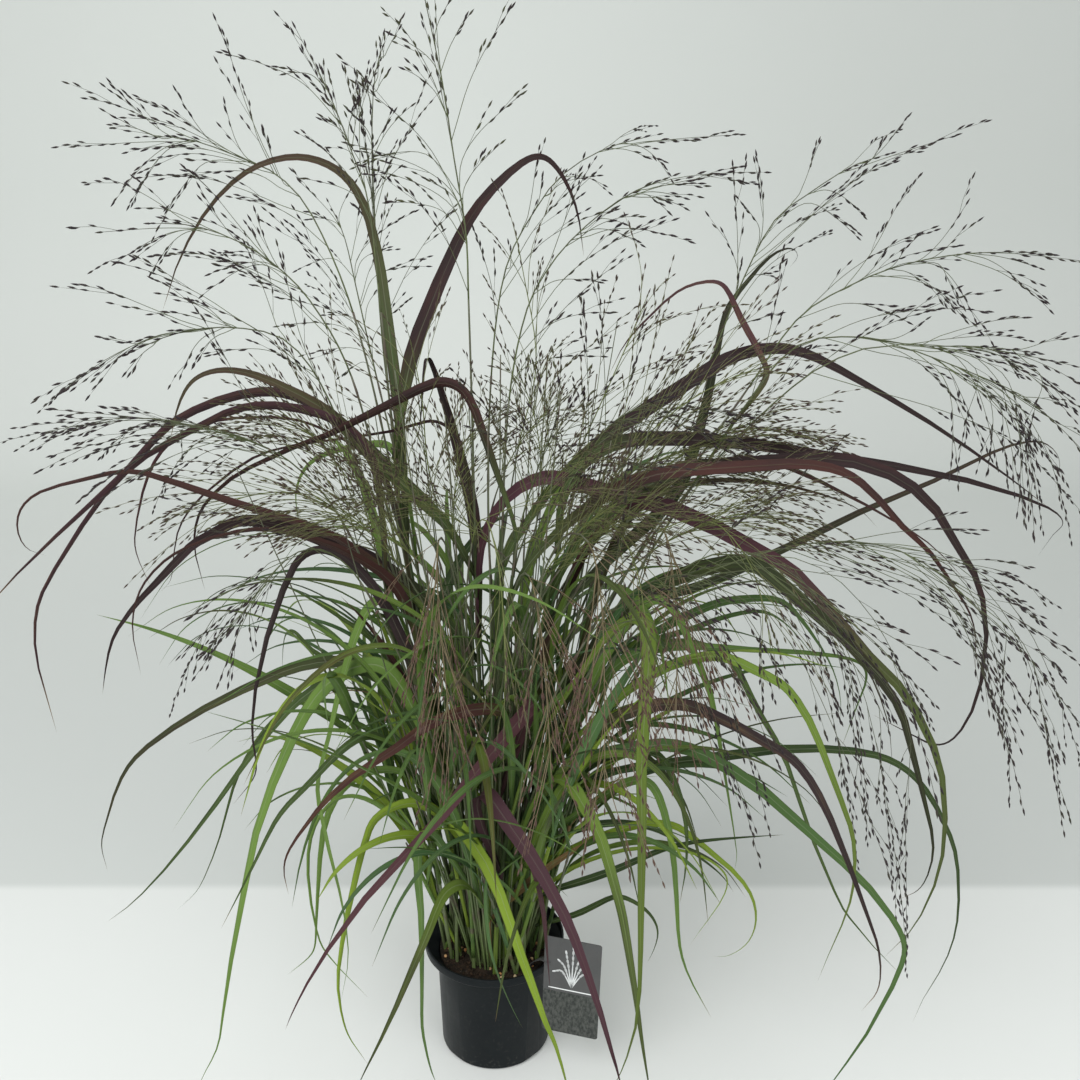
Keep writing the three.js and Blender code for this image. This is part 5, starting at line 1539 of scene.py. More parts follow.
@dataclass(frozen=True)
class PlasticFinish(Finish):
    """Moulded black plastic with a faint bloom, fine grain and some dust."""

    base: Colour = (0.004, 0.006, 0.0075)
    bloom: Colour = (0.009, 0.012, 0.013)
    dust: Colour = (0.07, 0.068, 0.06)

    def material(self, mottle: bpy.types.NodeTree) -> bpy.types.Material:
        """Builds the material with the mottle group.

        Args:
            mottle: The mottle group.

        Returns:
            The material.
        """
        g = Coat(self.name)
        place = g.place()
        colour, height = g.group(mottle, Place=place, Base=self.base, Spot=self.bloom,
                                 Scale=22.0, Amount=0.55)
        low = 1.0 - g.split(place)[2].step(0.0, 0.02)
        worn = g.noise(place, 260.0, 2.0).step(0.55, 0.75) * (low * 0.4 + 0.1)
        return self.done(g, g.mix(worn, colour, self.dust), height * 0.28 + 0.3,
                         g.noise(place, 900.0, 2.0), 0.25)


@dataclass(frozen=True)
class MixFinish(Finish):
    """Damp potting mix: dark peat with brown fibre and grey grit."""

    peat: Colour = (0.008, 0.006, 0.004)
    fibre: Colour = (0.035, 0.022, 0.014)
    grit: Colour = (0.12, 0.1, 0.08)
    scale: float = 150.0

    def material(self, mottle: bpy.types.NodeTree) -> bpy.types.Material:
        """Builds the material with the mottle group.

        Args:
            mottle: The mottle group.

        Returns:
            The material.
        """
        g = Coat(self.name)
        place = g.place()
        colour, height = g.group(mottle, Place=place, Base=self.peat, Spot=self.fibre,
                                 Scale=self.scale, Amount=0.9)
        speck = g.noise(place, self.scale * 6.0, 1.0).step(0.68, 0.76)
        return self.done(g, g.mix(speck, colour, self.grit), height * 0.25 + 0.72,
                         height + g.noise(place, 700.0))


@dataclass(frozen=True)
class BeadFinish(Finish):
    """Coated fertiliser beads, from cream to amber."""

    cream: Colour = (0.5, 0.42, 0.26)
    amber: Colour = (0.42, 0.17, 0.04)

    def material(self, mottle: bpy.types.NodeTree) -> bpy.types.Material:
        """Builds the material with the mottle group.

        Args:
            mottle: The mottle group.

        Returns:
            The material.
        """
        g = Coat(self.name)
        place = g.place()
        colour, height = g.group(mottle, Place=place, Base=self.cream, Spot=self.amber,
                                 Scale=70.0, Amount=1.0)
        return self.done(g, colour, height * 0.2 + 0.25, g.noise(place, 1400.0), 0.3)


@dataclass(frozen=True)
class TagFinish(Finish):
    """A printed plastic sheet: a grey panel over a mottled dark one, with a fine white rule."""

    panel: Colour = (0.075, 0.076, 0.076)
    sheen: Colour = (0.09, 0.09, 0.09)
    stone: Colour = (0.024, 0.028, 0.026)
    light: Colour = (0.085, 0.09, 0.082)
    white: Colour = (0.78, 0.8, 0.8)
    split: float = 0.44
    rule: float = 0.47

    def material(self, mottle: bpy.types.NodeTree) -> bpy.types.Material:
        """Builds the material on the tag's own flat coordinates, with the mottle group.

        Args:
            mottle: The mottle group.

        Returns:
            The material.
        """
        g = Coat(self.name)
        at = g.attribute("tag_at")
        across, height, _ = g.split(at)
        upper, _ = g.group(mottle, Place=at, Base=self.panel, Spot=self.sheen, Scale=5.0,
                           Amount=0.6)
        lower, grain = g.group(mottle, Place=at, Base=self.stone, Spot=self.light, Scale=26.0,
                               Amount=0.9)
        colour = g.mix(height.step(self.split - 0.003, self.split + 0.003), lower, upper)
        line = 1.0 - abs(height - self.rule).step(0.004, 0.007)
        inner = 1.0 - abs(across - 0.5).step(0.4, 0.41)
        return self.done(g, g.mix(line * inner, colour, self.white), grain * 0.16 + 0.28,
                         g.noise(at, 60.0), 0.15)


@dataclass(frozen=True)
class InkFinish(Finish):
    """White print ink, slightly uneven."""

    white: Colour = (0.72, 0.74, 0.74)
    thin: Colour = (0.5, 0.52, 0.53)

    def material(self, mottle: bpy.types.NodeTree) -> bpy.types.Material:
        """Builds the material with the mottle group.

        Args:
            mottle: The mottle group.

        Returns:
            The material.
        """
        g = Coat(self.name)
        colour, height = g.group(mottle, Place=g.place(), Base=self.white, Spot=self.thin,
                                 Scale=300.0, Amount=0.5)
        return self.done(g, colour, height * 0.15 + 0.35, height, 0.2)


class Finishes:
    """Every material of the part."""

    def __init__(self) -> None:
        """Builds the two groups and then the materials, each once."""
        mottle, surface = mottle_effect(), blade_effect()
        self.green_blade = BladeFinish("green_blade_surface", specular=0.2).material(surface)
        self.wine_blade = BladeFinish("burgundy_blade_surface", specular=0.12,
                                      green=(0.08, 0.125, 0.035),
                                      deep=(0.032, 0.055, 0.02)).material(surface)
        self.culm = StalkFinish("culm_surface").material(mottle)
        self.stalk = StalkFinish("panicle_stalk_surface", specular=0.3, fresh=(0.1, 0.13, 0.045),
                                 aged=(0.045, 0.04, 0.034)).material(mottle)
        self.young_stalk = StalkFinish("young_stalk_surface", specular=0.3,
                                       fresh=(0.13, 0.16, 0.045),
                                       aged=(0.1, 0.095, 0.045)).material(mottle)
        self.ripe_stalk = StalkFinish("ripe_stalk_surface", specular=0.3, fresh=(0.14, 0.12, 0.06),
                                      aged=(0.12, 0.075, 0.05)).material(mottle)
        self.spikelet = SpikeletFinish("spikelet_surface", specular=0.25).material(mottle)
        self.young_spikelet = SpikeletFinish("young_spikelet_surface", specular=0.25,
                                             dark=(0.05, 0.032, 0.028), green=(0.12, 0.15, 0.045),
                                             straw=(0.16, 0.125, 0.065)).material(mottle)
        self.ripe_spikelet = SpikeletFinish("ripe_spikelet_surface", specular=0.25,
                                            dark=(0.07, 0.035, 0.03), green=(0.15, 0.105, 0.055),
                                            straw=(0.2, 0.13, 0.085)).material(mottle)
        self.plastic = PlasticFinish("pot_plastic_surface", 0.0001, 0.14).material(mottle)
        self.mix = MixFinish("potting_mix_surface", 0.0012, 0.2).material(mottle)
        self.crumb = MixFinish("mix_crumb_surface", 0.0006, 0.2, scale=330.0,
                               fibre=(0.055, 0.032, 0.018)).material(mottle)
        self.bead = BeadFinish("feed_bead_surface", 0.0001).material(mottle)
        self.tag = TagFinish("tag_sheet_surface", 0.0001, 0.2).material(mottle)
        self.ink = InkFinish("tag_ink_surface", 0.0001).material(mottle)


# ---------------------------------------------------------------- laying the plant's pieces
def shown(piece: bpy.types.Object, slot: str, *nodes: str) -> bpy.types.Object:
    """Rides a piece on the root and hides the frame's nodes that it stands for.

    Args:
        piece: The piece.
        slot: The material slot. It is not used.
        nodes: The nodes that it stands for, if any.

    Returns:
        The piece.
    """
    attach(piece, "root")
    if nodes:
        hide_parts(*nodes)
    log.info("%s: %d faces", piece.name, len(piece.data.polygons))
    return piece


def tone_run(tone: Tone, along: np.ndarray) -> np.ndarray:
    """Returns a blade's four tones at shares of its length.

    Args:
        tone: The blade's colouring.
        along: The shares.

    Returns:
        An array of share and then the four tones.
    """
    foot, tip, lime, dry, pink = tone.value
    start, end = (0.06, 0.48) if tip > 0.88 else (0.3, 0.7)
    rise = np.clip((along - start) / (end - start), 0, 1)
    out = np.empty((len(along), 4))
    out[:, 0] = foot + (tip - foot) * rise * rise * (3 - 2 * rise)
    out[:, 1] = lime
    out[:, 2] = dry + 0.75 * np.clip((along - 0.93) / 0.07, 0, 1) ** 2
    out[:, 3] = pink
    return out


def rooted(centre: np.ndarray, along: np.ndarray, carrier: Line | None) -> np.ndarray:
    """Moves a piece's foot onto the line that carries it, fading out along the piece.

    Args:
        centre: The middle of each ring.
        along: Each ring's share of the length.
        carrier: The line that carries it, or None.

    Returns:
        The middles as moved.
    """
    if carrier is None:
        return centre
    run = np.array(carrier.run)
    nearest = run[np.argmin(((run - centre[0]) ** 2).sum(axis=1))]
    fade = np.clip(1 - along / 0.2, 0, 1)
    return centre + (nearest - centre[0]) * (fade * fade * (3 - 2 * fade))[:, None]


def lay_blade(grown: Growth, tone: Tone, seed: float, carrier: Line | None = None) -> Lay:
    """Returns the lay of one blade, folded along its rib and gently waved.

    Args:
        grown: The blade's place and sizes.
        tone: Its colouring.
        seed: A number of its own from 0 to 1.
        carrier: The line of the culm it grows from.

    Returns:
        The lay for the blade stock.
    """
    line = grown.line
    at = line.bends(BLADE_RINGS - 1) + [line.length]
    along = np.array(at) / line.length
    turns = blade_frame(line, at, grown.roll, grown.twist)
    side = np.array([s for s, _ in turns])
    up = np.array([u for _, u in turns])
    wave = np.radians(7.0) * np.sin(2 * math.pi * (along * (1.4 + seed) + seed * 5))
    wave = (wave * np.clip(along * 5, 0, 1))[:, None]
    side, up = side * np.cos(wave) + up * np.sin(wave), up * np.cos(wave) - side * np.sin(wave)
    half = np.array([blade_width(grown.width, f) for f in along]) / 2
    centre = rooted(np.array([line.point(s) for s in at]), along, carrier)
    thick = np.minimum(0.3 - 0.12 * along, 0.2 * half + 0.02)
    fold = half * (0.34 - 0.22 * along)
    return Lay.single(centre, side * half[:, None], up * thick[:, None], up * fold[:, None],
                      along, tone_run(tone, along), seed=seed)


def lay_sheath(culm: Line, s: float, length: float, radius: float, tone: Tone,
               seed: float) -> Lay:
    """Returns the sheath that wraps a culm below a blade.

    Args:
        culm: The line of the culm.
        s: The distance along it at which the blade leaves.
        length: The sheath's length.
        radius: The culm's radius.
        tone: The blade's colouring.
        seed: The blade's own number.

    Returns:
        The lay for the sheath stock.
    """
    at = np.linspace(max(0.0, s - length), s + 1.5, SHEATH_RINGS)
    centre = np.array([culm.point(v) for v in at])
    f = np.linspace(0, 1, SHEATH_RINGS)
    tones = tone_run(tone, np.zeros(SHEATH_RINGS))
    tones[:, 0] = tones[:, 0] * f
    return lay_tube(centre, radius * (1.12 + 0.2 * f), tones, seed)


def lay_culm(line: Line, start: float, end: float, foot: float, top: float,
             seed: float) -> Lay:
    """Returns a culm with its swollen joints, pale low down and purple brown above.

    Args:
        line: The culm's line.
        start: Where it starts along the line.
        end: Where it ends.
        foot: Its radius at the start.
        top: Its radius at the end.
        seed: A number of its own from 0 to 1.

    Returns:
        The lay for the culm stock.
    """
    f = np.linspace(0, 1, CULM_RINGS)
    centre = np.array([line.point(start + (end - start) * v) for v in f])
    pitch = (end - start) / max(3, round((end - start) / 92))
    ridge = np.abs(np.sin(math.pi * ((end - start) * f + 30 * seed) / pitch)) < 0.16
    tones = np.zeros((CULM_RINGS, 4))
    tones[:, 0] = 0.15 + 0.6 * f
    tones[:, 2] = 0.75 * ridge
    return lay_tube(centre, (foot + (top - foot) * f) * (1 + 0.3 * ridge), tones, seed)


@dataclass
class Spray:
    """Puts the finer growth on panicle branches: side twigs, and spikelets on short stalks."""

    stocks: Stocks
    bundle: Bundle
    rnd: Draw
    fresh: float = 0.0
    stalk_r: float = 0.3
    scale: float = 1.0
    gap: float = 9.4

    def off(self, heading: Point) -> Point:
        """Returns a random direction square to a heading."""
        guess = (self.rnd() - 0.5, self.rnd() - 0.5, self.rnd() - 0.5)
        return unit(sub(guess, mul(heading, dot(guess, heading))))

    def spikelets(self, line: Line, start: float) -> None:
        """Sets spikelets along a line from a distance on, and one at its end.

        Args:
            line: The line of the stalk.
            start: The distance.
        """
        feet, necks, ways, sizes = [], [], [], []
        s = start
        last = line.length - SPIKELET_L - 0.5
        while s < last - 0.4 * self.gap:
            heading = line.heading(s)
            away = self.off(heading)
            out = unit(add(heading, mul(away, 0.5)))
            feet.append(line.point(s))
            necks.append(add(feet[-1], mul(out, 0.8 + 1.6 * self.rnd() ** 2)))
            ways.append(unit(add(heading, mul(away, 0.03 + 0.2 * self.rnd()))))
            sizes.append(self.scale * (5.6 + 2.2 * self.rnd()))
            s += self.gap * (0.65 + 0.7 * self.rnd())
        feet.append(line.point(last - 0.5))
        necks.append(line.point(last))
        ways.append(line.heading(last))
        sizes.append(self.scale * (SPIKELET_L + 0.4))
        self.bundle.lay(self.stocks.spikelet, self.lay_spikelets(feet, necks, ways, sizes))

    def lay_spikelets(self, feet: list[Point], necks: list[Point], ways: list[Point],
                      sizes: list[float]) -> Lay:
        """Returns the lay of spikelets from their feet, stalk ends, directions and lengths.

        Args:
            feet: Where each leaves the line.
            necks: Where its own stalk ends.
            ways: Its direction.
            sizes: Its length.

        Returns:
            The lay for the spikelet stock.
        """
        foot, neck, way = np.array(feet), np.array(necks), np.array(ways)
        length = np.array(sizes)[:, None]
        count = len(feet)
        centre = np.stack([foot, neck, neck + way * length * 0.33, neck + way * length * 0.64,
                           neck + way * length], axis=1)
        axis = np.where(np.abs(way[:, 1:2]) < 0.8, (0.0, 1.0, 0.0), (1.0, 0.0, 0.0))
        side = unit_rows(np.cross(way, axis))
        up = np.cross(way, side)
        radii = np.array([0.12, 0.17, 1.0, 0.78, 0.0])
        fat = 0.118 * length
        radius = np.concatenate([np.full((count, 2), 1.0), np.repeat(fat, 3, axis=1)], axis=1)
        radius = (radius * radii)[..., None]
        tone = np.zeros((count, SPIKELET_RINGS, 4))
        own = np.array([self.rnd() for _ in range(count)])
        tone[..., 1] = np.clip(self.fresh + (own[:, None] - 0.8) * 0.9, 0, 1)
        along = np.tile(np.array([0.0, 0.18, 0.45, 0.72, 1.0]), (count, 1))
        return Lay(centre, side[:, None] * radius, up[:, None] * radius * 0.8,
                   np.zeros_like(centre), along, tone, own)

    def stalk(self, line: Line, carrier: Line) -> Line:
        """Lays a branch's stalk and returns its line where it now runs.

        Args:
            line: The branch's line.
            carrier: The line it grows from.

        Returns:
            The line where it now runs.
        """
        at = np.linspace(0, line.length - 3, STALK_RINGS)
        along = at / line.length
        centre = rooted(np.array([line.point(s) for s in at]), along, carrier)
        tone = np.zeros((STALK_RINGS, 4))
        tone[:, 0] = np.clip(0.1 + 0.9 * along, 0, 1)
        radius = self.stalk_r * (1.0 - 0.45 * along)
        self.bundle.lay(self.stocks.stalk, lay_tube(centre, radius, tone, self.rnd()))
        moved = [tuple(float(v) for v in p) for p in centre]
        return Line(moved + [line.point(line.length)])

    def dress(self, axis: Line, thick: tuple[float, float], wine: tuple[float, float],
              branches: Iterable[Line]) -> None:
        """Dresses a whole panicle.

        Args:
            axis: The line of its axis.
            thick: The axis's radius at its foot and at its tip.
            wine: How brown the axis is at its foot, and how much more so at its tip.
            branches: The lines of its branches.
        """
        at = np.linspace(0, axis.length - 4, STALK_RINGS)
        tone = np.zeros((STALK_RINGS, 4))
        tone[:, 0] = wine[0] + wine[1] * at / axis.length
        centre = np.array([axis.point(s) for s in at])
        self.bundle.lay(self.stocks.stalk,
                        lay_tube(centre, np.linspace(*thick, STALK_RINGS), tone, 0.5))
        for line in branches:
            self.branch(line, axis)
        self.spikelets(axis, axis.length * 0.8)

    def branch(self, line: Line, carrier: Line) -> None:
        """Dresses one branch from its stalk to its last spikelet.

        Args:
            line: The branch's line.
            carrier: The line it grows from.
        """
        line = self.stalk(line, carrier)
        length = line.length
        self.spikelets(line, length * (0.5 + 0.14 * self.rnd()))
        count = max(1, round(length / 56))
        for i in range(count):
            s = length * (0.22 + 0.6 * (i + self.rnd()) / count)
            reach = min(0.4 * length, 16 + 34 * self.rnd())
            heading = line.heading(s)
            a = unit(add(heading, mul(self.off(heading), 0.16 + 0.24 * self.rnd())))
            foot = line.point(s)
            middle = add(foot, mul(a, 0.5 * reach))
            bent = unit(add(mix(a, heading, 0.4), (0.0, 0.0, -0.1)))
            self.twig(flow([foot, middle, add(middle, mul(bent, 0.5 * reach + SPIKELET_L))]))

    def twig(self, line: Line) -> None:
        """Dresses one side twig.

        Args:
            line: The twig's line.
        """
        at = np.linspace(0, line.length - 5, TWIG_RINGS)
        tone = np.zeros((TWIG_RINGS, 4))
        tone[:, 0] = 0.65
        radius = np.linspace(0.2, 0.13, TWIG_RINGS)
        self.bundle.lay(self.stocks.twig, lay_tube(np.array([line.point(s) for s in at]),
                                                   radius, tone, self.rnd()))
        self.spikelets(line, line.length * 0.4)


@dataclass
class FloweringStem:
    """A culm with its blades and its panicle."""

    index: int
    row: StemRow
    line: Line = field(init=False)
    head: float = field(init=False)
    culm: Line = field(init=False)
    rachis: Line = field(init=False)
    blades: list[tuple[Growth, Tone]] = field(default_factory=list)
    branches: list[Growth] = field(default_factory=list)

    def __post_init__(self) -> None:
        """Draws the stem's line from the crown to the panicle's tip."""
        rx, ry = self.row.root
        points = [(rx, ry, ROOT_Z), (rx, ry, SOIL_TOP + 10)]
        count = len(self.row.line) // 2
        for i in range(count):
            y = ry + (self.row.lean - ry) * ((i + 1) / count) ** 1.3
            points.append(lift(self.row.line[2 * i], self.row.line[2 * i + 1], y))
        self.line = flow(points)
        self.head = self.line.at[(self.row.head + 2) * 10]

    @property
    def axis(self) -> Line:
        """The panicle's axis, from just inside the culm's end."""
        return Line([self.line.point(s)
                     for s in np.linspace(self.head - 3, self.line.length, 60)])

    def claim(self, room: Room) -> None:
        """Takes the culm's and the panicle axis's room.

        Args:
            room: The room that the pieces share.
        """
        culm = thread(self.line, [0.0, *stations(20, self.head - 0.2, 5)])[:-1]
        rachis = thread(self.line, stations(self.head + 0.2, self.line.length, 4)[:4])
        room.claim(room.samples(culm, 34), self.index)
        room.claim(room.samples(rachis, 0), PANICLE_OWNER + self.index)
        self.culm, self.rachis = chain(culm), chain(rachis)

    def add_traced(self, row: BladeRow, room: Room) -> None:
        """Grows a traced blade, slid along the line of sight till it clears the others.

        Args:
            row: The blade.
            room: The room that the pieces share.
        """
        points, count = row.line, len(row.line) // 2
        shifts = (0, 5, -5, 10, -10, 16, -16, 23, -23, 31, -31, 40, -40, 52, -52, 66, -66, 82,
                  -82, 100, -100, 120, -120)

        def attempt(start: Point, shift: float) -> Growth:
            """Returns the blade of one try.

            Args:
                start: Its foot.
                shift: How far it is slid.

            Returns:
                The blade as grown.
            """
            out = [start]
            for i in range(1, count):
                f = i / (count - 1)
                y = start[1] + (row.depth - start[1]) * f ** 1.15 + shift * smooth(0, 0.3, f)
                out.append(lift(points[2 * i], points[2 * i + 1], y))
            line = eased(flow(out))
            rings = min(8, max(4, math.floor(line.length / 72 + 0.5)))
            return grow_blade(line, row.width, row.roll, row.twist, rings)

        def tries() -> Iterable[Callable[[], Growth]]:
            """Gives each try in its turn.

            Returns:
                A function for each try, which gives its growth.
            """
            for rise in (0, 12, -12, 24, -24):
                high = next(i for i, p in enumerate(self.culm.run)
                            if elevation(p) >= points[1] + rise
                            or self.culm.at[i] > self.culm.length - 14)
                for shift in shifts:
                    yield lambda s=self.culm.run[high], d=shift: attempt(s, d)

        grown = room.settle(self.index, 5, 45, tries())
        if grown:
            self.blades.append((grown, row.tone))

    def add_branches(self, room: Room) -> None:
        """Grows the panicle's main branches.

        Args:
            room: The room that the pieces share.
        """
        ends = self.row.ends
        for j in range(len(ends) // 2):
            def attempt(k: int, j: int = j) -> Growth:
                """Returns the branch of one try.

                Args:
                    k: The number of the try.
                    j: The number of the branch.

                Returns:
                    The piece as grown.
                """
                line = branch_line(self.rachis, ends[2 * j], ends[2 * j + 1],
                                   self.index * 20 + j, k)
                return Growth(branch_rings(line), line)

            grown = room.settle(PANICLE_OWNER + self.index, 3, 15,
                                ((lambda k=k: attempt(k)) for k in range(16)))
            if grown:
                self.branches.append(grown)

    def add_leaf(self, room: Room) -> None:
        """Grows the rear leaf of a stem that has few.

        Args:
            room: The room that the pieces share.
        """
        start = self.culm.point(self.culm.length * 0.5)
        leaf = arched_blade(LEAF_SEED + self.index, start, 1.6 + self.index * 2.4, 2.4,
                            self.index, room)
        if leaf:
            self.blades.append((leaf, Tone.GREEN))

    def make(self, stocks: Stocks, finishes: Finishes) -> None:
        """Builds the stem's piece and the panicle's piece.

        Args:
            stocks: The templates.
            finishes: The materials.
        """
        rnd = mulberry(STEM_SEED + self.index)
        number = f"{self.index + 1:02d}"
        bundle = Bundle()
        bundle.lay(stocks.culm, lay_culm(self.line, 0, self.head, CULM_R * 1.1, CULM_TOP_R,
                                         rnd()))
        for grown, tone in self.blades:
            seed = rnd()
            bundle.lay(stocks.blade, lay_blade(grown, tone, seed, self.line))
            run = np.array(self.line.run)
            foot = int(np.argmin(((run - np.array(grown.line.run[0])) ** 2).sum(axis=1)))
            s = self.line.at[foot]
            radius = CULM_R + (CULM_TOP_R - CULM_R) * s / self.head
            bundle.lay(stocks.sheath, lay_sheath(self.line, s, 60 + 50 * rnd(), radius + 0.25,
                                                 tone, seed))
        widest = max(self.blades, key=lambda b: b[0].width, default=None)
        wine = widest is not None and widest[1] in WINE_TONES
        blade = finishes.wine_blade if wine else finishes.green_blade
        piece = bundle.make(f"culm_and_blades_{number}",
                            {stocks.culm: finishes.culm, stocks.blade: blade,
                             stocks.sheath: blade})
        shown(piece, "burgundy_blade" if self.index in BURGUNDY_STEMS else "green_blade",
              f"flowering_stem_{number}")

        spray = Bundle()
        dresser = Spray(stocks, spray, mulberry(SPRAY_SEED + self.index),
                        fresh=max(0.0, 0.55 - abs(self.row.line[-2]) / 300))
        dresser.dress(self.axis, (0.72, 0.3), (0.1, 0.6),
                      [grown.line for grown in self.branches] + self.finer_lines())
        piece = spray.make(f"spray_{number}", {stocks.stalk: finishes.stalk,
                                               stocks.twig: finishes.stalk,
                                               stocks.spikelet: finishes.spikelet})
        shown(piece, "panicle_straw", f"panicle_{number}")

    def finer_lines(self) -> list[Line]:
        """Returns the lines of the panicle's finer branches.

        Returns:
            The lines.
        """
        more, rnd = self.row.more, mulberry(FINER_SEED + self.index)
        own = [hung_line(self.rachis, more[2 * j], more[2 * j + 1], rnd)
               for j in range(len(more) // 2)]
        return own + open_branches(self.rachis, 5, rnd)


def hung_line(rachis: Line, x: float, z: float, rnd: Draw) -> Line:
    """Returns the line of a finer branch that is seen to end at (x, z), from anywhere before it.

    Args:
        rachis: The panicle's axis.
        x: Where its tip is seen.
        z: The height at which its tip is seen.
        rnd: The random generator.

    Returns:
        The line.
    """
    d, near = rachis.nearest(x, z)
    foot = rachis.point(max(2.0, near * (0.3 + 0.62 * rnd()) - 4))
    tip = lift(x, z, foot[1] + (rnd() - 0.5) * (0.9 * d + 20))
    reach = size(sub(tip, foot))
    heading = rachis.heading(near * 0.6)
    go = unit(add(mix(heading, unit(sub(tip, foot)), 0.55), (0.0, 0.0, 0.12)))
    a = add(foot, mul(go, 0.4 * reach))
    b = add(mix(a, tip, 0.5), (0.0, 0.0, 0.05 * reach))
    return flow([foot, a, b, tip])


def open_branches(rachis: Line, count: int, rnd: Draw, share: float = 1.0,
                  spread: float = 1.0) -> list[Line]:
    """Returns the lines of branches that leave an axis all round and all along it.

    Args:
        rachis: The panicle's axis.
        count: How many branches.
        rnd: The random generator.
        share: How long they are, as a share of a full panicle's.
        spread: How far they stand off, as a share of a full panicle's.

    Returns:
        The lines, longest near the axis's foot.
    """
    out = []
    for j in range(count):
        s = rachis.length * 0.86 * (j + rnd()) / count
        heading = rachis.heading(s)
        guess = (rnd() - 0.5, rnd() - 0.5, rnd() - 0.5)
        away = unit(sub(guess, mul(heading, dot(guess, heading))))
        reach = share * (70 + 75 * rnd()) * (1.25 - 0.7 * s / rachis.length)
        first = unit(add(heading, mul(away, spread * (0.4 + 0.3 * rnd()))))
        foot = rachis.point(s)
        a = add(foot, mul(first, 0.4 * reach))
        later = unit(add(add(heading, mul(away, 0.7 * spread)), (0.0, 0.0, -0.25)))
        b = add(a, mul(later, 0.35 * reach))
        last = unit(add(later, (0.0, 0.0, -0.2)))
        out.append(flow([foot, a, b, add(b, mul(last, 0.25 * reach))]))
    return out


@dataclass
class LeafyShoots:
    """Two shoots without a panicle from one foot, with the blades they carry."""

    index: int
    root: tuple[float, float, float]
    tillers: list[Line] = field(default_factory=list)
    blades: list[tuple[Growth, Line]] = field(default_factory=list)

    def grow(self, room: Room) -> None:
        """Grows the shoots and blades where the room allows.

        Args:
            room: The room that the pieces share.
        """
        x, y, least = self.root
        owner = SHOOT_OWNER + self.index
        rnd = mulberry(SHOOT_SEED + self.index)
        out = math.atan2(y, x)
        low = 0.45 + (least - 130) / 500
        for t in range(TILLERS):
            def attempt(k: int, t: int = t) -> Growth:
                """Returns the shoot of one try.

                Args:
                    k: The number of the try.
                    t: The number of the shoot.

                Returns:
                    The piece as grown.
                """
                a = out + (t - (TILLERS - 1) / 2) * 1.5 + (rnd() - 0.5) * (0.8 + k / 8)
                tall = least + 110 * rnd()
                go = 20 + 46 * rnd()
                top = (x + go * math.cos(a), y + go * math.sin(a), 104 + tall)
                line = flow([(x, y, 97), mix((x, y, 104), top, 0.4), top])
                return Growth(thread(line, stations(0, line.length, 3)[:3]), line)

            grown = room.settle(owner, 24, 40, ((lambda k=k: attempt(k)) for k in range(40)))
            if not grown:
                continue
            tiller = chain(grown.rings)
            self.tillers.append(grown.line)
            for b in range(TILLER_LEAVES):
                start = tiller.point(tiller.length * (low + (0.99 - low) / 2 * b))
                a = out + (t - 0.5) * 1.2 + (0.9 if b % 2 else -0.9)
                seed = SHOOT_LEAF_SEED + self.index * 40 + t * 8 + b
                leaf = arched_blade(seed, start, a, 2, owner, room)
                if leaf:
                    self.blades.append((leaf, grown.line))

    def make(self, stocks: Stocks, finishes: Finishes) -> None:
        """Builds the piece.

        Args:
            stocks: The templates.
            finishes: The materials.
        """
        rnd = mulberry(SHOOT_LOOK_SEED + self.index)
        number = f"{self.index + 1:02d}"
        bundle = Bundle()
        x, y, least = self.root
        foot = np.array([(x, y, z) for z in np.linspace(ROOT_Z, 107, SHEATH_RINGS)], float)
        bundle.lay(stocks.sheath, lay_tube(foot, np.linspace(SHOOT_BASE_R, 1.9, SHEATH_RINGS),
                                           np.zeros((SHEATH_RINGS, 4)), 0.4))
        for line in self.tillers:
            bundle.lay(stocks.culm, lay_culm(line, 0, line.length, CULM_R, 0.9, rnd()))
        for grown, line in self.blades:
            tone = (Tone.GREEN, Tone.GREEN, Tone.LIME if least < 150 else Tone.OLIVE,
                    Tone.OLIVE, Tone.TEAL)[int(5 * rnd())]
            seed = rnd()
            bundle.lay(stocks.blade, lay_blade(grown, tone, seed, line))
            bundle.lay(stocks.sheath,
                       lay_sheath(line, line.length * 0.6, 50, CULM_R, tone, seed))
        piece = bundle.make(f"shoots_and_blades_{number}",
                            {stocks.culm: finishes.culm, stocks.blade: finishes.green_blade,
                             stocks.sheath: finishes.green_blade})
        shown(piece, "green_blade", f"leafy_shoots_{number}")


@dataclass(frozen=True)
class InnerRow:
    """A younger panicle inside the plant: its stem as in StemRow, its branches and their form."""

    root: tuple[float, float]
    lean: float
    head: int
    branches: int
    reach: float
    spread: float
    line: tuple[float, ...]
    ripe: bool = False


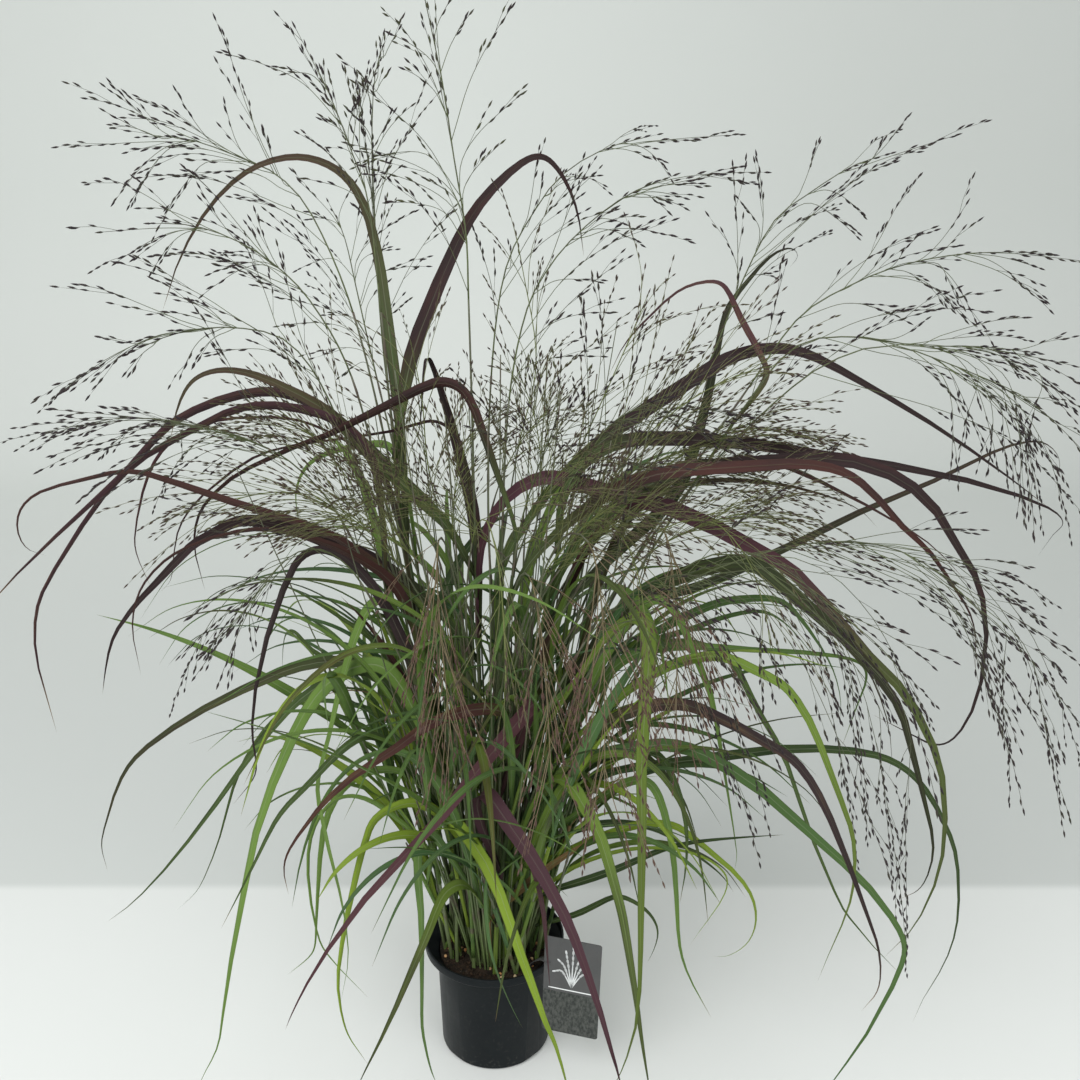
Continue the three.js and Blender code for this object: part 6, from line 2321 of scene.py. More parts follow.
INNER = (
    InnerRow((0, 12), 60, 2, 10, 0.85, 1, (0, 400, 12, 500, 25, 580, 40, 650, 30, 720, 22, 760)),
    InnerRow((-14, -6), -60, 2, 11, 0.85, 1, (-10, 380, -30, 480, -48, 560, -52, 620, -60, 670)),
    InnerRow((12, -14), -90, 2, 18, 0.95, 0.8, (20, 380, 60, 480, 105, 560, 150, 610, 200, 640,
        240, 650)),
    InnerRow((6, -34), -210, 2, 16, 0.9, 1, (10, 330, 30, 430, 60, 500, 95, 520, 120, 490, 132, 440,
        138, 380, 140, 320)),
    InnerRow((-8, -30), -240, 2, 16, 0.9, 1, (-6, 300, -20, 420, -14, 500, -2, 520, 8, 480, 12, 420,
        14, 350)),
    InnerRow((16, -24), -150, 2, 17, 1, 0.8, (20, 300, 70, 420, 130, 500, 180, 520, 215, 490, 235, 440,
        245, 390)),
    InnerRow((-24, 6), -40, 3, 14, 0.95, 0.8, (-20, 300, -60, 420, -100, 500, -150, 540, -200, 540,
        -240, 520)),
    InnerRow((16, 10), 20, 2, 10, 0.85, 1, (10, 400, 40, 500, 80, 590, 110, 660, 130, 710)),
    InnerRow((-6, -18), -60, 3, 30, 0.66, 1.25, (-10, 300, -24, 400, -36, 460, -50, 510, -66, 548,
        -82, 580)),
    InnerRow((4, -22), -90, 3, 32, 0.66, 1.35, (2, 300, 10, 410, 20, 470, 36, 520, 56, 556, 82, 582)),
    InnerRow((10, -6), -30, 3, 40, 0.95, 0.8, (14, 300, 34, 420, 54, 480, 84, 526, 124, 562, 170, 584)),
    InnerRow((0, -30), -130, 3, 28, 0.62, 1.3, (2, 260, 14, 360, 26, 420, 48, 474, 78, 512, 112, 538)),
    InnerRow((-14, -20), -100, 3, 31, 0.95, 0.85, (-16, 260, -34, 370, -50, 430, -76, 480, -110, 518,
        -150, 544)),
    InnerRow((16, 2), 0, 3, 32, 1.05, 0.72, (22, 320, 60, 450, 92, 508, 130, 552, 176, 586, 226, 606)),
    InnerRow((-4, 10), 30, 3, 28, 0.7, 1.3, (-6, 340, -8, 450, -2, 506, 10, 552, 30, 590, 56, 618)),
    InnerRow((-22, -4), -20, 3, 27, 0.95, 0.85, (-26, 320, -50, 440, -70, 496, -96, 544, -126, 580,
        -160, 602)),
    InnerRow((20, -12), -60, 3, 33, 1.05, 0.7, (26, 280, 60, 390, 92, 446, 134, 490, 184, 518,
        238, 530)),
    InnerRow((-30, 8), 40, 3, 14, 0.8, 0.85, (-36, 320, -64, 440, -86, 500, -112, 550, -140, 588,
        -170, 614)),
    InnerRow((18, -10), -60, 3, 34, 0.8, 0.95, (20, 300, 34, 400, 34, 458, 0, 500, -44, 530, -94, 550)),
    InnerRow((-16, -14), -80, 3, 34, 0.8, 0.95, (-18, 300, -30, 390, -22, 446, 22, 492, 74, 526,
        130, 546)),
    InnerRow((6, 0), 0, 3, 32, 0.75, 1.15, (6, 300, 0, 400, -16, 450, -30, 500, -24, 560, -4, 620)),
    InnerRow((12, -20), -120, 3, 36, 0.85, 0.9, (14, 280, 22, 370, 36, 430, 60, 476, 96, 512,
        140, 530)),
    InnerRow((-8, -24), -110, 3, 34, 0.8, 0.95, (-8, 280, -14, 380, -30, 440, -62, 486, -104, 516,
        -150, 526)),
    InnerRow((2, 6), 40, 3, 30, 0.7, 1.2, (2, 320, 10, 420, 30, 480, 44, 540, 40, 600, 24, 650)),
    InnerRow((22, 4), 10, 3, 27, 0.9, 0.85, (24, 320, 44, 420, 78, 486, 122, 530, 172, 556, 222, 562)),
    InnerRow((-10, -30), -225, 3, 24, 0.8, 0.6, (-6, 300, -22, 420, -34, 490, -42, 502, -44, 455,
        -40, 380, -34, 290), True),
    InnerRow((2, -36), -240, 3, 28, 0.85, 0.7, (10, 320, 36, 440, 60, 502, 84, 500, 96, 440, 100, 340,
        102, 236), True),
    InnerRow((10, -30), -180, 3, 24, 0.85, 0.7, (14, 330, 70, 450, 118, 520, 146, 512, 158, 452,
        162, 390, 162, 326), True),
    InnerRow((-2, -34), -250, 3, 20, 0.75, 0.6, (4, 300, 14, 400, 22, 460, 34, 470, 44, 420, 50, 340,
        54, 262), True),
)


@dataclass
class InnerPanicle:
    """A younger or ripe panicle inside the plant, with its thin culm."""

    index: int
    row: InnerRow
    scale: float = 0.8
    gap: float = 9.0

    def make(self, stocks: Stocks, finishes: Finishes) -> None:
        """Builds the piece.

        Args:
            stocks: The templates.
            finishes: The materials.
        """
        row = self.row
        stem = FloweringStem(self.index, StemRow(row.root, row.lean, row.head, row.line))
        rnd = mulberry(INNER_SEED + self.index)
        bundle = Bundle()
        bundle.lay(stocks.culm, lay_culm(stem.line, 0, stem.head, 1.2, 0.6, rnd()))
        dresser = Spray(stocks, bundle, rnd, fresh=0.2, stalk_r=0.36 if row.ripe else 0.29,
                        scale=self.scale, gap=self.gap)
        dresser.dress(stem.axis, (0.55, 0.3), (0.0, 0.0),
                      open_branches(stem.axis, row.branches, rnd, row.reach, row.spread))
        stalk = finishes.ripe_stalk if row.ripe else finishes.young_stalk
        spikelet = finishes.ripe_spikelet if row.ripe else finishes.young_spikelet
        piece = bundle.make(f"inner_spray_{self.index + 1}",
                            {stocks.culm: finishes.culm, stocks.stalk: stalk,
                             stocks.twig: stalk, stocks.spikelet: spikelet})
        shown(piece, "panicle_straw")


@dataclass(frozen=True)
class FinerRow:
    """A slighter blade on the front elevation: its tone, width, depths at both ends and its line."""

    tone: Tone
    width: float
    near: float
    far: float
    roll: float
    line: tuple[float, ...]


FINER = (
    FinerRow(Tone.TEAL, 4.5, -66, -120, 60, (-4, 190, -8, 155, -5, 100, 2, 67, 14, 31, 26, 2)),
    FinerRow(Tone.PURPLE, 7, -80, -130, 70, (24, 225, 35, 190, 42, 165, 47, 133, 50, 89, 53, 45)),
    FinerRow(Tone.GREEN, 5, -20, -70, 60, (-30, 150, -60, 205, -105, 252, -140, 258, -165, 225,
        -173, 175, -168, 110, -158, 85, -140, 60, -123, 38)),
    FinerRow(Tone.TEAL, 12, -20, -90, 66, (-6, 170, -22, 280, -48, 338, -85, 340, -110, 330, -128, 318,
        -142, 304)),
    FinerRow(Tone.DARK, 9, -10, 70, 60, (16, 220, 36, 350, 66, 460, 100, 520, 160, 558, 200, 572,
        238, 568, 286, 547, 331, 523, 372, 498, 410, 460)),
    FinerRow(Tone.LIME, 4, -30, -90, 60, (26, 130, 60, 176, 120, 204, 180, 202, 216, 178, 214, 150,
        196, 118, 185, 98)),
    FinerRow(Tone.TEAL, 10, -50, -70, 74, (4, 150, -2, 260, 0, 330, 12, 372, 30, 386, 48, 372)),
    FinerRow(Tone.GREEN, 9, -60, -110, 70, (-12, 140, -34, 240, -70, 300, -112, 300, -150, 262,
        -176, 200, -190, 140)),
    FinerRow(Tone.OLIVE, 8, -50, -120, 66, (20, 150, 52, 250, 92, 300, 138, 296, 172, 250, 192, 190,
        202, 120)),
)


@dataclass
class Undergrowth:
    """The many thinner shoots and leaves that fill the plant between its main stems."""

    shoots: int = 27
    leaves_each: int = 3
    thin_culms: int = 76
    crown_r: float = 42.0
    shoot_r: float = 1.35
    thin_r: float = 0.95
    crest: float = 480.0
    box: tuple[Point, Point] = ((-470, -315, 4), (533, 314, 928))

    def keeps(self, line: Line) -> bool:
        """Tells whether a leaf stays in the plant's box and out of the pot and tag's sight.

        Args:
            line: The leaf's line.

        Returns:
            True where it does.
        """
        low, high = self.box
        for p in line.run:
            if not all(a < v < b for a, v, b in zip(low, p, high)):
                return False
            f = 1 + p[1] / EYE_Y
            x, z = EYE_X + (p[0] - EYE_X) / f, elevation(p)
            if z > self.crest or (p[1] < 20 and z < 118 and -62 < x < 104):
                return False
        return True

    def make(self, stocks: Stocks, finishes: Finishes) -> None:
        """Builds the shoots in four pieces by their place round the crown.

        Args:
            stocks: The templates.
            finishes: The materials.
        """
        rnd = mulberry(UNDERGROWTH_SEED)
        bundles = [Bundle() for _ in range(4)]
        for i in range(self.shoots):
            a = 2 * math.pi * i * 0.618
            r = self.crown_r * math.sqrt((i + 0.5) / self.shoots)
            x, y = r * math.cos(a), r * math.sin(a) * 0.9
            tall = 130 + 230 * rnd() * (1 - 0.3 * r / self.crown_r)
            out = (14 + r * (1.1 + 1.5 * rnd())) * tall / 330
            top = (x + out * math.cos(a) * 1.25, y + out * math.sin(a), 100 + tall)
            line = flow([(x, y, 90), (x, y, 106), mix((x, y, 104), top, 0.45), top])
            bundle = bundles[int((a / (math.pi / 2)) % 4)]
            bundle.lay(stocks.culm, lay_culm(line, 0, line.length, self.shoot_r, 0.7, rnd()))
            for b in range(self.leaves_each):
                self.add_leaf(bundle, stocks, line, a, 0.44 + 0.25 * b, rnd)
        for i in range(self.thin_culms):
            self.add_culm(bundles[i % 4], stocks, rnd)
        for i, row in enumerate(FINER):
            count = len(row.line) // 2
            line = eased(flow([lift(row.line[2 * j], row.line[2 * j + 1],
                                    row.near + (row.far - row.near) * j / (count - 1))
                               for j in range(count)]))
            grown = Growth([], line, row.width, row.roll, 0)
            bundles[i % 4].lay(stocks.blade, lay_blade(grown, row.tone, rnd()))
        for k, bundle in enumerate(bundles):
            piece = bundle.make(f"inner_shoots_{k + 1}",
                                {stocks.culm: finishes.culm, stocks.blade: finishes.green_blade,
                                 stocks.sheath: finishes.green_blade})
            shown(piece, "green_blade")

    def add_culm(self, bundle: Bundle, stocks: Stocks, rnd: Draw) -> None:
        """Adds a thin bare culm that stands nearly upright in the middle.

        Args:
            bundle: The bundle that takes it.
            stocks: The templates.
            rnd: The random generator.
        """
        a, r = 2 * math.pi * rnd(), 38 * math.sqrt(rnd())
        x, y, tall = r * math.cos(a), r * math.sin(a), 240 + 330 * rnd()
        lean = (0.06 + 0.2 * rnd()) * tall * (0.4 + r / 38)
        top = (x * 1.2 + lean * math.cos(a), y + 0.7 * lean * math.sin(a), 100 + tall)
        line = flow([(x, y, 90), (x, y, 106), mix((x, y, 104), top, 0.5), top])
        bundle.lay(stocks.culm, lay_culm(line, 0, line.length, self.thin_r, 0.4, rnd()))

    def add_leaf(self, bundle: Bundle, stocks: Stocks, line: Line, out: float, share: float,
                 rnd: Draw) -> None:
        """Adds one leaf to an inner shoot.

        Args:
            bundle: The bundle that takes it.
            stocks: The templates.
            line: The shoot's line.
            out: The direction outwards.
            share: Where it leaves the shoot, as a share of its length.
            rnd: The random generator.
        """
        s = line.length * min(0.99, share + 0.08 * (rnd() - 0.5))
        for _ in range(8):
            azimuth = out + (rnd() - 0.5) * 4.2
            length = 140 + 200 * rnd()
            rise, fall = 44 + 42 * rnd(), 50 - 125 * rnd()
            if rnd() < 0.36:
                fall = rise - 8 - 30 * rnd()
            leaf = arch_line(line.point(s), azimuth, length, rise, fall, (rnd() - 0.5) * 1.8)
            if self.keeps(leaf):
                break
        else:
            return
        pick = rnd()
        tone = (Tone.LIME if pick < 0.2 else Tone.GREEN if pick < 0.62 else
                Tone.TEAL if pick < 0.78 else Tone.OLIVE if pick < 0.93 else
                Tone.BROWN if pick < 0.96 else Tone.STRAW)
        width = (5.5 + 6.5 * rnd()) * (0.6 if tone is Tone.STRAW else 1.0)
        grown = Growth([], leaf, width, (rnd() - 0.5) * 90, (rnd() - 0.5) * 60)
        seed = rnd()
        bundle.lay(stocks.blade, lay_blade(grown, tone, seed))
        bundle.lay(stocks.sheath,
                   lay_sheath(line, s, 55 + 40 * rnd(), self.shoot_r, tone, seed))


# ---------------------------------------------------------------- pot, mix and tag
def bevelled(bm: bmesh.types.BMesh, edges: list[bmesh.types.BMEdge], width: float,
             segments: int, clamp: bool = False) -> None:
    """Bevels edges by a width, with so many segments."""
    bmesh.ops.bevel(bm, geom=edges, offset=width, offset_type="OFFSET", segments=segments,
                    profile=0.5, affect="EDGES", material=-1, clamp_overlap=clamp)


def spun(name: str, profile: Sequence[tuple[float, float]], steps: int,
         bevel: float) -> bpy.types.Object:
    """Makes a turned body.

    Args:
        name: The piece's name.
        profile: Radius and height of each corner, from the axis outwards and back to the axis.
        steps: The number of sides.
        bevel: The width of the bevel on its hard edges, or 0.

    Returns:
        The object, in millimetres still.
    """
    bm = bmesh.new()
    corners = [bm.verts.new((r, 0, z)) for r, z in profile]
    edges = [bm.edges.new(pair) for pair in zip(corners, corners[1:])]
    bmesh.ops.spin(bm, geom=corners + edges, cent=(0, 0, 0), axis=(0, 0, 1),
                   angle=2 * math.pi, steps=steps, use_merge=True)
    bmesh.ops.remove_doubles(bm, verts=bm.verts[:], dist=0.01)
    bmesh.ops.recalc_face_normals(bm, faces=bm.faces[:])
    hard = [e for e in bm.edges if len(e.link_faces) == 2 and e.calc_face_angle() > 0.5]
    if bevel:
        bevelled(bm, hard, bevel, 2, True)
    for face in bm.faces:
        face.smooth = True
    return stand(written(bm, name))


def applied(obj: bpy.types.Object) -> bpy.types.Object:
    """Turns an object's modifiers into its mesh.

    Args:
        obj: The object.

    Returns:
        The same object.
    """
    bpy.context.view_layer.update()
    graph = bpy.context.evaluated_depsgraph_get()
    made = bpy.data.meshes.new_from_object(obj.evaluated_get(graph))
    made.name = obj.name
    obj.modifiers.clear()
    obj.data = made
    return obj


def in_metres(obj: bpy.types.Object, finish: bpy.types.Material) -> bpy.types.Object:
    """Scales a mesh to metres and gives it its finish.

    Args:
        obj: The object, in millimetres.
        finish: Its material.

    Returns:
        The same object.
    """
    obj.data.transform(Matrix.Scale(MM, 4))
    obj.data.materials.clear()
    obj.data.materials.append(finish)
    return obj


@dataclass
class NurseryPot:
    """A thin-walled round pot with a stepped collar and four drain notches."""

    steps: int = 96

    def make(self, finishes: Finishes) -> None:
        """Builds the pot.

        Args:
            finishes: The materials.
        """
        inner = POT_TOP_R - POT_WALL
        base = POT_BASE_R - POT_WALL
        shell = spun("nursery_pot", (
            (0, 2.2), (38, 2.2), (39, 0), (POT_BASE_R - 2, 0), (POT_BASE_R, 2.4),
            (POT_TOP_R - 0.6, 93), (POT_TOP_R, 97), (POT_LIP_R - 0.9, 103.6), (POT_LIP_R, 104.6),
            (POT_LIP_R, POT_H), (POT_LIP_R - 1.8, POT_H), (POT_LIP_R - 2.4, 105.4),
            (inner, 98.2), (base, POT_FLOOR + 2), (base - 1, POT_FLOOR + 1), (0, POT_FLOOR + 1)),
            self.steps, 0.35)
        cutter = self.notches()
        cut = shell.modifiers.new("notches", "BOOLEAN")
        cut.object = cutter
        cut.operation = "DIFFERENCE"
        cut.solver = "EXACT"
        applied(shell)
        bpy.data.objects.remove(cutter)
        shown(in_metres(shell, finishes.plastic), "pot_plastic", "pot")

    def notches(self) -> bpy.types.Object:
        """Returns the four wedges that open the drain notches.

        Returns:
            The wedges, as one object.
        """
        bm = bmesh.new()
        for k in range(4):
            made = bmesh.ops.create_cube(bm, size=1)["verts"]
            bmesh.ops.scale(bm, verts=made, vec=(11, 24, 9.6))
            bmesh.ops.translate(bm, verts=made, vec=(52.5, 0, 3.8))
            inner = [v for v in made if v.co.x < 50 and v.co.z > 5]
            bmesh.ops.translate(bm, verts=inner, vec=(0, 0, -9.0))
            bmesh.ops.rotate(bm, verts=made, cent=(0, 0, 0),
                             matrix=Matrix.Rotation(math.pi / 4 + k * math.pi / 2, 3, "Z"))
        return stand(written(bm, "notch_wedges"))


class Grit(Repeated):
    """A small rough grain, scattered many times."""

    def __init__(self, name: str, fineness: int, roughness: float) -> None:
        """Builds the grain from an icosphere.

        Args:
            name: The grain's name.
            fineness: The icosphere's subdivisions.
            roughness: How far its surface goes in and out.
        """
        super().__init__(name)
        bm = bmesh.new()
        bmesh.ops.create_icosphere(bm, subdivisions=fineness, radius=1)
        for vert in bm.verts:
            vert.co *= 1 + roughness * noise.noise(vert.co * 1.7 + Vector((3.1, 0, 0)))
        self.keep(bm)

    def scatter(self, name: str, spots: np.ndarray, sizes: np.ndarray, rnd: np.random.Generator,
                finish: bpy.types.Material) -> bpy.types.Object:
        """Writes the grains as one piece.

        Args:
            name: The piece's name.
            spots: The middle of each grain.
            sizes: The half sizes of each along its own axes.
            rnd: The random generator for the turns.
            finish: The material.

        Returns:
            The piece's object.
        """
        bm = bmesh.new()
        self.append_to(bm, len(spots))
        turn = np.linalg.qr(rnd.normal(size=(len(spots), 3, 3)))[0]
        turn[np.linalg.det(turn) < 0, :, 0] *= -1
        co = np.einsum("nij,nvj->nvi", turn, self.points[None] * sizes[:, None, :])
        mesh = written(bm, name)
        mesh.vertices.foreach_set("co", ((co + spots[:, None]) * MM).ravel())
        mesh.materials.append(finish)
        mesh.update()
        return stand(mesh)


@dataclass
class PottingMix:
    """The bed of potting mix with its crumbs and fertiliser beads."""

    crumbs: int = 620
    beads: int = 46
    seed: int = 77

    def height(self, x: float, y: float) -> float:
        """Returns the bed's height at a place.

        Args:
            x: The place across.
            y: The place in depth.

        Returns:
            The height.
        """
        r = math.hypot(x, y)
        crown = 99.6 + 2.2 * (1 - smooth(10, 52, r))
        rough = noise.noise(Vector((x * 0.09, y * 0.09, 1.0)))
        fine = noise.noise(Vector((x * 0.4, y * 0.4, 5.0)))
        return crown + (0.9 * rough + 0.5 * fine) * (1 - smooth(46, 52, r))

    def make(self, finishes: Finishes) -> None:
        """Builds the bed, the crumbs and the beads.

        Args:
            finishes: The materials.
        """
        rim = POT_TOP_R - POT_WALL - FIT_GAP - 0.6
        low = POT_BASE_R - POT_WALL - FIT_GAP - 0.5
        top = [(r, 99.0) for r in np.linspace(rim, 0, 24)]
        bed = spun("potting_mix_bed", [(0, POT_FLOOR + 1.4), (low - 1, POT_FLOOR + 1.4), (low, 8),
                                       *top], 72, 0)
        for vert in bed.data.vertices:
            if vert.co.z > 90:
                vert.co.z = self.height(vert.co.x, vert.co.y)
        shown(in_metres(bed, finishes.mix), "potting_mix", "potting_mix")
        rnd = np.random.default_rng(self.seed)
        for name, count, fineness, rough, finish in (
                ("mix_crumbs", self.crumbs, 1, 0.55, finishes.crumb),
                ("feed_beads", self.beads, 2, 0.05, finishes.bead)):
            angle = rnd.uniform(0, 2 * math.pi, count)
            radius = 50 * np.sqrt(rnd.uniform(0, 1, count))
            x, y = radius * np.cos(angle), radius * np.sin(angle)
            beads = finish is finishes.bead
            half = (rnd.uniform(1.45, 1.7, (count, 1)) * np.ones(3) if beads
                    else rnd.uniform(0.5, 2.3, (count, 1)) * rnd.uniform(0.5, 1.2, (count, 3)))
            z = np.array([self.height(a, b) for a, b in zip(x, y)]) + half.min(axis=1) * 0.35
            grain = Grit(name, fineness, rough)
            piece = grain.scatter(name, np.column_stack([x, y, z]), half, rnd, finish)
            grain.clear()
            shown(piece, "potting_mix")


@dataclass
class PictureTag:
    """A plastic picture tag hooked over the rim, with a drawn sprig of grass on its panel."""

    corner: float = 2.5
    ink: float = 0.06

    @property
    def place(self) -> Matrix:
        """The tag's own axes: across, through it and up, from its lower left corner."""
        return (Matrix.Translation((44.6, -50, 47)) @ Matrix.Rotation(-0.25, 4, "Z")
                @ Matrix.Rotation(0.03, 4, "Y"))

    def make(self, stocks: Stocks, finishes: Finishes) -> None:
        """Builds the sheet, its hook and the printed sprig.

        Args:
            stocks: The templates.
            finishes: The materials.
        """
        bm = bmesh.new()
        bmesh.ops.create_cube(bm, size=1)
        bmesh.ops.scale(bm, verts=bm.verts[:], vec=(TAG_W, TAG_T, TAG_H))
        bmesh.ops.translate(bm, verts=bm.verts[:], vec=(TAG_W / 2, 0, TAG_H / 2))
        through = [e for e in bm.edges if abs(e.verts[0].co.y - e.verts[1].co.y) > 0.1]
        bevelled(bm, through, self.corner, 6)
        bevelled(bm, [e for e in bm.edges if e.calc_face_angle() > 0.9], 0.15, 2)
        mesh = written(bm, "tag_sheet")
        at = mesh.attributes.new("tag_at", "FLOAT_VECTOR", "POINT")
        for vert, spot in zip(mesh.vertices, at.data):
            spot.vector = (vert.co.x / TAG_W, vert.co.z / TAG_H, vert.co.y)
        mesh.transform(self.place)
        shown(in_metres(stand(mesh), finishes.tag), "tag_plastic", "picture_tag")
        shown(self.hook(stocks, finishes), "tag_plastic")
        shown(self.sprig(stocks, finishes), "tag_plastic")

    def hook(self, stocks: Stocks, finishes: Finishes) -> bpy.types.Object:
        """Returns the tongue that bends over the rim into the mix.

        Args:
            stocks: The templates.
            finishes: The materials.

        Returns:
            The piece.
        """
        way = flow([(53, -52.2, 121), (46.6, -45.2, 120), (40.6, -39.4, 114), (35.6, -34.6, 106),
                    (34, -33, 102), (34, -33, 88)])
        at = np.linspace(0, way.length, STRIP_RINGS)
        centre = np.array([way.point(s) for s in at])
        go = np.array([way.heading(s) for s in at])
        across = np.tile(np.array([0.695, 0.719, 0.0]), (STRIP_RINGS, 1))
        out = unit_rows(np.cross(go, across))
        bundle = Bundle()
        bundle.lay(stocks.strip, lay_strip(centre, across * 4, out * 0.4))
        piece = bundle.make("tag_hook", {stocks.strip: finishes.tag})
        at = piece.data.attributes.new("tag_at", "FLOAT_VECTOR", "POINT")
        for spot in at.data:
            spot.vector = (0.1, 0.8, 0.0)
        return piece

    def sprig(self, stocks: Stocks, finishes: Finishes) -> bpy.types.Object:
        """Returns the printed sprig: a few arching strokes with grains at their ends.

        Args:
            stocks: The templates.
            finishes: The materials.

        Returns:
            The piece.
        """
        bundle = Bundle()
        place = self.place
        out = np.array(place.to_3x3() @ Vector((0, -1, 0)))
        strokes = [(26.0, 51.5, 26 + dx, top, bow) for dx, top, bow in
                   ((-12, 78, -9), (-6, 88, -5), (0.5, 94, 1), (7, 87, 6), (13, 77, 10),
                    (-16, 66, -10), (17, 65, 11))]
        for x0, z0, x1, z1, bow in strokes:
            middle = ((x0 + x1) / 2 + bow * 0.1, (z0 + z1) / 2 + abs(bow) * 0.8)
            flat = flow([(x0, -TAG_T / 2, z0), (middle[0], -TAG_T / 2, middle[1]),
                         (x1, -TAG_T / 2, z1)])
            centre = np.array([place @ Vector(flat.point(s))
                               for s in np.linspace(0, flat.length, STRIP_RINGS)])
            go = unit_rows(np.gradient(centre, axis=0))
            side = unit_rows(np.cross(np.tile(out, (STRIP_RINGS, 1)), go))
            half = np.linspace(0.75, 0.3, STRIP_RINGS)[:, None]
            bundle.lay(stocks.strip,
                       lay_strip(centre, side * half, np.tile(out * self.ink, (STRIP_RINGS, 1))))
            for share in (0.62, 0.75, 0.88, 1.0):
                spot = place @ Vector(flat.point(flat.length * share))
                way = flat.heading(flat.length * share)
                self.grain(bundle, stocks, spot, place.to_3x3() @ Vector(way), out)
        return bundle.make("tag_sprig", {stocks.strip: finishes.ink})

    def grain(self, bundle: Bundle, stocks: Stocks, spot: Vector, way: Vector,
              out: np.ndarray) -> None:
        """Adds one printed grain at a spot, along a direction.

        Args:
            bundle: The bundle that takes it.
            stocks: The templates.
            spot: Its middle.
            way: Its direction.
            out: The direction out of the tag's face.
        """
        f = np.linspace(-1, 1, STRIP_RINGS)
        centre = np.array(spot)[None] + np.array(way)[None] * 2.4 * f[:, None]
        side = np.cross(out, np.array(way))
        half = 0.95 * np.sqrt(np.clip(1.02 - f * f, 0.02, 1))[:, None]
        bundle.lay(stocks.strip, lay_strip(centre, side[None] * half,
                                           np.tile(out * self.ink, (STRIP_RINGS, 1))))


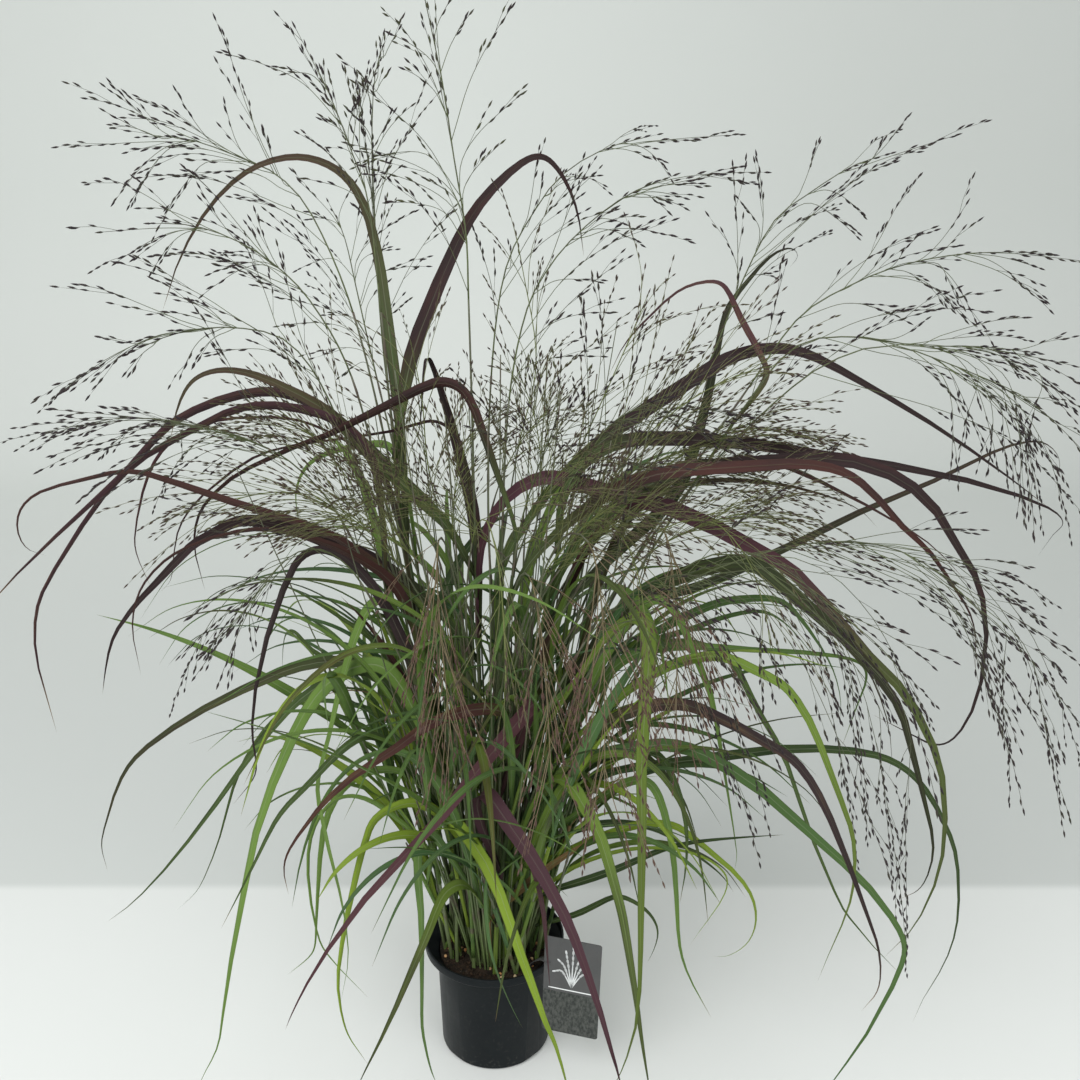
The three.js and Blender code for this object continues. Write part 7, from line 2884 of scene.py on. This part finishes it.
# ---------------------------------------------------------------- the stage
@dataclass
class Stage:
    """A pale floor that sweeps up behind, soft lights and the camera."""

    near: Colour = (0.67, 0.69, 0.675)
    # low is painted shade: the rear sweep's darker colour near the floor. shade is the painted shade
    # mixed in towards the right.
    low: Colour = (0.54, 0.565, 0.55)
    far: Colour = (0.75, 0.78, 0.755)
    shade: Colour = (0.4, 0.42, 0.405)
    fleck: Colour = (0.5, 0.52, 0.5)
    sky: Colour = (0.94, 0.955, 0.945)
    sky_strength: float = 0.66
    lens: float = 36.07
    sensor: float = 36.0
    tilt: float = 72.5

    def make(self) -> None:
        """Builds the stage."""
        self.floor()
        world = bpy.data.worlds.new("studio")
        bpy.context.scene.world = world
        world.use_nodes = True
        sky = world.node_tree.nodes["Background"]
        sky.inputs["Color"].default_value = (*self.sky, 1)
        sky.inputs["Strength"].default_value = self.sky_strength
        self.lamp("key_panel", (-0.9, -1.5, 2.2), 2.0, 62.0)
        self.lamp("fill_panel", (1.3, -1.6, 1.4), 1.6, 20.0)
        self.camera()
        bpy.context.scene.view_settings.view_transform = "Standard"

    def floor(self) -> None:
        """Builds the floor and the rear sweep as one sheet."""
        bm = bmesh.new()
        run = [(-3.5, 0.0), (2.0, 0.0)]
        run += [(2.0 + 0.8 * math.sin(a), 0.8 - 0.8 * math.cos(a))
                for a in np.linspace(0.1, math.pi / 2, 12)]
        run.append((2.8, 4.0))
        spots = [bm.verts.new((-5.0, y, z)) for y, z in run]
        edges = [bm.edges.new(pair) for pair in zip(spots, spots[1:])]
        made = bmesh.ops.extrude_edge_only(bm, edges=edges)["geom"]
        moved = [v for v in made if isinstance(v, bmesh.types.BMVert)]
        bmesh.ops.translate(bm, verts=moved, vec=(10.0, 0, 0))
        bmesh.ops.recalc_face_normals(bm, faces=bm.faces[:])
        if sum(f.normal.z for f in bm.faces) < 0:
            bmesh.ops.reverse_faces(bm, faces=bm.faces[:])
        for face in bm.faces:
            face.smooth = True
        mesh = written(bm, "stage_floor")
        mesh.materials.append(self.paper())
        stand(mesh)

    def paper(self) -> bpy.types.Material:
        """Returns the floor's pale paper, a little darker behind and to the right: the grey-green
        behind is the backdrop's own colour, and its darkening low down and towards the right is painted
        shade.

        Returns:
            The material.
        """
        g = Coat("stage_paper")
        place = g.place()
        x, y, _ = g.split(place)
        grain = g.noise(place, 3.0)
        # Painted shade: the rear sweep is darker near the floor (low) than higher up (far), and darker
        # towards the right (shade).
        rear = g.mix(y.step(0.2, 2.6), self.low, self.far)
        rear = g.mix(x.step(-0.5, 1.3) * 0.24, rear, self.shade)
        colour = g.mix(y.step(0.222, 0.24), self.near, rear)
        g.feed(Base_Color=g.mix(grain * 0.06, colour, self.fleck), Roughness=grain * 0.1 + 0.75)
        return g.material

    def lamp(self, name: str, spot: Point, width: float, power: float) -> None:
        """Adds a square soft light that faces the plant.

        Args:
            name: The lamp's name.
            spot: Where it hangs, in metres.
            width: Its width, in metres.
            power: Its power, in watts.
        """
        lamp = bpy.data.lights.new(name, "AREA")
        lamp.size = width
        lamp.energy = power
        obj = bpy.data.objects.new(name, lamp)
        obj.location = spot
        aim = Vector((0.0, 0.0, 0.4)) - Vector(spot)
        obj.rotation_euler = aim.to_track_quat("-Z", "Y").to_euler()
        bpy.context.scene.collection.objects.link(obj)

    def camera(self) -> None:
        """Adds the camera at the plant's front, a little above it."""
        lens = bpy.data.cameras.new("front_camera")
        lens.lens = self.lens
        lens.sensor_width = self.sensor
        obj = bpy.data.objects.new("front_camera", lens)
        obj.location = (EYE_X * MM, -EYE_Y * MM, EYE_Z * MM)
        obj.rotation_euler = (math.radians(self.tilt), 0, 0)
        bpy.context.scene.collection.objects.link(obj)
        bpy.context.scene.camera = obj


def grow_plant() -> tuple[list[FloweringStem], list[LeafyShoots]]:
    """Grows every main piece in one order, each where the earlier ones leave room.

    Returns:
        The flowering stems and the leafy shoots.
    """
    room = Room()
    stems = [FloweringStem(i, row) for i, row in enumerate(STEMS)]
    for stem in stems:
        stem.claim(room)
    for row in BLADES:
        stems[row.stem].add_traced(row, room)
    for stem in stems:
        stem.add_branches(room)
    for stem in stems:
        if sum(row.stem == stem.index for row in BLADES) < 4:
            stem.add_leaf(room)
    shoots = [LeafyShoots(i, root) for i, root in enumerate(SHOOTS)]
    for shoot in shoots:
        shoot.grow(room)
    return stems, shoots


def main() -> None:
    """Builds every piece in order, then the stage."""
    logging.basicConfig(level=logging.INFO, format="%(name)s %(message)s")
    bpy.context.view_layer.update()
    finishes = Finishes()
    stocks = Stocks()
    NurseryPot().make(finishes)
    PottingMix().make(finishes)
    PictureTag().make(stocks, finishes)
    stems, shoots = grow_plant()
    for stem in stems:
        stem.make(stocks, finishes)
    for shoot in shoots:
        shoot.make(stocks, finishes)
    Undergrowth().make(stocks, finishes)
    for i, row in enumerate(INNER):
        InnerPanicle(i, row).make(stocks, finishes)
    stocks.clear()
    Stage().make()


if __name__ == "__main__":
    main()
